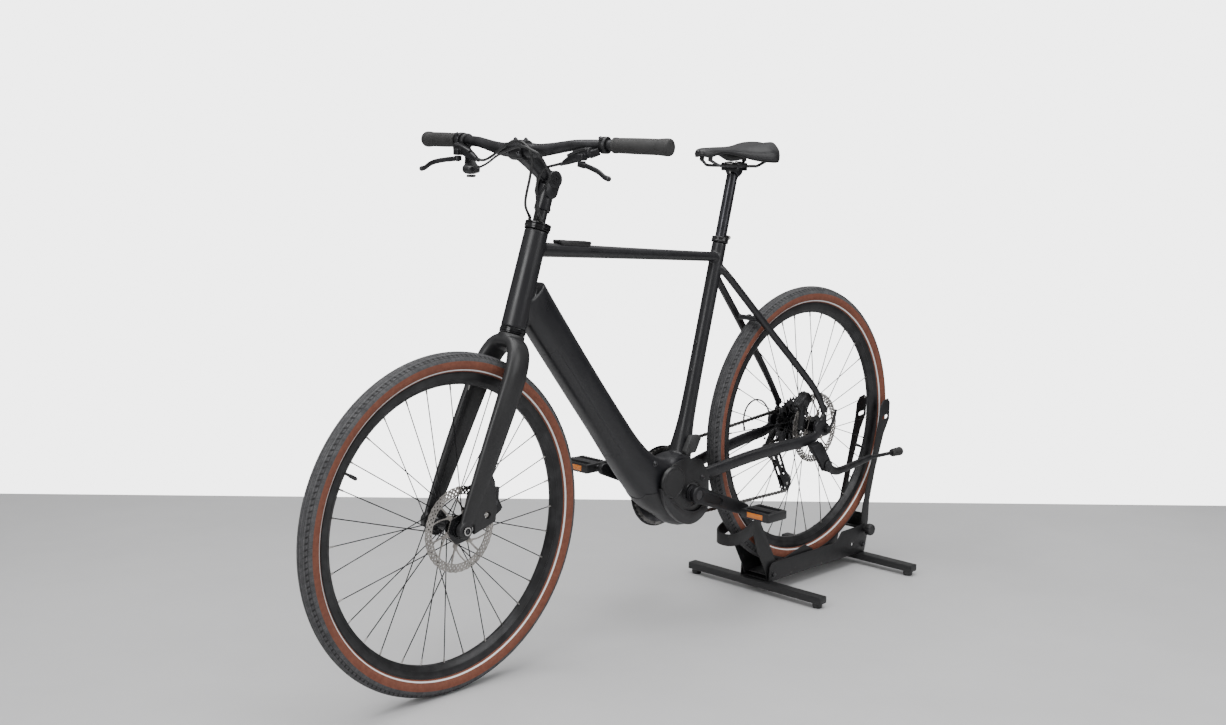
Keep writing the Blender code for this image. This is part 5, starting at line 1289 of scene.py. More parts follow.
def bar_point(y):
    reach = abs(y)
    for a, b in zip(BAR_HALF, BAR_HALF[1:]):
        if reach <= b[1]:
            t = (reach - a[1]) / (b[1] - a[1])
            return Vector((a[0] + (b[0] - a[0]) * t, y, a[2] + (b[2] - a[2]) * t))
    return Vector((BAR_HALF[-1][0], y, BAR_HALF[-1][2]))


def side_point(x, y, z, side):
    return Vector((x, y * side, z))


def handlebar():
    rows = [(x, -y, z, r) for x, y, z, r in reversed(BAR_HALF[1:])] + BAR_HALF
    sizes = [r[3] for r in rows]
    return sweep([(x, y, z) for x, y, z, _ in rows], sizes, sizes, UP, 32, 2.0, 5)


def grip(side):
    """A rubber grip: smooth collar, a long textured middle, a swell and a rounded end cap."""
    start, end = bar_point(side * 0.2400), bar_point(side * BAR_HALF[-1][1])
    along = (end - start).normalized()
    bore = (end - start).length + 0.0004
    profile = [(0.0119, 0), (0.0150, 0), (0.0158, 0.0006), (0.0160, 0.0020), (0.0160, 0.0060),
               (0.0157, 0.0066), (0.0150, 0.0070)]
    for k in range(31):
        share = k / 30
        swell = 0.0151 + 0.0008 * share + 0.0004 * math.sin(math.pi * share)
        profile.append((swell + (0.00018 if k % 2 else 0), 0.0080 + (bore - 0.036) * share))
    profile += [(0.0156, bore - 0.0270), (0.0161, bore - 0.0262), (0.0168, bore - 0.018),
                (0.0174, bore - 0.010), (0.0175, bore - 0.004), (0.0172, bore - 0.0010),
                (0.0163, bore + 0.0010), (0.0148, bore + 0.0021), (0.0100, bore + 0.0027),
                (0.0096, bore + 0.0022), (0.0060, bore + 0.0024), (0, bore + 0.0026), (0, bore),
                (0.0119, bore)]
    return turned(profile, start, along, 40)


def brake_body(side):
    """The lever's hinge casting: clamp band, master cylinder with its reservoir, and the pivot lug."""
    middle = bar_point(side * 0.2190)
    along = (bar_point(side * 0.2330) - bar_point(side * 0.2100)).normalized()
    band = turned([(0.0114, -0.0066), (0.0160, -0.0070), (0.0172, -0.0058), (0.0172, 0.0058),
                   (0.0160, 0.0070), (0.0114, 0.0066)],
                  middle, along, 48)
    cylinder = sweep([side_point(0.2040, 0.2080, 1.1175, side), side_point(0.2045, 0.1900, 1.1140, side),
                      side_point(0.2020, 0.1600, 1.1040, side), side_point(0.2000, 0.1330, 1.0935, side)],
                     [0.0098, 0.0112, 0.0096, 0.0052], [0.0088, 0.0092, 0.0086, 0.0056], UP, 24, 2.6, 4,
                     0.0018)
    neck = beam(side_point(0.2168, 0.2180, 1.1188, side), side_point(0.2040, 0.2030, 1.1110, side), 0.0073,
                0.0049, UP, 0.0016)
    pivot = side_point(LEVER_PIVOT.x, LEVER_PIVOT.y, LEVER_PIVOT.z, side)
    lug = beam(pivot + UP * 0.0064, pivot + UP * 0.0200, 0.0084, 0.0084, (1, 0, 0), 0.0024)
    body = fused([neck, cylinder, lug], 0.0009, 3)
    return merge([body, band])


def brake_details(side):
    """Reservoir cap screws, clamp bolt, pivot screw, reach screw and bleed port."""
    parts = []
    axis = Vector((-0.25, 0, 0.97))
    for x, y, z in ((0.2015, 0.1970, 1.1254), (0.1985, 0.1560, 1.1112)):
        parts.append(bolt(side_point(x, y, z, side), axis, 0.0026, 0.0012, 0.0011))
    clamp = bar_point(side * 0.2190) + Vector((-0.0135, 0, 0.0128))
    parts.append(bolt(clamp, (-0.6, 0, 0.8), 0.0040, 0.0042, 0.0022))
    pivot = side_point(LEVER_PIVOT.x, LEVER_PIVOT.y, LEVER_PIVOT.z, side)
    parts.append(bolt(pivot - UP * 0.0056, -UP, 0.0042, 0.0014, 0.0019))
    nut = side_point(0.1996, 0.1330, 1.0932, side)
    parts.append(rod(nut + Vector((0, 0.004 * side, 0.0012)), nut - Vector((0, 0.0075 * side, 0.0022)),
                     0.0042, 6, 0.0004))
    return merge(parts)


def reservoir_cap(side):
    """The flat lid on the reservoir, proud of the cylinder, with a dividing line and four raised bars."""
    parts = [sweep([side_point(0.2010, 0.2020, 1.1232, side), side_point(0.2000, 0.1780, 1.1185, side),
                    side_point(0.1975, 0.1500, 1.1090, side)],
                   [0.0036, 0.0040, 0.0034], [0.0072, 0.0076, 0.0060], UP, 20, 3.2, 4, 0.0010)]
    for k in range(4):
        a = side_point(0.2000 - 0.0006 * k, 0.1880 - 0.0052 * k, 1.1243 - 0.0014 * k, side)
        parts.append(beam(a - Vector((0.0048, 0, 0)), a + Vector((0.0042, 0, 0)), 0.0009, 0.0010, UP,
                          0.0003))
    return merge(parts)


def brake_lever(side):
    """A two-finger blade, hollowed along its front, that ends in a rounded hook."""
    pivot = side_point(LEVER_PIVOT.x, LEVER_PIVOT.y, LEVER_PIVOT.z, side)
    boss = rod(pivot - UP * 0.0054, pivot + UP * 0.0054, 0.0078, 32, 0.0010)
    points = [(0.1935, 0.1900, 1.0932), (0.1870, 0.2080, 1.0915), (0.1775, 0.2400, 1.0862),
              (0.1750, 0.2600, 1.0800), (0.1742, 0.2740, 1.0722), (0.1735, 0.2850, 1.0692)]
    blade = sweep([side_point(x, y, z, side) for x, y, z in points],
                  [0.0050, 0.0052, 0.0054, 0.0053, 0.0052, 0.0056],
                  [0.0044, 0.0037, 0.0032, 0.0032, 0.0035, 0.0040], UP, 20, 2.4, 5, 0.0022)
    tip = side_point(0.1735, 0.2862, 1.0690, side)
    ball = turned([(0.0058 * math.sin(math.pi * k / 10), -0.0058 * math.cos(math.pi * k / 10))
                   for k in range(11)], tip, UP, 24)
    arm = beam(side_point(0.1900, 0.1890, 1.0935, side), side_point(0.1850, 0.2120, 1.0905, side), 0.0052,
               0.0060, UP, 0.0018)
    return fused([boss, blade, ball, arm], 0.0008, 3)


def shifter_body():
    middle = bar_point(0.1990)
    along = (bar_point(0.21) - bar_point(0.19)).normalized()
    band = turned([(0.0114, -0.0048), (0.0150, -0.0050), (0.0160, -0.0040), (0.0160, 0.0040),
                   (0.0150, 0.0050), (0.0114, 0.0048)],
                  middle, along, 40)
    housing = sweep([(0.2290, 0.1985, 1.1165), (0.2270, 0.1900, 1.0960), (0.2130, 0.1680, 1.0760),
                     (0.1980, 0.1500, 1.0720), (0.1930, 0.1330, 1.0730)],
                    [0.0066, 0.0086, 0.0104, 0.0110, 0.0066], [0.0070, 0.0096, 0.0150, 0.0182, 0.0120], UP,
                    24, 2.6, 5, 0.0016)
    pod = turned([(0, -0.0090), (0.0150, -0.0090), (0.0172, -0.0070), (0.0176, 0.0020), (0.0160, 0.0060),
                  (0.0120, 0.0078), (0, 0.0082)],
                 (0.2040, 0.1540, 1.0730), UP, 40)
    return merge([fused([housing, pod], 0.0011, 2), band])


def shifter_details():
    parts = [rod((0.1936, 0.1345, 1.0730), (0.1924, 0.1270, 1.0735), 0.0048, 12, 0.0008),
             rod((0.1930, 0.1300, 1.0732), (0.1920, 0.1225, 1.0738), 0.0033, 16, 0.0006),
             bolt((0.2065, 0.1600, 1.0829), UP, 0.0030, 0.0010, 0.0014),
             bolt((0.1960, 0.1450, 1.0815), UP, 0.0030, 0.0010, 0.0014)]
    for k in range(3):
        y = 0.1415 + 0.0046 * k
        parts.append(beam((0.1850, y, 1.0812), (0.2050, y + 0.004, 1.0818), 0.0005, 0.0006, UP, 0.0002))
    return merge(parts)


def thumb_lever():
    """The thumb paddle, dished and ridged, on its pivot disc."""
    boss = rod(SHIFT_PIVOT - UP * 0.0030, SHIFT_PIVOT + UP * 0.0022, 0.0080, 32, 0.0008)
    blade = sweep([(0.1980, 0.1520, 1.0570), (0.2130, 0.1620, 1.0555), (0.2270, 0.1790, 1.0565)],
                  [0.0020, 0.0019, 0.0021], [0.0062, 0.0058, 0.0078], UP, 20, 2.6, 5, 0.0012)
    ridges = []
    for k in range(4):
        middle = Vector((0.2195 + 0.0026 * k, 0.1710 + 0.0032 * k, 1.0581))
        across = Vector((0.0045, -0.0037, 0))
        ridges.append(beam(middle - across, middle + across, 0.0005, 0.0005, UP, 0.0002))
    return merge([boss, blade] + ridges)


LEFT_HOSE = [(0.1995, -0.1312, 1.0930), (0.2045, -0.1030, 1.0885), (0.2090, -0.0765, 1.0830),
             (0.2085, -0.0560, 1.0680), (0.2130, -0.0400, 1.0430), (0.2210, -0.0340, 1.0050),
             (0.2420, -0.0220, 0.9706)]
RIGHT_HOSE = [(0.1995, 0.1312, 1.0930), (0.1960, 0.1050, 1.0926), (0.1900, 0.0733, 1.1019),
              (0.1780, 0.0120, 1.1275), (0.1740, -0.0170, 1.1341), (0.1720, -0.0416, 1.1327),
              (0.1740, -0.0593, 1.1201), (0.1780, -0.0639, 1.0981), (0.1860, -0.0492, 1.0632),
              (0.2000, -0.0196, 1.0085), (0.2320, 0.0011, 0.9752)]
SHIFT_CABLE = [(0.1930, 0.1310, 1.0730), (0.1880, 0.0896, 1.0849), (0.1720, 0.0270, 1.1076),
               (0.1640, -0.0433, 1.1248), (0.1680, -0.0748, 1.1186), (0.1800, -0.0885, 1.1048),
               (0.2160, -0.0751, 1.0675), (0.2260, -0.0540, 1.0461), (0.2310, -0.0200, 1.0100),
               (0.2400, -0.0110, 0.9715)]
REAR_SHIFT_CABLE = [(1.0400, 0.0770, 0.3960), (1.0450, 0.0840, 0.4250), (1.0650, 0.0900, 0.4520),
                    (1.1000, 0.0950, 0.4640), (1.1350, 0.0970, 0.4560), (1.1580, 0.0970, 0.4330),
                    (1.1660, 0.0960, 0.4050)]


def cable(route, radius):
    """A hose or cable housing along its route, with a ferrule on each end."""
    parts = [sweep(route, radius, radius, (0.3, 0.2, 0.93), 14, 2.0, 8)]
    for end, next_point in ((route[0], route[1]), (route[-1], route[-2])):
        towards = (Vector(next_point) - Vector(end)).normalized()
        parts.append(rod(Vector(end), Vector(end) + towards * 0.009, radius + 0.0007, 16, 0.0004))
    return merge(parts)


def hose_grommets():
    """A rubber grommet round each of the three lines where they enter the dark cover on the headset."""
    parts = []
    for route, radius in ((LEFT_HOSE, 0.0025), (RIGHT_HOSE, 0.0025), (SHIFT_CABLE, 0.0020)):
        end = Vector(route[-1])
        base = end - STEER * ((end - HEAD_TOP).dot(STEER) - 0.0164)
        parts.append(turned([(0, 0), (radius + 0.0022, 0), (radius + 0.0018, 0.0016),
                             (radius + 0.0004, 0.0024), (0, 0.0024)],
                            base, STEER, 20))
    return merge(parts)


def stem_post():
    """The stem's post: slim foot, wide upper sleeve with a seam, two ears round the pivot."""
    bottom = HEAD_TOP + STEER * 0.0186
    top = HEAD_TOP + STEER * 0.0860
    post = turned([(0, 0), (0.0136, 0), (0.0140, 0.0006), (0.0140, 0.0244), (0.0150, 0.0250),
                   (0.0170, 0.0258), (0.0172, 0.0270), (0.0172, 0.0800), (0, 0.0800)], bottom, STEER, 48)
    ears = []
    for side in (-1, 1):
        low, high = sorted((side * 0.0127, side * 0.0194))
        outline = capsule((STEM_PIVOT.x, STEM_PIVOT.z), 0.0184, (top.x, top.z), 0.0165, 24)
        ears.append(plate(outline, low, high, "XZ", 0.0012))
    skin = join(post, *ears)
    return cut(skin, plate(circle((STEM_PIVOT.x, STEM_PIVOT.z), 0.0215, 48), -0.0129, 0.0129))


def stem_fittings():
    """The pivot's ringed cap on each ear, the sleeve's clamp bolt, and the seam ring."""
    parts = []
    for side in (-1, 1):
        place = STEM_PIVOT + ACROSS * side * 0.0192
        parts.append(turned([(0, 0), (0.0189, 0), (0.0189, 0.0008), (0.0181, 0.0020), (0.0110, 0.0020),
                             (0.0106, 0.0012), (0.0098, 0.0012), (0.0094, 0.0022), (0.0084, 0.0022),
                             (0.0080, 0.0012), (0.0062, 0.0012), (0.0058, 0.0022), (0.0050, 0.0023),
                             (0.0044, 0.0022), (0.0040, 0.0004), (0, 0.0004)],
                            place, ACROSS * side, 48))
    foot = HEAD_TOP + STEER * 0.0500
    back = Vector((STEER.z, 0, -STEER.x))
    parts.append(bolt(foot + back * 0.0160, back, 0.0048, 0.0050, 0.0025))
    parts.append(beam(foot + back * 0.0120 + STEER * -0.0060, foot + back * 0.0185 + STEER * -0.0060,
                      0.0020, 0.0060, STEER, 0.0008))
    seam = HEAD_TOP + STEER * 0.0590
    parts.append(turned([(0.0168, 0), (0.01745, 0.0002), (0.01745, 0.0009), (0.0168, 0.0011)], seam, STEER,
                        48))
    return merge(parts)


def stem_swing():
    """The swinging arm with its barrel and bar clamp, rounded like a forging."""
    along = (BAR_CLAMP - STEM_PIVOT).normalized()
    barrel = plate(circle((STEM_PIVOT.x, STEM_PIVOT.z), 0.0183, 48), -0.0120, 0.0120)
    arm = sweep([STEM_PIVOT + along * 0.004, STEM_PIVOT + along * 0.030, STEM_PIVOT + along * 0.060,
                 BAR_CLAMP - along * 0.006],
                [0.0150, 0.0162, 0.0160, 0.0180], [0.0116, 0.0162, 0.0185, 0.0205], ACROSS.cross(along), 36,
                3.0, 4)
    clamp = turned([(0, -0.0222), (0.0205, -0.0222), (0.0213, -0.0212), (0.0213, 0.0212), (0.0205, 0.0222),
                    (0, 0.0222)],
                   BAR_CLAMP, ACROSS, 48)
    body = fused([barrel, arm, clamp], 0.0012, 4)
    gap = beam(BAR_CLAMP - along * -0.0040 - ACROSS * 0.03, BAR_CLAMP - along * -0.0040 + ACROSS * 0.03,
               0.0300, 0.0007,
               ACROSS.cross(along), 0)
    cut(body, turned([(0, -0.03), (0.0162, -0.03), (0.0162, 0.03), (0, 0.03)], BAR_CLAMP, ACROSS, 48))
    return cut(body, gap)


def stem_bolts():
    """Four faceplate bolts."""
    along = (BAR_CLAMP - STEM_PIVOT).normalized()
    high = ACROSS.cross(along)
    parts = []
    for side in (-1, 1):
        for reach in (-1, 1):
            place = BAR_CLAMP + high * reach * 0.0176 + ACROSS * side * 0.0160 + along * 0.0105
            parts.append(bolt(place, along, 0.0040, 0.0052, 0.0021))
    return merge(parts)


def build_cockpit():
    show("bar_tube", handlebar(), "bar", "bar_alloy", "handlebar")
    show("stem_swing", stem_swing(), "bar", "black_alloy", "stem_arm", crease=45)
    show("stem_bolts", stem_bolts(), "bar", "dark_steel")
    show("stem_post", stem_post(), "steering", "frame_paint", "stem_base")
    show("stem_fittings", stem_fittings(), "steering", "black_alloy")
    show("hose_grommets", hose_grommets(), "steering", "black_rubber")
    for side, word in ((-1, "left"), (1, "right")):
        show(word + "_grip_shown", grip(side), "bar", "grip_rubber", word + "_grip")
        show(word + "_lever_casting", brake_body(side), "bar", "black_alloy", word + "_brake_body",
             crease=50)
        show(word + "_reservoir_cap", reservoir_cap(side), "bar", "gloss_plastic")
        show(word + "_lever_details", brake_details(side), "bar", "dark_steel")
        show(word + "_lever_blade", brake_lever(side), word + "_lever", "black_alloy",
             word + "_brake_lever", crease=60)
    show("shifter_body", shifter_body(), "bar", "black_plastic", "shifter", crease=50)
    show("shifter_details", shifter_details(), "bar", "gloss_plastic")
    show("thumb_lever_shown", thumb_lever(), "thumb_lever", "black_plastic", "shift_thumb_lever")
    show("left_hose_line", cable(LEFT_HOSE, 0.0029), "steering to bar", "hose_rubber", "left_brake_hose")
    show("right_hose_line", cable(RIGHT_HOSE, 0.0029), "steering to bar", "hose_rubber", "right_brake_hose")
    show("shift_cable_line", cable(SHIFT_CABLE, 0.0025), "steering to bar", "hose_rubber", "shift_cable")
    show("rear_cable_line", cable(REAR_SHIFT_CABLE, 0.0022), "bicycle", "hose_rubber", "rear_shift_cable")


# ---- motor, cranks, chain and gears ----

MOTOR_BAY = [(0.602, 0.361), (0.613, 0.331), (0.641, 0.297), (0.691, 0.2785), (0.7345, 0.2905),
             (0.7460, 0.312), (0.7440, 0.350), (0.719, 0.379), (0.652, 0.389)]
COVER_OUTLINE = [(0.594, 0.345), (0.606, 0.312), (0.640, 0.284), (0.690, 0.262), (0.738, 0.276),
                 (0.757, 0.312), (0.755, 0.352), (0.728, 0.391), (0.669, 0.403), (0.628, 0.394)]
BELLY_LOWER = [(0.588, 0.344), (0.594, 0.322), (0.607, 0.299), (0.627, 0.274), (0.654, 0.253),
               (0.688, 0.2415), (0.722, 0.2480), (0.747, 0.268), (0.761, 0.297)]
BELLY_UPPER = [(0.757, 0.300), (0.737, 0.281), (0.706, 0.2700), (0.668, 0.2790), (0.640, 0.2990),
               (0.618, 0.3120), (0.601, 0.3260)]


def pitch_radius(teeth):
    return CHAIN_PITCH / (2 * math.sin(math.pi / teeth))


def on_crank_axis(y):
    return Vector((CRANK_AXIS.x, y, CRANK_AXIS.z))


def motor_casting():
    """The motor's body in its bay: a ribbed casting with a stepped boss for the spindle."""
    middle = (0.677, 0.328)
    inset = [(middle[0] + (x - middle[0]) * 0.99, middle[1] + (z - middle[1]) * 0.985)
             for x, z in MOTOR_BAY]
    parts = [plate(inset, -0.0440, 0.0322, "XZ", 0.0020)]
    profile = [(0.0118, 0.0378), (0.0196, 0.0378), (0.0200, 0.0372), (0.0200, 0.0352), (0.0330, 0.0345),
               (0.0345, 0.0338), (0.0350, 0.0318), (0.0118, 0.0318)]
    parts.append(turned(profile, on_crank_axis(0), ACROSS, 64))
    for angle in range(0, 360, 45):
        out = Vector((math.cos(math.radians(angle)), 0, math.sin(math.radians(angle))))
        parts.append(bolt(on_crank_axis(0.0318) + out * 0.0415, ACROSS, 0.0030, 0.0016, 0.0015))
    snout = [(0.0118, -0.0632), (0.0190, -0.0632), (0.0199, -0.0624), (0.0199, -0.0588), (0.0192, -0.0582),
             (0.0192, -0.0574), (0.0199, -0.0568), (0.0199, -0.0430), (0.0118, -0.0430)]
    parts.append(turned(snout, on_crank_axis(0), ACROSS, 64))
    return merge(parts)


def motor_cover():
    """The eight-sided side cover with a softened rim and rings round the spindle."""
    cover = plate(COVER_OUTLINE, -0.0545, -0.0512, "XZ", 0.0013)
    return cut(cover, rod(on_crank_axis(-0.09), on_crank_axis(-0.03), 0.0206, 48, 0))


def belly_side():
    """The skid guard's side, wrapped round the motor's lower edge, with a raised lip along its top."""
    lower = [(p.x, p.y) for p in curve_through([(x, z, 0) for x, z in BELLY_LOWER], 4)]
    upper = [(p.x, p.y) for p in curve_through([(x, z, 0) for x, z in BELLY_UPPER], 4)]
    panel = plate(lower + upper, -0.0580, -0.0440, "XZ", 0.0048)
    lip = sweep([(x, -0.0572, z) for x, z in BELLY_UPPER], 0.0016, 0.0013, UP, 12, 2.0, 4, 0.0008)
    return merge([panel, lip])


def cover_rings():
    rings = []
    for inner, outer, high in ((0.0210, 0.0262, 0.0012), (0.0270, 0.0285, 0.0006),
                               (0.0293, 0.0306, 0.0005)):
        profile = [(inner, 0), (inner, high * 0.7), (inner + 0.0003, high), (outer - 0.0004, high),
                   (outer, high * 0.6), (outer, 0)]
        rings.append(turned(profile, on_crank_axis(-0.0544), -ACROSS, 64))
    return merge(rings)


def badge_disc():
    """The round boss on the cover: a sloped shoulder, a groove and a dished plain face."""
    profile = [(0, -0.002), (0.0385, -0.002), (0.0385, 0.0008), (0.0380, 0.0022), (0.0366, 0.0048),
               (0.0352, 0.0060), (0.0322, 0.0062), (0.0318, 0.0056), (0.0306, 0.0056), (0.0302, 0.0060),
               (0.0180, 0.0057), (0, 0.0055)]
    return turned(profile, (0.628, -0.0541, 0.352), -ACROSS, 64)


def cover_bolts():
    parts = []
    for x, y, z in ((0.5830, -0.0395, 0.4000), (0.7320, -0.0545, 0.3470)):
        parts.append(turned([(0, -0.003), (0.0070, -0.003), (0.0070, 0.0009), (0.0062, 0.0014),
                             (0, 0.0014)], (x, y, z), -ACROSS, 32))
        parts.append(bolt((x, y - 0.0011, z), -ACROSS, 0.0046, 0.0026, 0.0022))
    return merge(parts)


def spindle_cap():
    """The crank bolt's cap and washer, on each end of the spindle."""
    parts = []
    for side in (-1, 1):
        profile = [(0, 0), (0.0112, 0), (0.0112, -0.0010), (0.0106, 0.0001), (0.0030, 0.0001),
                   (0.0030, -0.0012), (0, -0.0012)]
        parts.append(turned(profile, on_crank_axis(side * 0.0786), ACROSS * side, 40))
    return merge(parts)


def pedal_place(side):
    turn = CRANK_RISE if side > 0 else math.pi + CRANK_RISE
    return CRANK_AXIS + Vector((-math.cos(turn), 0,
                                math.sin(turn))) * CRANK_LENGTH + ACROSS * side * PEDAL_Y


def crank_arm(side):
    """A forged arm: round ends, softened edges, and a long recess on its outer face."""
    axle = pedal_place(side)
    reach = Vector((axle.x - CRANK_AXIS.x, axle.z - CRANK_AXIS.z))
    outline = capsule((CRANK_AXIS.x, CRANK_AXIS.z), 0.0206, (axle.x, axle.z), 0.0139, 20)
    rings = [[], []]
    for x, z in outline:
        travel = Vector((x - CRANK_AXIS.x, z - CRANK_AXIS.z)).dot(reach) / reach.length_squared
        step = 0.0090 * min(max(travel, 0), 1)
        rings[0].append(Vector((x, side * (0.0645 + step), z)))
        rings[1].append(Vector((x, side * (0.0788 + step), z)))
    arm = soften(skin_rings(rings), 0.0030, 3)
    first = CRANK_AXIS + (axle - CRANK_AXIS) * 0.14
    second = CRANK_AXIS + (axle - CRANK_AXIS) * 0.44
    low, high = sorted((side * 0.0796, side * 0.0900))
    pocket = plate(capsule((first.x, first.z), 0.0105, (second.x, second.z), 0.0088, 10), low, high)
    cut(arm, pocket)
    hole = rod(on_crank_axis(side * 0.072), on_crank_axis(side * 0.1), 0.0112, 32, 0)
    return soften(cut(arm, hole), 0.0005, 1, 60)


def crank_spindle():
    parts = [rod(on_crank_axis(-0.0638), on_crank_axis(0.0720), 0.0109, 32), spindle_cap()]
    parts.append(rod(on_crank_axis(0.0520), on_crank_axis(0.0648), 0.0189, 40, 0.0010))
    return merge(parts)


def pedal_axles(side):
    axle = pedal_place(side)
    face = side * (0.0790 + 0.0090 - PEDAL_Y)
    parts = [rod(axle + ACROSS * (face - side * 0.0140), axle + ACROSS * side * 0.0200, 0.0062, 24),
             rod(axle + ACROSS * side * 0.0012, axle + ACROSS * side * 0.0062, 0.0084, 6, 0.0004),
             rod(axle + ACROSS * side * 0.0070, axle + ACROSS * side * 0.0112, 0.0074, 24)]
    return merge(parts)


def pedal_body(side):
    """The resin cage: rounded frame with two windows, a barrel, ribs and rows of grip teeth."""
    axle = pedal_place(side)
    low, high = sorted((axle.y + side * 0.0112, axle.y + side * 0.0980))
    cage = box((axle.x - 0.0342, low, axle.z - 0.0108), (axle.x + 0.0342, high, axle.z + 0.0108), 0.0032)
    for x_low, x_high in ((-0.0268, -0.0108), (0.0108, 0.0268)):
        cut(cage, box((axle.x + x_low, low + 0.0092, axle.z - 0.03),
                      (axle.x + x_high, high - 0.0092, axle.z + 0.03), 0.0014))
    parts = [soften(cage, 0.0005, 1, 50)]
    parts.append(rod((axle.x, low + 0.002, axle.z), (axle.x, high - 0.0005, axle.z), 0.0114, 32, 0.0014))
    for x in (-0.0305, 0.0305):
        for k in range(9):
            y = low + 0.0080 + k * (high - low - 0.016) / 8
            for way in (-1, 1):
                place = Vector((axle.x + x, y, axle.z + way * 0.0100))
                parts.append(beam(place, place + UP * way * 0.0013, 0.0024, 0.0014, (1, 0, 0), 0.0004))
    for x in (-0.0188, 0.0188):
        parts.append(box((axle.x + x - 0.0009, low + 0.008, axle.z - 0.0075),
                         (axle.x + x + 0.0009, high - 0.008, axle.z + 0.0075), 0.0003))
    return merge(parts)


def pedal_reflectors(side):
    """An amber reflector let into the front and the back edge, ribbed like its prisms."""
    axle = pedal_place(side)
    middle = axle.y + side * 0.0545
    parts = []
    for way in (-1, 1):
        face = axle.x + way * 0.0342
        parts.append(box((min(face - way * 0.002, face + way * 0.0003), middle - 0.0235, axle.z - 0.0062),
                         (max(face - way * 0.002, face + way * 0.0003), middle + 0.0235, axle.z + 0.0062),
                         0.0006))
        for k in range(12):
            y = middle - 0.0215 + k * 0.0039
            parts.append(box((min(face, face + way * 0.0006), y - 0.0012, axle.z - 0.0050),
                             (max(face, face + way * 0.0006), y + 0.0012, axle.z + 0.0050), 0.0003))
    return merge(parts)


def gear_outline(centre, teeth, top, root, phase=0.0):
    """Sprocket teeth: a round seat for each roller and a narrow tip between them."""
    points = []
    step = 2 * math.pi / teeth
    for i in range(teeth):
        for share, radius in ((0.00, root), (0.18, root + 0.10 * (top - root)),
                              (0.34, root + 0.62 * (top - root)), (0.44, top), (0.56, top),
                              (0.66, root + 0.62 * (top - root)), (0.82, root + 0.10 * (top - root))):
            turn = phase + step * (i + share)
            points.append((centre[0] + radius * math.cos(turn), centre[1] + radius * math.sin(turn)))
    return points


def sprocket(centre, teeth, y, half, holes, phase=0.0):
    pitch = pitch_radius(teeth)
    outline = gear_outline((centre.x, centre.z), teeth, pitch + 0.0021, pitch - 0.0040, phase)
    return pierced(outline, holes, y - half, y + half, "XZ", 0.0002)


def chainring_shown():
    """Toothed ring, spider arms and ring bolts."""
    centre = (CRANK_AXIS.x, CRANK_AXIS.z)
    ring = sprocket(CRANK_AXIS, CHAINRING_TEETH, CHAIN_Y, 0.0009, [circle(centre, 0.0700, 96)])
    parts = [ring, turned([(0.0112, 0.0450), (0.0280, 0.0450), (0.0288, 0.0458), (0.0288, 0.0507),
                           (0.0280, 0.0515), (0.0112, 0.0515)],
                          on_crank_axis(0), ACROSS, 48)]
    for i in range(5):
        turn = 2 * math.pi * i / 5 + 0.3
        out = Vector((math.cos(turn), 0, math.sin(turn)))
        start = on_crank_axis(0.0481) + out * 0.024
        parts.append(sweep([start, start + out * 0.024, start + out * 0.0520], [0.0030, 0.0029, 0.0028],
                           [0.0105, 0.0072, 0.0080],
                           ACROSS, 20, 4.0, 3, 0.0006))
    return merge(parts)


def chain_guard():
    profile = [(0.0660, 0.0501), (0.0965, 0.0501), (0.0972, 0.0505), (0.0972, 0.0516), (0.0965, 0.0520),
               (0.0900, 0.0520), (0.0896, 0.0516), (0.0720, 0.0516), (0.0716, 0.0520), (0.0660, 0.0520)]
    return turned(profile, on_crank_axis(0), ACROSS, 128)


def ring_bolts():
    parts = []
    for i in range(5):
        turn = 2 * math.pi * i / 5 + 0.3
        out = Vector((math.cos(turn), 0, math.sin(turn)))
        parts.append(bolt(on_crank_axis(0.0518) + out * 0.0735, ACROSS, 0.0046, 0.0009, 0.0024))
        parts.append(bolt(on_crank_axis(0.0452) + out * 0.0735, -ACROSS, 0.0046, 0.0006, 0.0024))
    return merge(parts)


def cassette_shown():
    """Nine toothed cogs with spacers between them and the notched lock ring."""
    first_y = CHAIN_Y - ENGAGED_COG * COG_SPACING
    centre = (REAR_AXLE.x, REAR_AXLE.z)
    parts = []
    for i, teeth in enumerate(COG_TEETH):
        radius = pitch_radius(teeth)
        holes = [circle(centre, 0.0170 if radius > 0.024 else 0.0124, 32)]
        if radius > 0.043:
            count = 8
            for k in range(count):
                turn = 2 * math.pi * (k + 0.3 * i) / count
                reach = (radius + 0.017) / 2 + 0.002
                spot = (centre[0] + reach * math.cos(turn), centre[1] + reach * math.sin(turn))
                holes.append(circle(spot, (radius - 0.026) * 0.36, 14))
        parts.append(sprocket(REAR_AXLE, teeth, first_y + COG_SPACING * i, 0.0008, holes, 0.21 * i))
    end = first_y + COG_SPACING * (len(COG_TEETH) - 1)
    core = [(0.0124, first_y - 0.0009), (0.0172, first_y - 0.0009), (0.0172, CHAIN_Y + 0.0100),
            (0.0160, CHAIN_Y + 0.0100), (0.0160, end - 0.0002), (0.0124, end)]
    parts.append(turned(core, (REAR_AXLE.x, 0, REAR_AXLE.z), ACROSS, 48))
    parts.append(pierced(gear_outline(centre, 12, 0.0150, 0.0136), [circle(centre, 0.0124, 32)],
                         end + 0.0009, end + 0.0023))
    return merge(parts)


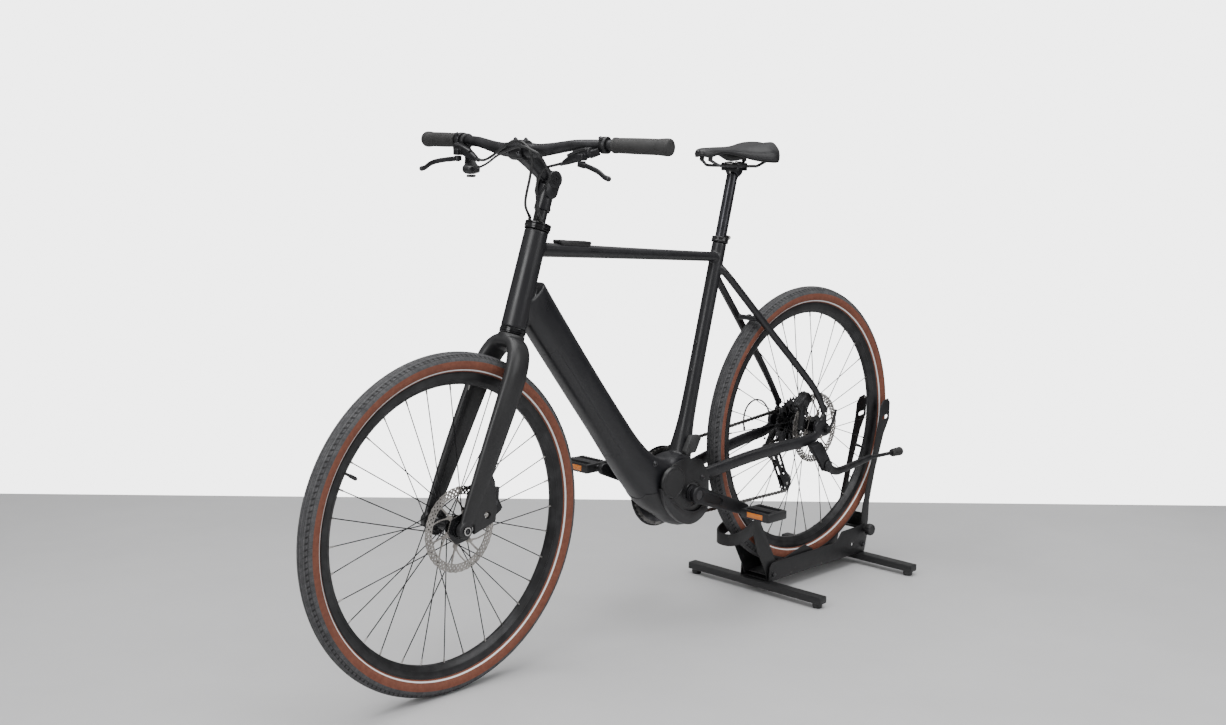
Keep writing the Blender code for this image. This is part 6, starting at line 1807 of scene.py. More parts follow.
def chain_runs():
    """The chain's pitch line as a list of runs: arcs round each wheel and the straights between."""
    circles = [((CRANK_AXIS.x, CRANK_AXIS.z), pitch_radius(CHAINRING_TEETH), 1),
               ((TENSION_PULLEY.x, TENSION_PULLEY.z), pitch_radius(PULLEY_TEETH), 1),
               ((GUIDE_PULLEY.x, GUIDE_PULLEY.z), pitch_radius(PULLEY_TEETH), -1),
               ((REAR_AXLE.x, REAR_AXLE.z), pitch_radius(COG_TEETH[ENGAGED_COG]), 1)]
    headings = []
    for i, (centre, radius, way) in enumerate(circles):
        after, next_radius, next_way = circles[(i + 1) % len(circles)]
        dx, dz = after[0] - centre[0], after[1] - centre[1]
        headings.append(math.atan2(dz, dx)
                        + math.asin((way * radius - next_way * next_radius) / math.hypot(dx, dz)))
    points = []
    for i, (centre, radius, way) in enumerate(circles):
        start = headings[i - 1]
        turn = (headings[i] - start) * way % (2 * math.pi)
        count = max(6, round(turn * radius / 0.0010))
        for k in range(count + 1):
            heading = start + way * turn * k / count
            points.append(Vector((centre[0] + way * radius * math.sin(heading),
                                  centre[1] - way * radius * math.cos(heading))))
    return points + [points[0]]


def chain_pins():
    """The places of the chain's pins, an even number of them spaced along the pitch line."""
    line = chain_runs()
    lengths = [(b - a).length for a, b in zip(line, line[1:])]
    count = 2 * round(sum(lengths) / CHAIN_PITCH / 2)
    pitch = sum(lengths) / count
    pins, travelled, wanted = [], 0.0, 0.0
    for (a, b), length in zip(zip(line, line[1:]), lengths):
        while wanted <= travelled + length and len(pins) < count:
            pins.append(a.lerp(b, (wanted - travelled) / length) if length else a)
            wanted += pitch
        travelled += length
    return pins


def waisted(first, second, radius, waist, count=8):
    """The outline of a chain plate: round at both pins and pulled in between them."""
    along = (second - first).normalized()
    side = Vector((-along.y, along.x))
    points = []
    for centre, facing in ((second, 1), (first, -1)):
        for k in range(count + 1):
            turn = math.pi * (k / count - 0.5)
            points.append(centre + (along * math.cos(turn) + side * math.sin(turn)) * radius * facing)
        middle = (first + second) / 2 + side * waist * facing
        points.append(middle)
    return [(p.x, p.y) for p in points]


def chain_shown():
    """Every link on its own: inner and outer plates in turn, with rollers and pin heads."""
    pins = chain_pins()
    vertices, faces = [], []

    def add_prism(outline, low, high):
        start, count = len(vertices), len(outline)
        for y in (low, high):
            vertices.extend(Vector((x, CHAIN_Y + y, z)) for x, z in outline)
        faces.append(tuple(start + i for i in range(count)))
        faces.append(tuple(start + count + i for i in reversed(range(count))))
        for i in range(count):
            k = (i + 1) % count
            faces.append((start + k, start + i, start + count + i, start + count + k))
    for i, pin in enumerate(pins):
        after = pins[(i + 1) % len(pins)]
        outer = i % 2 == 0
        outline = waisted(pin, after, 0.0041 if outer else 0.0043, 0.0027 if outer else 0.0031)
        near, far = (0.0020, 0.0028) if outer else (0.00125, 0.0019)
        add_prism(outline, near, far)
        add_prism(outline, -far, -near)
        add_prism([(p[0], p[1]) for p in circle(pin, 0.0036, 12)], -0.0012, 0.0012)
        add_prism([(p[0], p[1]) for p in circle(pin, 0.0017, 10)], -0.0032, 0.0032)
    return solid(vertices, faces)


def pulley_shown(centre, teeth, radius):
    """A resin jockey wheel: pointed teeth, five windows and a bearing shield in its hub."""
    spot = (centre.x, centre.z)
    outline = gear_outline(spot, teeth, radius, radius - 0.0046)
    holes = [circle(spot, 0.0058, 24)]
    for k in range(5):
        turn = 2 * math.pi * k / 5
        reach = (0.0070 + radius - 0.0046) / 2 + 0.0002
        holes.append(circle((spot[0] + reach * math.cos(turn), spot[1] + reach * math.sin(turn)),
                            (radius - 0.0135) * 0.36, 14))
    parts = [pierced(outline, holes, centre.y - 0.0011, centre.y + 0.0011)]
    hub = [(0.0032, -0.0032), (0.0046, -0.0032), (0.0048, -0.0026), (0.0062, -0.0026), (0.0070, -0.0018),
           (0.0070, 0.0018), (0.0062, 0.0026), (0.0048, 0.0026), (0.0046, 0.0032), (0.0032, 0.0032)]
    parts.append(turned(hub, centre, ACROSS, 32))
    return merge(parts)


def cage_plates():
    """The two pressed plates of the derailleur's cage, pierced and joined by the pulley bolts."""
    guide, tension = (GUIDE_PULLEY.x, GUIDE_PULLEY.z), (TENSION_PULLEY.x, TENSION_PULLEY.z)
    heading = Vector((tension[0] - guide[0], tension[1] - guide[1]))
    holes = []
    for first, second, size in ((0.20, 0.40, 0.0050), (0.54, 0.72, 0.0046)):
        a, b = Vector(guide) + heading * first, Vector(guide) + heading * second
        holes.append(capsule(tuple(a), size, tuple(b), size * 0.99, 10))
    parts = []
    for low in (CHAIN_Y - 0.0080, CHAIN_Y + 0.0062):
        parts.append(pierced(capsule(guide, 0.0129, tension, 0.0119, 20), holes, low, low + 0.0018, "XZ",
                             0.0003))
    return merge(parts)


def cage_bolts():
    parts = []
    for place in (GUIDE_PULLEY, TENSION_PULLEY):
        parts.append(rod(place - ACROSS * 0.0085, place + ACROSS * 0.0070, 0.0027, 20))
        parts.append(bolt(place - ACROSS * 0.0080, -ACROSS, 0.0044, 0.0016, 0.0016))
    parts.append(bolt(TENSION_PULLEY + ACROSS * 0.0080, ACROSS, 0.0044, 0.0016, 0.0016))
    return merge(parts)


def derailleur_body():
    """Knuckles, the two-plate parallelogram and the hanger, rounded like forgings."""
    low = CHAIN_Y + 0.0084
    outer = turned([(0, 0), (0.0120, 0), (0.0125, 0.0006), (0.0125, 0.0150), (0.0115, 0.0168),
                    (0.0112, 0.0225), (0.0104, 0.0238),
                    (0, 0.0238)], (GUIDE_PULLEY.x, low, GUIDE_PULLEY.z), ACROSS, 48)
    start = Vector((GUIDE_PULLEY.x, low + 0.0130, GUIDE_PULLEY.z + 0.004))
    end = Vector((1.176, 0.0890, 0.372))
    plates = []
    for rise, half in ((0.0074, 0.0032), (-0.0068, 0.0036)):
        plates.append(sweep([start + UP * rise, (start + end) / 2 + UP * (rise + 0.002), end + UP * rise],
                            [half, half * 1.1, half],
                            [0.0070, 0.0066, 0.0068], UP, 20, 3.4, 4, 0.0010))
    skin = beam(start + ACROSS * 0.0045, end + ACROSS * 0.0030, 0.0075, 0.0018, UP, 0.0010)
    mount = turned([(0, 0.0832), (0.0112, 0.0832), (0.0119, 0.0840), (0.0119, 0.0960), (0.0108, 0.0985),
                    (0.0080, 0.0992), (0, 0.0992)],
                   (HANGER_BOLT.x, 0, HANGER_BOLT.z), ACROSS, 48)
    return merge([fused(plates + [skin], 0.0009, 1), outer, mount])


def derailleur_details():
    parts = [bolt((HANGER_BOLT.x, 0.0990, HANGER_BOLT.z), ACROSS, 0.0062, 0.0010, 0.0030),
             bolt((GUIDE_PULLEY.x, CHAIN_Y + 0.0320, GUIDE_PULLEY.z), ACROSS, 0.0056, 0.0012, 0.0026),
             bolt((1.1480, 0.0962, 0.3560), ACROSS, 0.0034, 0.0022, 0.0016),
             rod((1.1640, 0.0950, 0.4040), (1.1655, 0.0950, 0.3880), 0.0042, 12, 0.0006)]
    for x in (1.1880, 1.1945):
        parts.append(rod((x, 0.0900, 0.3560), (x + 0.001, 0.0900, 0.3500), 0.0020, 12, 0.0004))
    hanger = capsule((HANGER_BOLT.x, HANGER_BOLT.z), 0.0110, (REAR_AXLE.x, REAR_AXLE.z + 0.002), 0.0130, 12)
    parts.append(pierced(hanger, [circle((REAR_AXLE.x, REAR_AXLE.z), 0.0066, 24)], 0.0797, 0.0830, "XZ",
                         0.0005))
    return merge(parts)


def caliper_shown(axle, turn_deg, mount):
    """A two-piston caliper: ribbed halves round the rotor slot, banjo, bolts and pad pin."""
    turn = math.radians(turn_deg)
    out = Vector((math.cos(turn), 0, math.sin(turn)))
    along = Vector((-out.z, 0, out.x))
    centre = axle + out * 0.0920 + ACROSS * (ROTOR_Y - 0.001)
    halves = []
    for side in (-1, 1):
        middle = centre + ACROSS * side * 0.0076
        halves.append(sweep([middle - along * 0.0262, middle - along * 0.014, middle + along * 0.014,
                             middle + along * 0.0262],
                            [0.0110, 0.0148, 0.0148, 0.0110], [0.0048, 0.0052, 0.0052, 0.0048], out, 24,
                            4.0, 3, 0.0014))
        halves.append(rod(centre + ACROSS * side * 0.0040,
                          centre + ACROSS * side * (0.0128 if side < 0 else 0.0160), 0.0113, 40, 0.0012))
    bridge = beam(centre + out * 0.0085 - along * 0.024, centre + out * 0.0085 + along * 0.024, 0.0060,
                  0.0118, out, 0.0012)
    arm = beam(centre + out * 0.008 - ACROSS * 0.0075, Vector(mount), 0.0068, 0.0043, along, 0.0014)
    body = merge(halves + [bridge, arm])
    return body, caliper_details(centre, out, along, Vector(mount))


def caliper_details(centre, out, along, mount):
    parts = [bolt(centre - ACROSS * 0.0127, -ACROSS, 0.0084, 0.0009, 0.0040)]
    for reach in (-0.0200, 0.0200):
        parts.append(bolt(centre + along * reach + out * 0.0135, out, 0.0044, 0.0034, 0.0021))
    towards = (mount - centre).normalized()
    parts.append(rod(centre + along * 0.0262 + out * 0.006 - ACROSS * 0.004,
                     centre + along * 0.0320 + out * 0.008 - ACROSS * 0.004,
                     0.0042, 6, 0.0005))
    parts.append(bolt(mount - towards * 0.004 - ACROSS * 0.0040, -ACROSS, 0.0042, 0.0028, 0.0020))
    return merge(parts)


def rear_axle_shown():
    """The through axle with its folded quick-release lever on the left."""
    axle = turned([(0, -0.0897), (0.0062, -0.0900), (0.0084, -0.0880), (0.0085, -0.0797), (0.0060, -0.0797),
                   (0.0060, 0.0806), (0.0054, 0.0810), (0, 0.0810)], REAR_AXLE, ACROSS, 40)
    lever = sweep([(REAR_AXLE.x + 0.004, -0.0865, REAR_AXLE.z + 0.003),
                   (REAR_AXLE.x + 0.014, -0.0880, REAR_AXLE.z + 0.018),
                   (REAR_AXLE.x + 0.022, -0.0886, REAR_AXLE.z + 0.034),
                   (REAR_AXLE.x + 0.026, -0.0890, REAR_AXLE.z + 0.050)],
                  [0.0046, 0.0036, 0.0044, 0.0040], [0.0022, 0.0020, 0.0023, 0.0018], (1, 0, -0.6), 20, 3.0,
                  5, 0.0010)
    return merge([axle, lever])


def front_axle_shown():
    profile = [(0, -0.0688), (0.0032, -0.0688), (0.0034, -0.0666), (0.0060, -0.0666), (0.0062, -0.0690),
               (0.0080, -0.0690), (0.0085, -0.0684), (0.0085, -0.0659), (0.0060, -0.0659), (0.0060, 0.0659),
               (0.0078, 0.0659), (0.0080, 0.0664), (0.0080, 0.0680), (0.0075, 0.0685), (0.0040, 0.0685),
               (0.0038, 0.0668), (0, 0.0668)]
    return turned(profile, FRONT_AXLE, ACROSS, 40)


def front_axle_ring():
    """The bright machined rim round the axle's left end."""
    profile = [(0.0066, -0.0692), (0.0078, -0.0694), (0.0087, -0.0692), (0.0089, -0.0686),
               (0.0087, -0.0680), (0.0066, -0.0680)]
    return turned(profile, FRONT_AXLE, ACROSS, 40)


def build_drive():
    show("motor_casting", motor_casting(), "bicycle", "black_alloy", "drive_unit")
    show("motor_cover", motor_cover(), "bicycle", "cover_plastic", "drive_cover")
    show("belly_side", belly_side(), "bicycle", "black_plastic", crease=45)
    show("motor_cover_disc", badge_disc(), "bicycle", "cover_plastic")
    show("motor_cover_rings", cover_rings(), "bicycle", "gloss_plastic")
    show("motor_cover_bolts", cover_bolts(), "bicycle", "dark_steel")
    for side, word in ((-1, "left"), (1, "right")):
        show(word + "_crank_arm", crank_arm(side), "cranks", "black_alloy", word + "_crank", crease=40)
        show(word + "_pedal_body", pedal_body(side), word + "_pedal", "black_plastic", word + "_pedal")
        show(word + "_pedal_axle", pedal_axles(side), word + "_pedal", "dark_steel")
        show(word + "_pedal_reflectors", pedal_reflectors(side), word + "_pedal", "reflector")
    show("crank_spindle", crank_spindle(), "cranks", "dark_steel")
    show("chainring_shown", chainring_shown(), "cranks", "dark_steel", "chainring")
    show("chain_guard_ring", chain_guard(), "cranks", "black_alloy")
    show("chainring_bolts", ring_bolts(), "cranks", "steel")
    show("cassette_cogs", cassette_shown(), "cassette", "cog_steel", "cassette")
    show("chain_links", chain_shown(), "bicycle", "chain_steel", "chain")
    show("guide_pulley_wheel", pulley_shown(GUIDE_PULLEY, 11, 0.0172), "guide_pulley", "black_plastic",
         "guide_pulley")
    show("tension_pulley_wheel", pulley_shown(TENSION_PULLEY, 13, 0.0234), "tension_pulley",
         "black_plastic", "tension_pulley")
    show("cage_plates", cage_plates(), "bicycle", "black_alloy", "derailleur_cage")
    show("cage_bolts", cage_bolts(), "bicycle", "steel")
    show("derailleur_body", derailleur_body(), "bicycle", "black_alloy", "derailleur")
    show("derailleur_details", derailleur_details(), "bicycle", "dark_steel")
    for word, body, axle, turn, mount in (("front", "steering", FRONT_AXLE, 28, (0.0900, -0.0520, 0.4330)),
                                          ("rear", "bicycle", REAR_AXLE, 128, (1.0950, -0.0580, 0.4120))):
        casting, details = caliper_shown(axle, turn, mount)
        show(word + "_caliper_body", casting, body, "black_alloy", word + "_caliper")
        show(word + "_caliper_details", details, body, "dark_steel")
    show("rear_axle_lever", rear_axle_shown(), "bicycle", "black_alloy", "rear_axle")
    show("front_axle_shown", front_axle_shown(), "steering", "dark_steel", "front_axle")
    show("front_axle_ring", front_axle_ring(), "steering", "steel")


# ---- saddle, seatpost, kickstand and floor stand ----

CRADLE_Y = 0.0380
CRADLE_PIVOT = (1.0180, 0.0480)
SADDLE_STATIONS = [(0.7560, 0.0080, 1.1070, 1.0990), (0.7620, 0.0160, 1.1120, 1.0965),
                   (0.7780, 0.0215, 1.1145, 1.0955), (0.8000, 0.0236, 1.1150, 1.1010),
                   (0.8150, 0.0245, 1.1155, 1.1040), (0.8350, 0.0275, 1.1158, 1.1042),
                   (0.8550, 0.0315, 1.1160, 1.1010), (0.8720, 0.0365, 1.1166, 1.0975),
                   (0.8900, 0.0430, 1.1175, 1.0935), (0.9070, 0.0510, 1.1190, 1.0905),
                   (0.9250, 0.0600, 1.1210, 1.0890), (0.9500, 0.0700, 1.1245, 1.0880),
                   (0.9700, 0.0690, 1.1265, 1.0885), (0.9880, 0.0560, 1.1265, 1.0915),
                   (1.0000, 0.0360, 1.1245, 1.0980), (1.0050, 0.0200, 1.1215, 1.1040)]


def saddle_rows(steps=4):
    """The saddle's stations with smooth ones added between them."""
    places = curve_through([(x, w, 0) for x, w, _, _ in SADDLE_STATIONS], steps)
    heights = curve_through([(t, b, 0) for _, _, t, b in SADDLE_STATIONS], steps)
    return [(p.x, p.y, h.x, h.y) for p, h in zip(places, heights)]


def saddle_height(share, top, bottom, x):
    """Height across the padded top: a soft channel in the middle, wings that lift, then the skirt."""
    wide = abs(share)
    rear = min(max((x - 0.86) / 0.09, 0), 1)
    crown = (top - bottom) / 2 * (1 - wide ** 3.4) ** 0.55
    channel = -0.0078 * math.exp(-(wide / 0.22) ** 2) * (0.35 + 0.65 * rear)
    lift = 0.0034 * rear * math.exp(-((wide - 0.62) / 0.24) ** 2)
    return (top + bottom) / 2 + crown + channel + lift


def saddle_cover():
    """The padded top with its skirt: a crowned skin that is open below, over the shell."""
    rings = []
    count = 36
    for x, half_width, top, bottom in saddle_rows():
        ring = []
        half_width = max(half_width, 0.004)
        droop = 0.0105 * half_width / 0.07
        for i in range(count + 1):
            share = -1 + 2 * i / count
            share = math.copysign(abs(share) ** 0.72, share) if share else 0.0
            z = saddle_height(share, top, bottom, x) - droop * share * share
            ring.append(Vector((x, share * half_width * 0.985, z)))
        skirt = bottom + 0.0016
        for share in (0.985, 0.93, 0.50, 0.0, -0.50, -0.93, -0.985):
            z = skirt - droop * share * share + 0.0012 * (1 - abs(share))
            ring.append(Vector((x, share * half_width, z)))
        rings.append(ring)
    return subdivided(skin_rings(rings), 1)


def saddle_shell():
    """The hard shell below the cover, whose edge shows as a thin lip."""
    rings = []
    for x, half_width, _, bottom in saddle_rows(2):
        half_width = max(half_width, 0.004)
        droop = 0.0105 * half_width / 0.07
        ring = []
        for share in (-0.96, -0.80, -0.40, 0, 0.40, 0.80, 0.96):
            ring.append(Vector((x, share * half_width, bottom + 0.0012 - droop * share * share)))
        for share in (0.94, 0.78, 0.38, 0, -0.38, -0.78, -0.94):
            ring.append(Vector((x, share * half_width, bottom - 0.0012 - droop * share * share)))
        rings.append(ring)
    parts = [skin_rings(rings)]
    for side in (-1, 1):
        parts.append(rod((0.786, side * 0.0135, 1.0985), (0.784, side * 0.0130, 1.0850), 0.0055, 20,
                         0.0010))
        parts.append(rod((0.960, side * 0.0325, 1.0900), (0.962, side * 0.0330, 1.0785), 0.0060, 20,
                         0.0010))
    return merge(parts)


def saddle_piping():
    """The folded seam that runs round the saddle between its top and its skirt."""
    rows = saddle_rows()
    edge = []
    for side in (-1, 1):
        line = []
        for x, half_width, top, bottom in rows:
            droop = 0.0105 * max(half_width, 0.004) / 0.07
            line.append(Vector((x, side * (half_width * 0.972 + 0.0002),
                                (top * 0.38 + bottom * 0.62) - droop * 0.95)))
        edge.append(line)
    path = list(reversed(edge[0])) + edge[1]
    return sweep(path, 0.00075, 0.00060, UP, 8)


def seat_rails():
    """Both rails, bent down from the nose socket to the clamp and up again behind it."""
    parts = []
    for side in (-1, 1):
        route = [(0.7800, 0.0120, 1.0870), (0.7930, 0.0150, 1.0810), (0.8080, 0.0190, 1.0735),
                 (0.8300, 0.0205, 1.0715), (0.8800, 0.0212, 1.0700), (0.9300, 0.0220, 1.0690),
                 (0.9420, 0.0240, 1.0695), (0.9620, 0.0330, 1.0800)]
        parts.append(sweep([(x, y * side, z) for x, y, z in route], 0.0036, 0.0036, UP, 20, 2.0, 6))
    return merge(parts)


def rail_clamp():
    """Lower cradle and upper yoke of the clamp, rounded over the post's head."""
    middle = SADDLE_CLAMP
    lower = box((middle.x - 0.0188, -0.0258, middle.z - 0.0012),
                (middle.x + 0.0188, 0.0258, middle.z + 0.0085), 0.0022)
    cut(lower, rod(middle - ACROSS * 0.04, middle + ACROSS * 0.04, 0.0134, 48, 0))
    upper = box((middle.x - 0.0185, -0.0262, middle.z + 0.0098),
                (middle.x + 0.0185, 0.0262, middle.z + 0.0178), 0.0024)
    return merge([lower, upper])


def rail_clamp_bolts():
    parts = []
    for way in (-1, 1):
        place = SADDLE_CLAMP + Vector((way * 0.0150, 0, 0))
        parts.append(rod(place + UP * -0.0120, place + UP * 0.0180, 0.0025, 16))
        parts.append(bolt(place - UP * 0.0120, -UP, 0.0046, 0.0040, 0.0022))
        parts.append(rod(place + UP * 0.0168 - ACROSS * 0.0090, place + UP * 0.0168 + ACROSS * 0.0090,
                         0.0040, 20))
    for side in (-1, 1):
        parts.append(rod(SADDLE_CLAMP + Vector((-0.0105, side * 0.0150, 0.0172)),
                         SADDLE_CLAMP + Vector((-0.0105, side * 0.0150, 0.0196)),
                         0.0042, 6, 0.0005))
    return merge(parts)


def seatpost_shown():
    """The polished post: round tube, a waist below the head, and the round head with its web."""
    bottom = seat_point(0.8900) - SEAT_DIRECTION * 0.1995
    top = seat_point(1.0200)
    parts = [sweep([bottom, top, seat_point(1.0380), SADDLE_CLAMP - UP * 0.0080],
                   [0.0135, 0.0135, 0.0124, 0.0118],
                   [0.0135, 0.0135, 0.0126, 0.0142], (1, 0, 0), 48, 2.0, 4)]
    head = turned([(0, -0.0170), (0.0118, -0.0170), (0.0129, -0.0158), (0.0129, 0.0158), (0.0118, 0.0170),
                   (0, 0.0170)],
                  SADDLE_CLAMP, ACROSS, 48)
    parts.append(head)
    return merge(parts)


def kick_bracket():
    """The forged bracket: a softened plate with a round hollow for the leg's boss."""
    outline = [(1.0952, 0.3718), (1.1368, 0.3786), (1.1786, 0.3230), (1.1698, 0.3004), (1.1518, 0.2992)]
    bracket = plate(outline, -0.0978, -0.0852, "XZ", 0.0022)
    cut(bracket, plate(circle((KICKSTAND_PIVOT.x, KICKSTAND_PIVOT.z), 0.0185, 48), -0.0995, -0.0895))
    foot = plate([(1.098, 0.372), (1.137, 0.380), (1.149, 0.362), (1.112, 0.350)], -0.0862, -0.0808, "XZ",
                 0.0010)
    return merge([bracket, foot])


def kick_bolts():
    parts = []
    for x, z in ((1.1140, 0.3640), (1.1330, 0.3540)):
        parts.append(bolt((x, -0.0850, z), ACROSS, 0.0050, 0.0030, 0.0025))
    parts.append(bolt((KICKSTAND_PIVOT.x, -0.1014, KICKSTAND_PIVOT.z), -ACROSS, 0.0050, 0.0006, 0.0026))
    return merge(parts)


def kick_leg():
    """Boss and cranked arm as one smooth forging, with the round rod pressed into its end."""
    boss = turned([(0, -0.1018), (0.0138, -0.1018), (0.0149, -0.1006), (0.0149, -0.0900), (0, -0.0900)],
                  (KICKSTAND_PIVOT.x, 0, KICKSTAND_PIVOT.z), ACROSS, 48)
    arm = sweep([(1.1720, -0.0955, 0.3060), (1.1850, -0.0960, 0.2990), (1.2000, -0.0965, 0.2935),
                 (1.2200, -0.0970, 0.2930), (1.2700, -0.0980, 0.2985), (1.3450, -0.0990, 0.3080)],
                [0.0112, 0.0107, 0.0102, 0.0096, 0.0090, 0.0080],
                [0.0057, 0.0057, 0.0060, 0.0062, 0.0066, 0.0060],
                UP, 32, 2.8, 5, 0.0012)
    bar = rod((1.3380, -0.0990, 0.3075), (1.4450, -0.1000, 0.3045), 0.0050, 28)
    return merge([fused([boss, arm], 0.0012, 2), bar])


def kick_foot():
    """The rubber foot, ringed where it grips the rod and worn flat below."""
    start, end = Vector((1.4400, -0.1000, 0.3046)), Vector((1.4800, -0.1003, 0.3040))
    length = (end - start).length
    profile = [(0, 0), (0.0076, 0), (0.0090, 0.0006), (0.0098, 0.0020), (0.0108, 0.0060), (0.0108, 0.0084),
               (0.0102, 0.0090), (0.0102, 0.0112), (0.0108, 0.0118), (0.0112, 0.0200),
               (0.0114, length - 0.0130), (0.0119, length - 0.0050), (0.0117, length - 0.0018),
               (0.0104, length), (0, length)]
    return turned(profile, start, end - start, 40)


def stand_tube(x):
    """One cross tube: rounded rectangular tube with the wall showing at its open ends."""
    half, long, wall = 0.0150, 0.2130, 0.0018

    def section(grow, corner):
        points = []
        for cx, cz, start in ((1, 1, 0), (-1, 1, 90), (-1, -1, 180), (1, -1, 270)):
            for k in range(5):
                turn = math.radians(start + 22.5 * k)
                points.append((x + cx * (half + grow - corner) + corner * math.cos(turn),
                               0.0210 + cz * (0.0089 + grow - corner) + corner * math.sin(turn)))
        return points
    shell = plate(section(0, 0.0032), -long, long)
    return cut(shell, plate(section(-wall, 0.0016), -0.25, 0.25))


def tube_height_feet(x):
    parts = []
    for y in (-0.197, 0.197):
        profile = [(0, 0), (0.0105, 0), (0.0114, 0.0010), (0.0118, 0.0040), (0.0121, 0.0046),
                   (0.0125, 0.0122), (0, 0.0122)]
        parts.append(turned(profile, (x, y, 0), UP, 40))
    return merge(parts)


def tube_caps(x):
    """The plastic end caps pushed into a cross tube."""
    parts = []
    for side in (-1, 1):
        end = side * 0.2130
        low, high = sorted((end - side * 0.012, end + side * 0.0016))
        parts.append(box((x - 0.0128, low, 0.0146), (x + 0.0128, high, 0.0284), 0.0012))
    return merge(parts)


def stand_plates():
    """The folded channel's side plates and floor, with softened sheet edges and a rolled lip."""
    side = [(1.002, 0.0304), (1.408, 0.0304), (1.419, 0.074), (1.420, 0.096), (1.406, 0.109),
            (1.380, 0.105), (1.304, 0.104), (1.281, 0.079), (1.014, 0.078), (1.004, 0.068)]
    parts = []
    for low, high in ((-0.0470, -0.0445), (0.0445, 0.0470)):
        sheet = plate(side, low, high, "XZ", 0.0008)
        for x, z, radius in ((YOKE_PIVOT.x, YOKE_PIVOT.z, 0.0047), (1.352, 0.060, 0.0045)):
            cut(sheet, plate(circle((x, z), radius, 24), low - 0.004, high + 0.004))
        parts.append(sheet)
    parts.append(box((1.010, -0.0450, 0.0304), (1.400, 0.0450, 0.0330), 0.0008))
    return merge(parts)


def stand_bolts():
    parts = []
    for x, z in ((CRADLE_PIVOT[0], CRADLE_PIVOT[1]), (1.400, 0.052)):
        for side in (-1, 1):
            parts.append(turned([(0, 0), (0.0088, 0), (0.0088, 0.0010), (0.0082, 0.0014), (0, 0.0014)],
                                (x, side * 0.0470, z), ACROSS * side, 32))
            parts.append(rod((x, side * 0.0482, z), (x, side * 0.0524, z), 0.0064, 6, 0.0006))
    return merge(parts)


def cradle_shown():
    """The cradle: two pressed side plates, a tray and the rolled hoop, with every edge eased."""
    side = [(1.004, 0.037), (1.190, 0.037), (1.192, 0.078), (1.157, 0.0965), (1.075, 0.077), (1.038, 0.077),
            (0.977, 0.184), (0.974, 0.197), (0.940, 0.199), (0.940, 0.163), (0.950, 0.157), (0.962, 0.120),
            (0.998, 0.056)]
    parts = [plate(side, -CRADLE_Y, -CRADLE_Y + 0.003, "XZ", 0.0008),
             plate(side, CRADLE_Y - 0.003, CRADLE_Y, "XZ", 0.0008)]
    outer, inner = [(0.9460, -0.0385)], [(0.9460, 0.0349)]
    for k in range(25):
        turn = math.radians(-90 - 180 * k / 24)
        c, s = math.cos(turn), math.sin(turn)
        outer.append((0.9135 + 0.0385 * math.copysign(abs(c) ** 0.82, c),
                      0.0385 * math.copysign(abs(s) ** 0.82, s)))
        turn = math.radians(90 + 180 * k / 24)
        c, s = math.cos(turn), math.sin(turn)
        inner.append((0.9135 + 0.0350 * math.copysign(abs(c) ** 0.82, c),
                      0.0349 * math.copysign(abs(s) ** 0.82, s)))
    outer.append((0.9460, 0.0385))
    inner.append((0.9460, -0.0349))
    hoop = plate(outer + inner, 0.1605, 0.1985, "XY", 0.0009)
    for vertex in hoop.data.vertices:
        ahead = min(max((0.946 - vertex.co.x) / 0.071, 0), 1)
        vertex.co.z = 0.1795 + (vertex.co.z - 0.1795) * (1 - 0.25 * ahead) - 0.024 * ahead
    parts.append(hoop)
    parts.append(box((1.012, -CRADLE_Y + 0.001, 0.0415), (1.186, CRADLE_Y - 0.001, 0.0444), 0.0008))
    for side_sign in (-1, 1):
        parts.append(rod((CRADLE_PIVOT[0], side_sign * (CRADLE_Y - 0.001), CRADLE_PIVOT[1]),
                         (CRADLE_PIVOT[0], side_sign * 0.0438, CRADLE_PIVOT[1]), 0.0075, 32))
    return merge(parts)


def yoke_shown():
    """The rear upright's two slotted arms and the folded web behind the tyre."""
    arm = [(1.396, 0.084), (1.426, 0.084), (1.431, 0.110), (1.433, 0.160), (1.455, 0.247), (1.489, 0.341),
           (1.512, 0.379), (1.513, 0.424), (1.504, 0.436), (1.482, 0.432), (1.470, 0.415), (1.466, 0.381),
           (1.436, 0.2655), (1.4046, 0.153)]
    slot = capsule((1.484, 0.3845), 0.0055, (1.500, 0.3870), 0.0054, 12)
    parts = []
    for low in (-0.0400, 0.0370):
        sheet = plate(arm, low, low + 0.003, "XZ", 0.0009)
        cut(sheet, plate(slot, low - 0.004, low + 0.007),
            plate(circle((YOKE_PIVOT.x, YOKE_PIVOT.z), 0.0047, 24), low - 0.004, low + 0.007))
        parts.append(sheet)
    parts.append(box((1.4215, -0.0392, 0.0860), (1.4245, 0.0392, 0.1300), 0.0008))
    return merge(parts)


def knob_shown():
    """The clamp knob, fluted like a hand wheel, with a recessed middle."""
    rings = []
    for radius, y, wave in ((0.0100, -0.0700, 0), (0.0112, -0.0712, 0), (0.0140, -0.0715, 0.0006),
                            (0.0152, -0.0700, 0.0011), (0.0156, -0.0680, 0.0013), (0.0156, -0.0575, 0.0013),
                            (0.0148, -0.0560, 0.0009), (0.0105, -0.0545, 0), (0.0090, -0.0535, 0),
                            (0.0090, -0.0476, 0)):
        ring = []
        for j in range(96):
            turn = 2 * math.pi * j / 96
            reach = radius - wave * (0.5 - 0.5 * math.cos(10 * turn))
            ring.append(Vector((YOKE_PIVOT.x + reach * math.cos(turn), y,
                                YOKE_PIVOT.z + reach * math.sin(turn))))
        rings.append(ring)
    return skin_rings(rings)


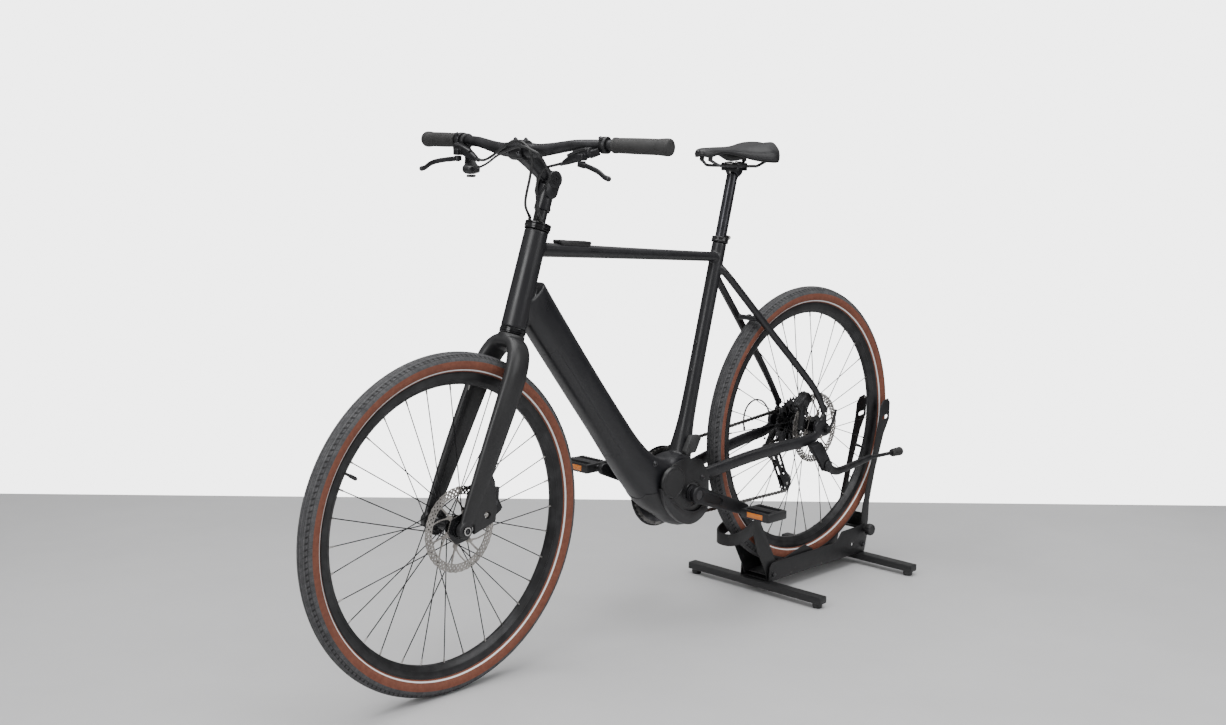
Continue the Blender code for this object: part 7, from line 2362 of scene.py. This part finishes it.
def knob_bolt():
    parts = [rod((YOKE_PIVOT.x, -0.0480, YOKE_PIVOT.z), (YOKE_PIVOT.x, 0.0500, YOKE_PIVOT.z), 0.0041, 24)]
    parts.append(rod((YOKE_PIVOT.x, 0.0478, YOKE_PIVOT.z), (YOKE_PIVOT.x, 0.0528, YOKE_PIVOT.z), 0.0074, 6,
                     0.0006))
    return merge(parts)


def build_seat_and_stand():
    cover = show("saddle_cover", saddle_cover(), "saddle", "saddle_vinyl", "saddle", crease=60)
    show("saddle_shell", saddle_shell(), "saddle", "black_plastic")
    show("saddle_piping", saddle_piping(), "saddle", "black_plastic")
    show("seat_rails", seat_rails(), "saddle", "dark_steel", "saddle_rails")
    show("rail_clamp", rail_clamp(), "saddle", "black_alloy")
    show("rail_clamp_bolts", rail_clamp_bolts(), "saddle", "steel")
    show("seatpost_shown", seatpost_shown(), "seatpost", "post_alloy", "seatpost")
    show("kickstand_casting", kick_bracket(), "bicycle", "black_alloy", "kickstand_bracket")
    show("kickstand_arm", kick_leg(), "kickstand", "black_alloy", "kickstand_leg")
    show("kickstand_foot", kick_foot(), "kickstand", "black_rubber")
    show("kickstand_bolts", kick_bolts(), "kickstand", "dark_steel")
    for x, word in ((1.0040, "front"), (1.3940, "rear")):
        show(word + "_cross_tube", stand_tube(x), "stand", "stand_paint", "stand_" + word + "_bar")
        show(word + "_tube_feet", tube_height_feet(x), "stand", "black_rubber")
        show(word + "_tube_caps", tube_caps(x), "stand", "black_plastic")
    show("stand_channel", stand_plates(), "stand", "stand_paint", "stand_base")
    show("stand_channel_bolts", stand_bolts(), "stand", "dark_steel")
    show("cradle_plates", cradle_shown(), "stand", "stand_paint", "stand_cradle")
    show("yoke_arms", yoke_shown(), "stand_yoke", "stand_paint", "stand_yoke")
    show("clamp_knob", knob_shown(), "stand_knob", "black_plastic", "stand_knob")
    show("clamp_knob_bolt", knob_bolt(), "stand_knob", "dark_steel")


# ---- the CAD node that stays, and the end ----

def finish_battery_pack():
    """The battery inside the down tube is the one CAD node that is shown as it is."""
    mesh = frame["nodes"]["battery_pack"].data
    mesh.materials.clear()
    mesh.materials.append(FINISHES["black_plastic"])


def main():
    stage()
    build_wheels()
    build_frame()
    build_cockpit()
    build_drive()
    build_seat_and_stand()
    finish_battery_pack()


main()
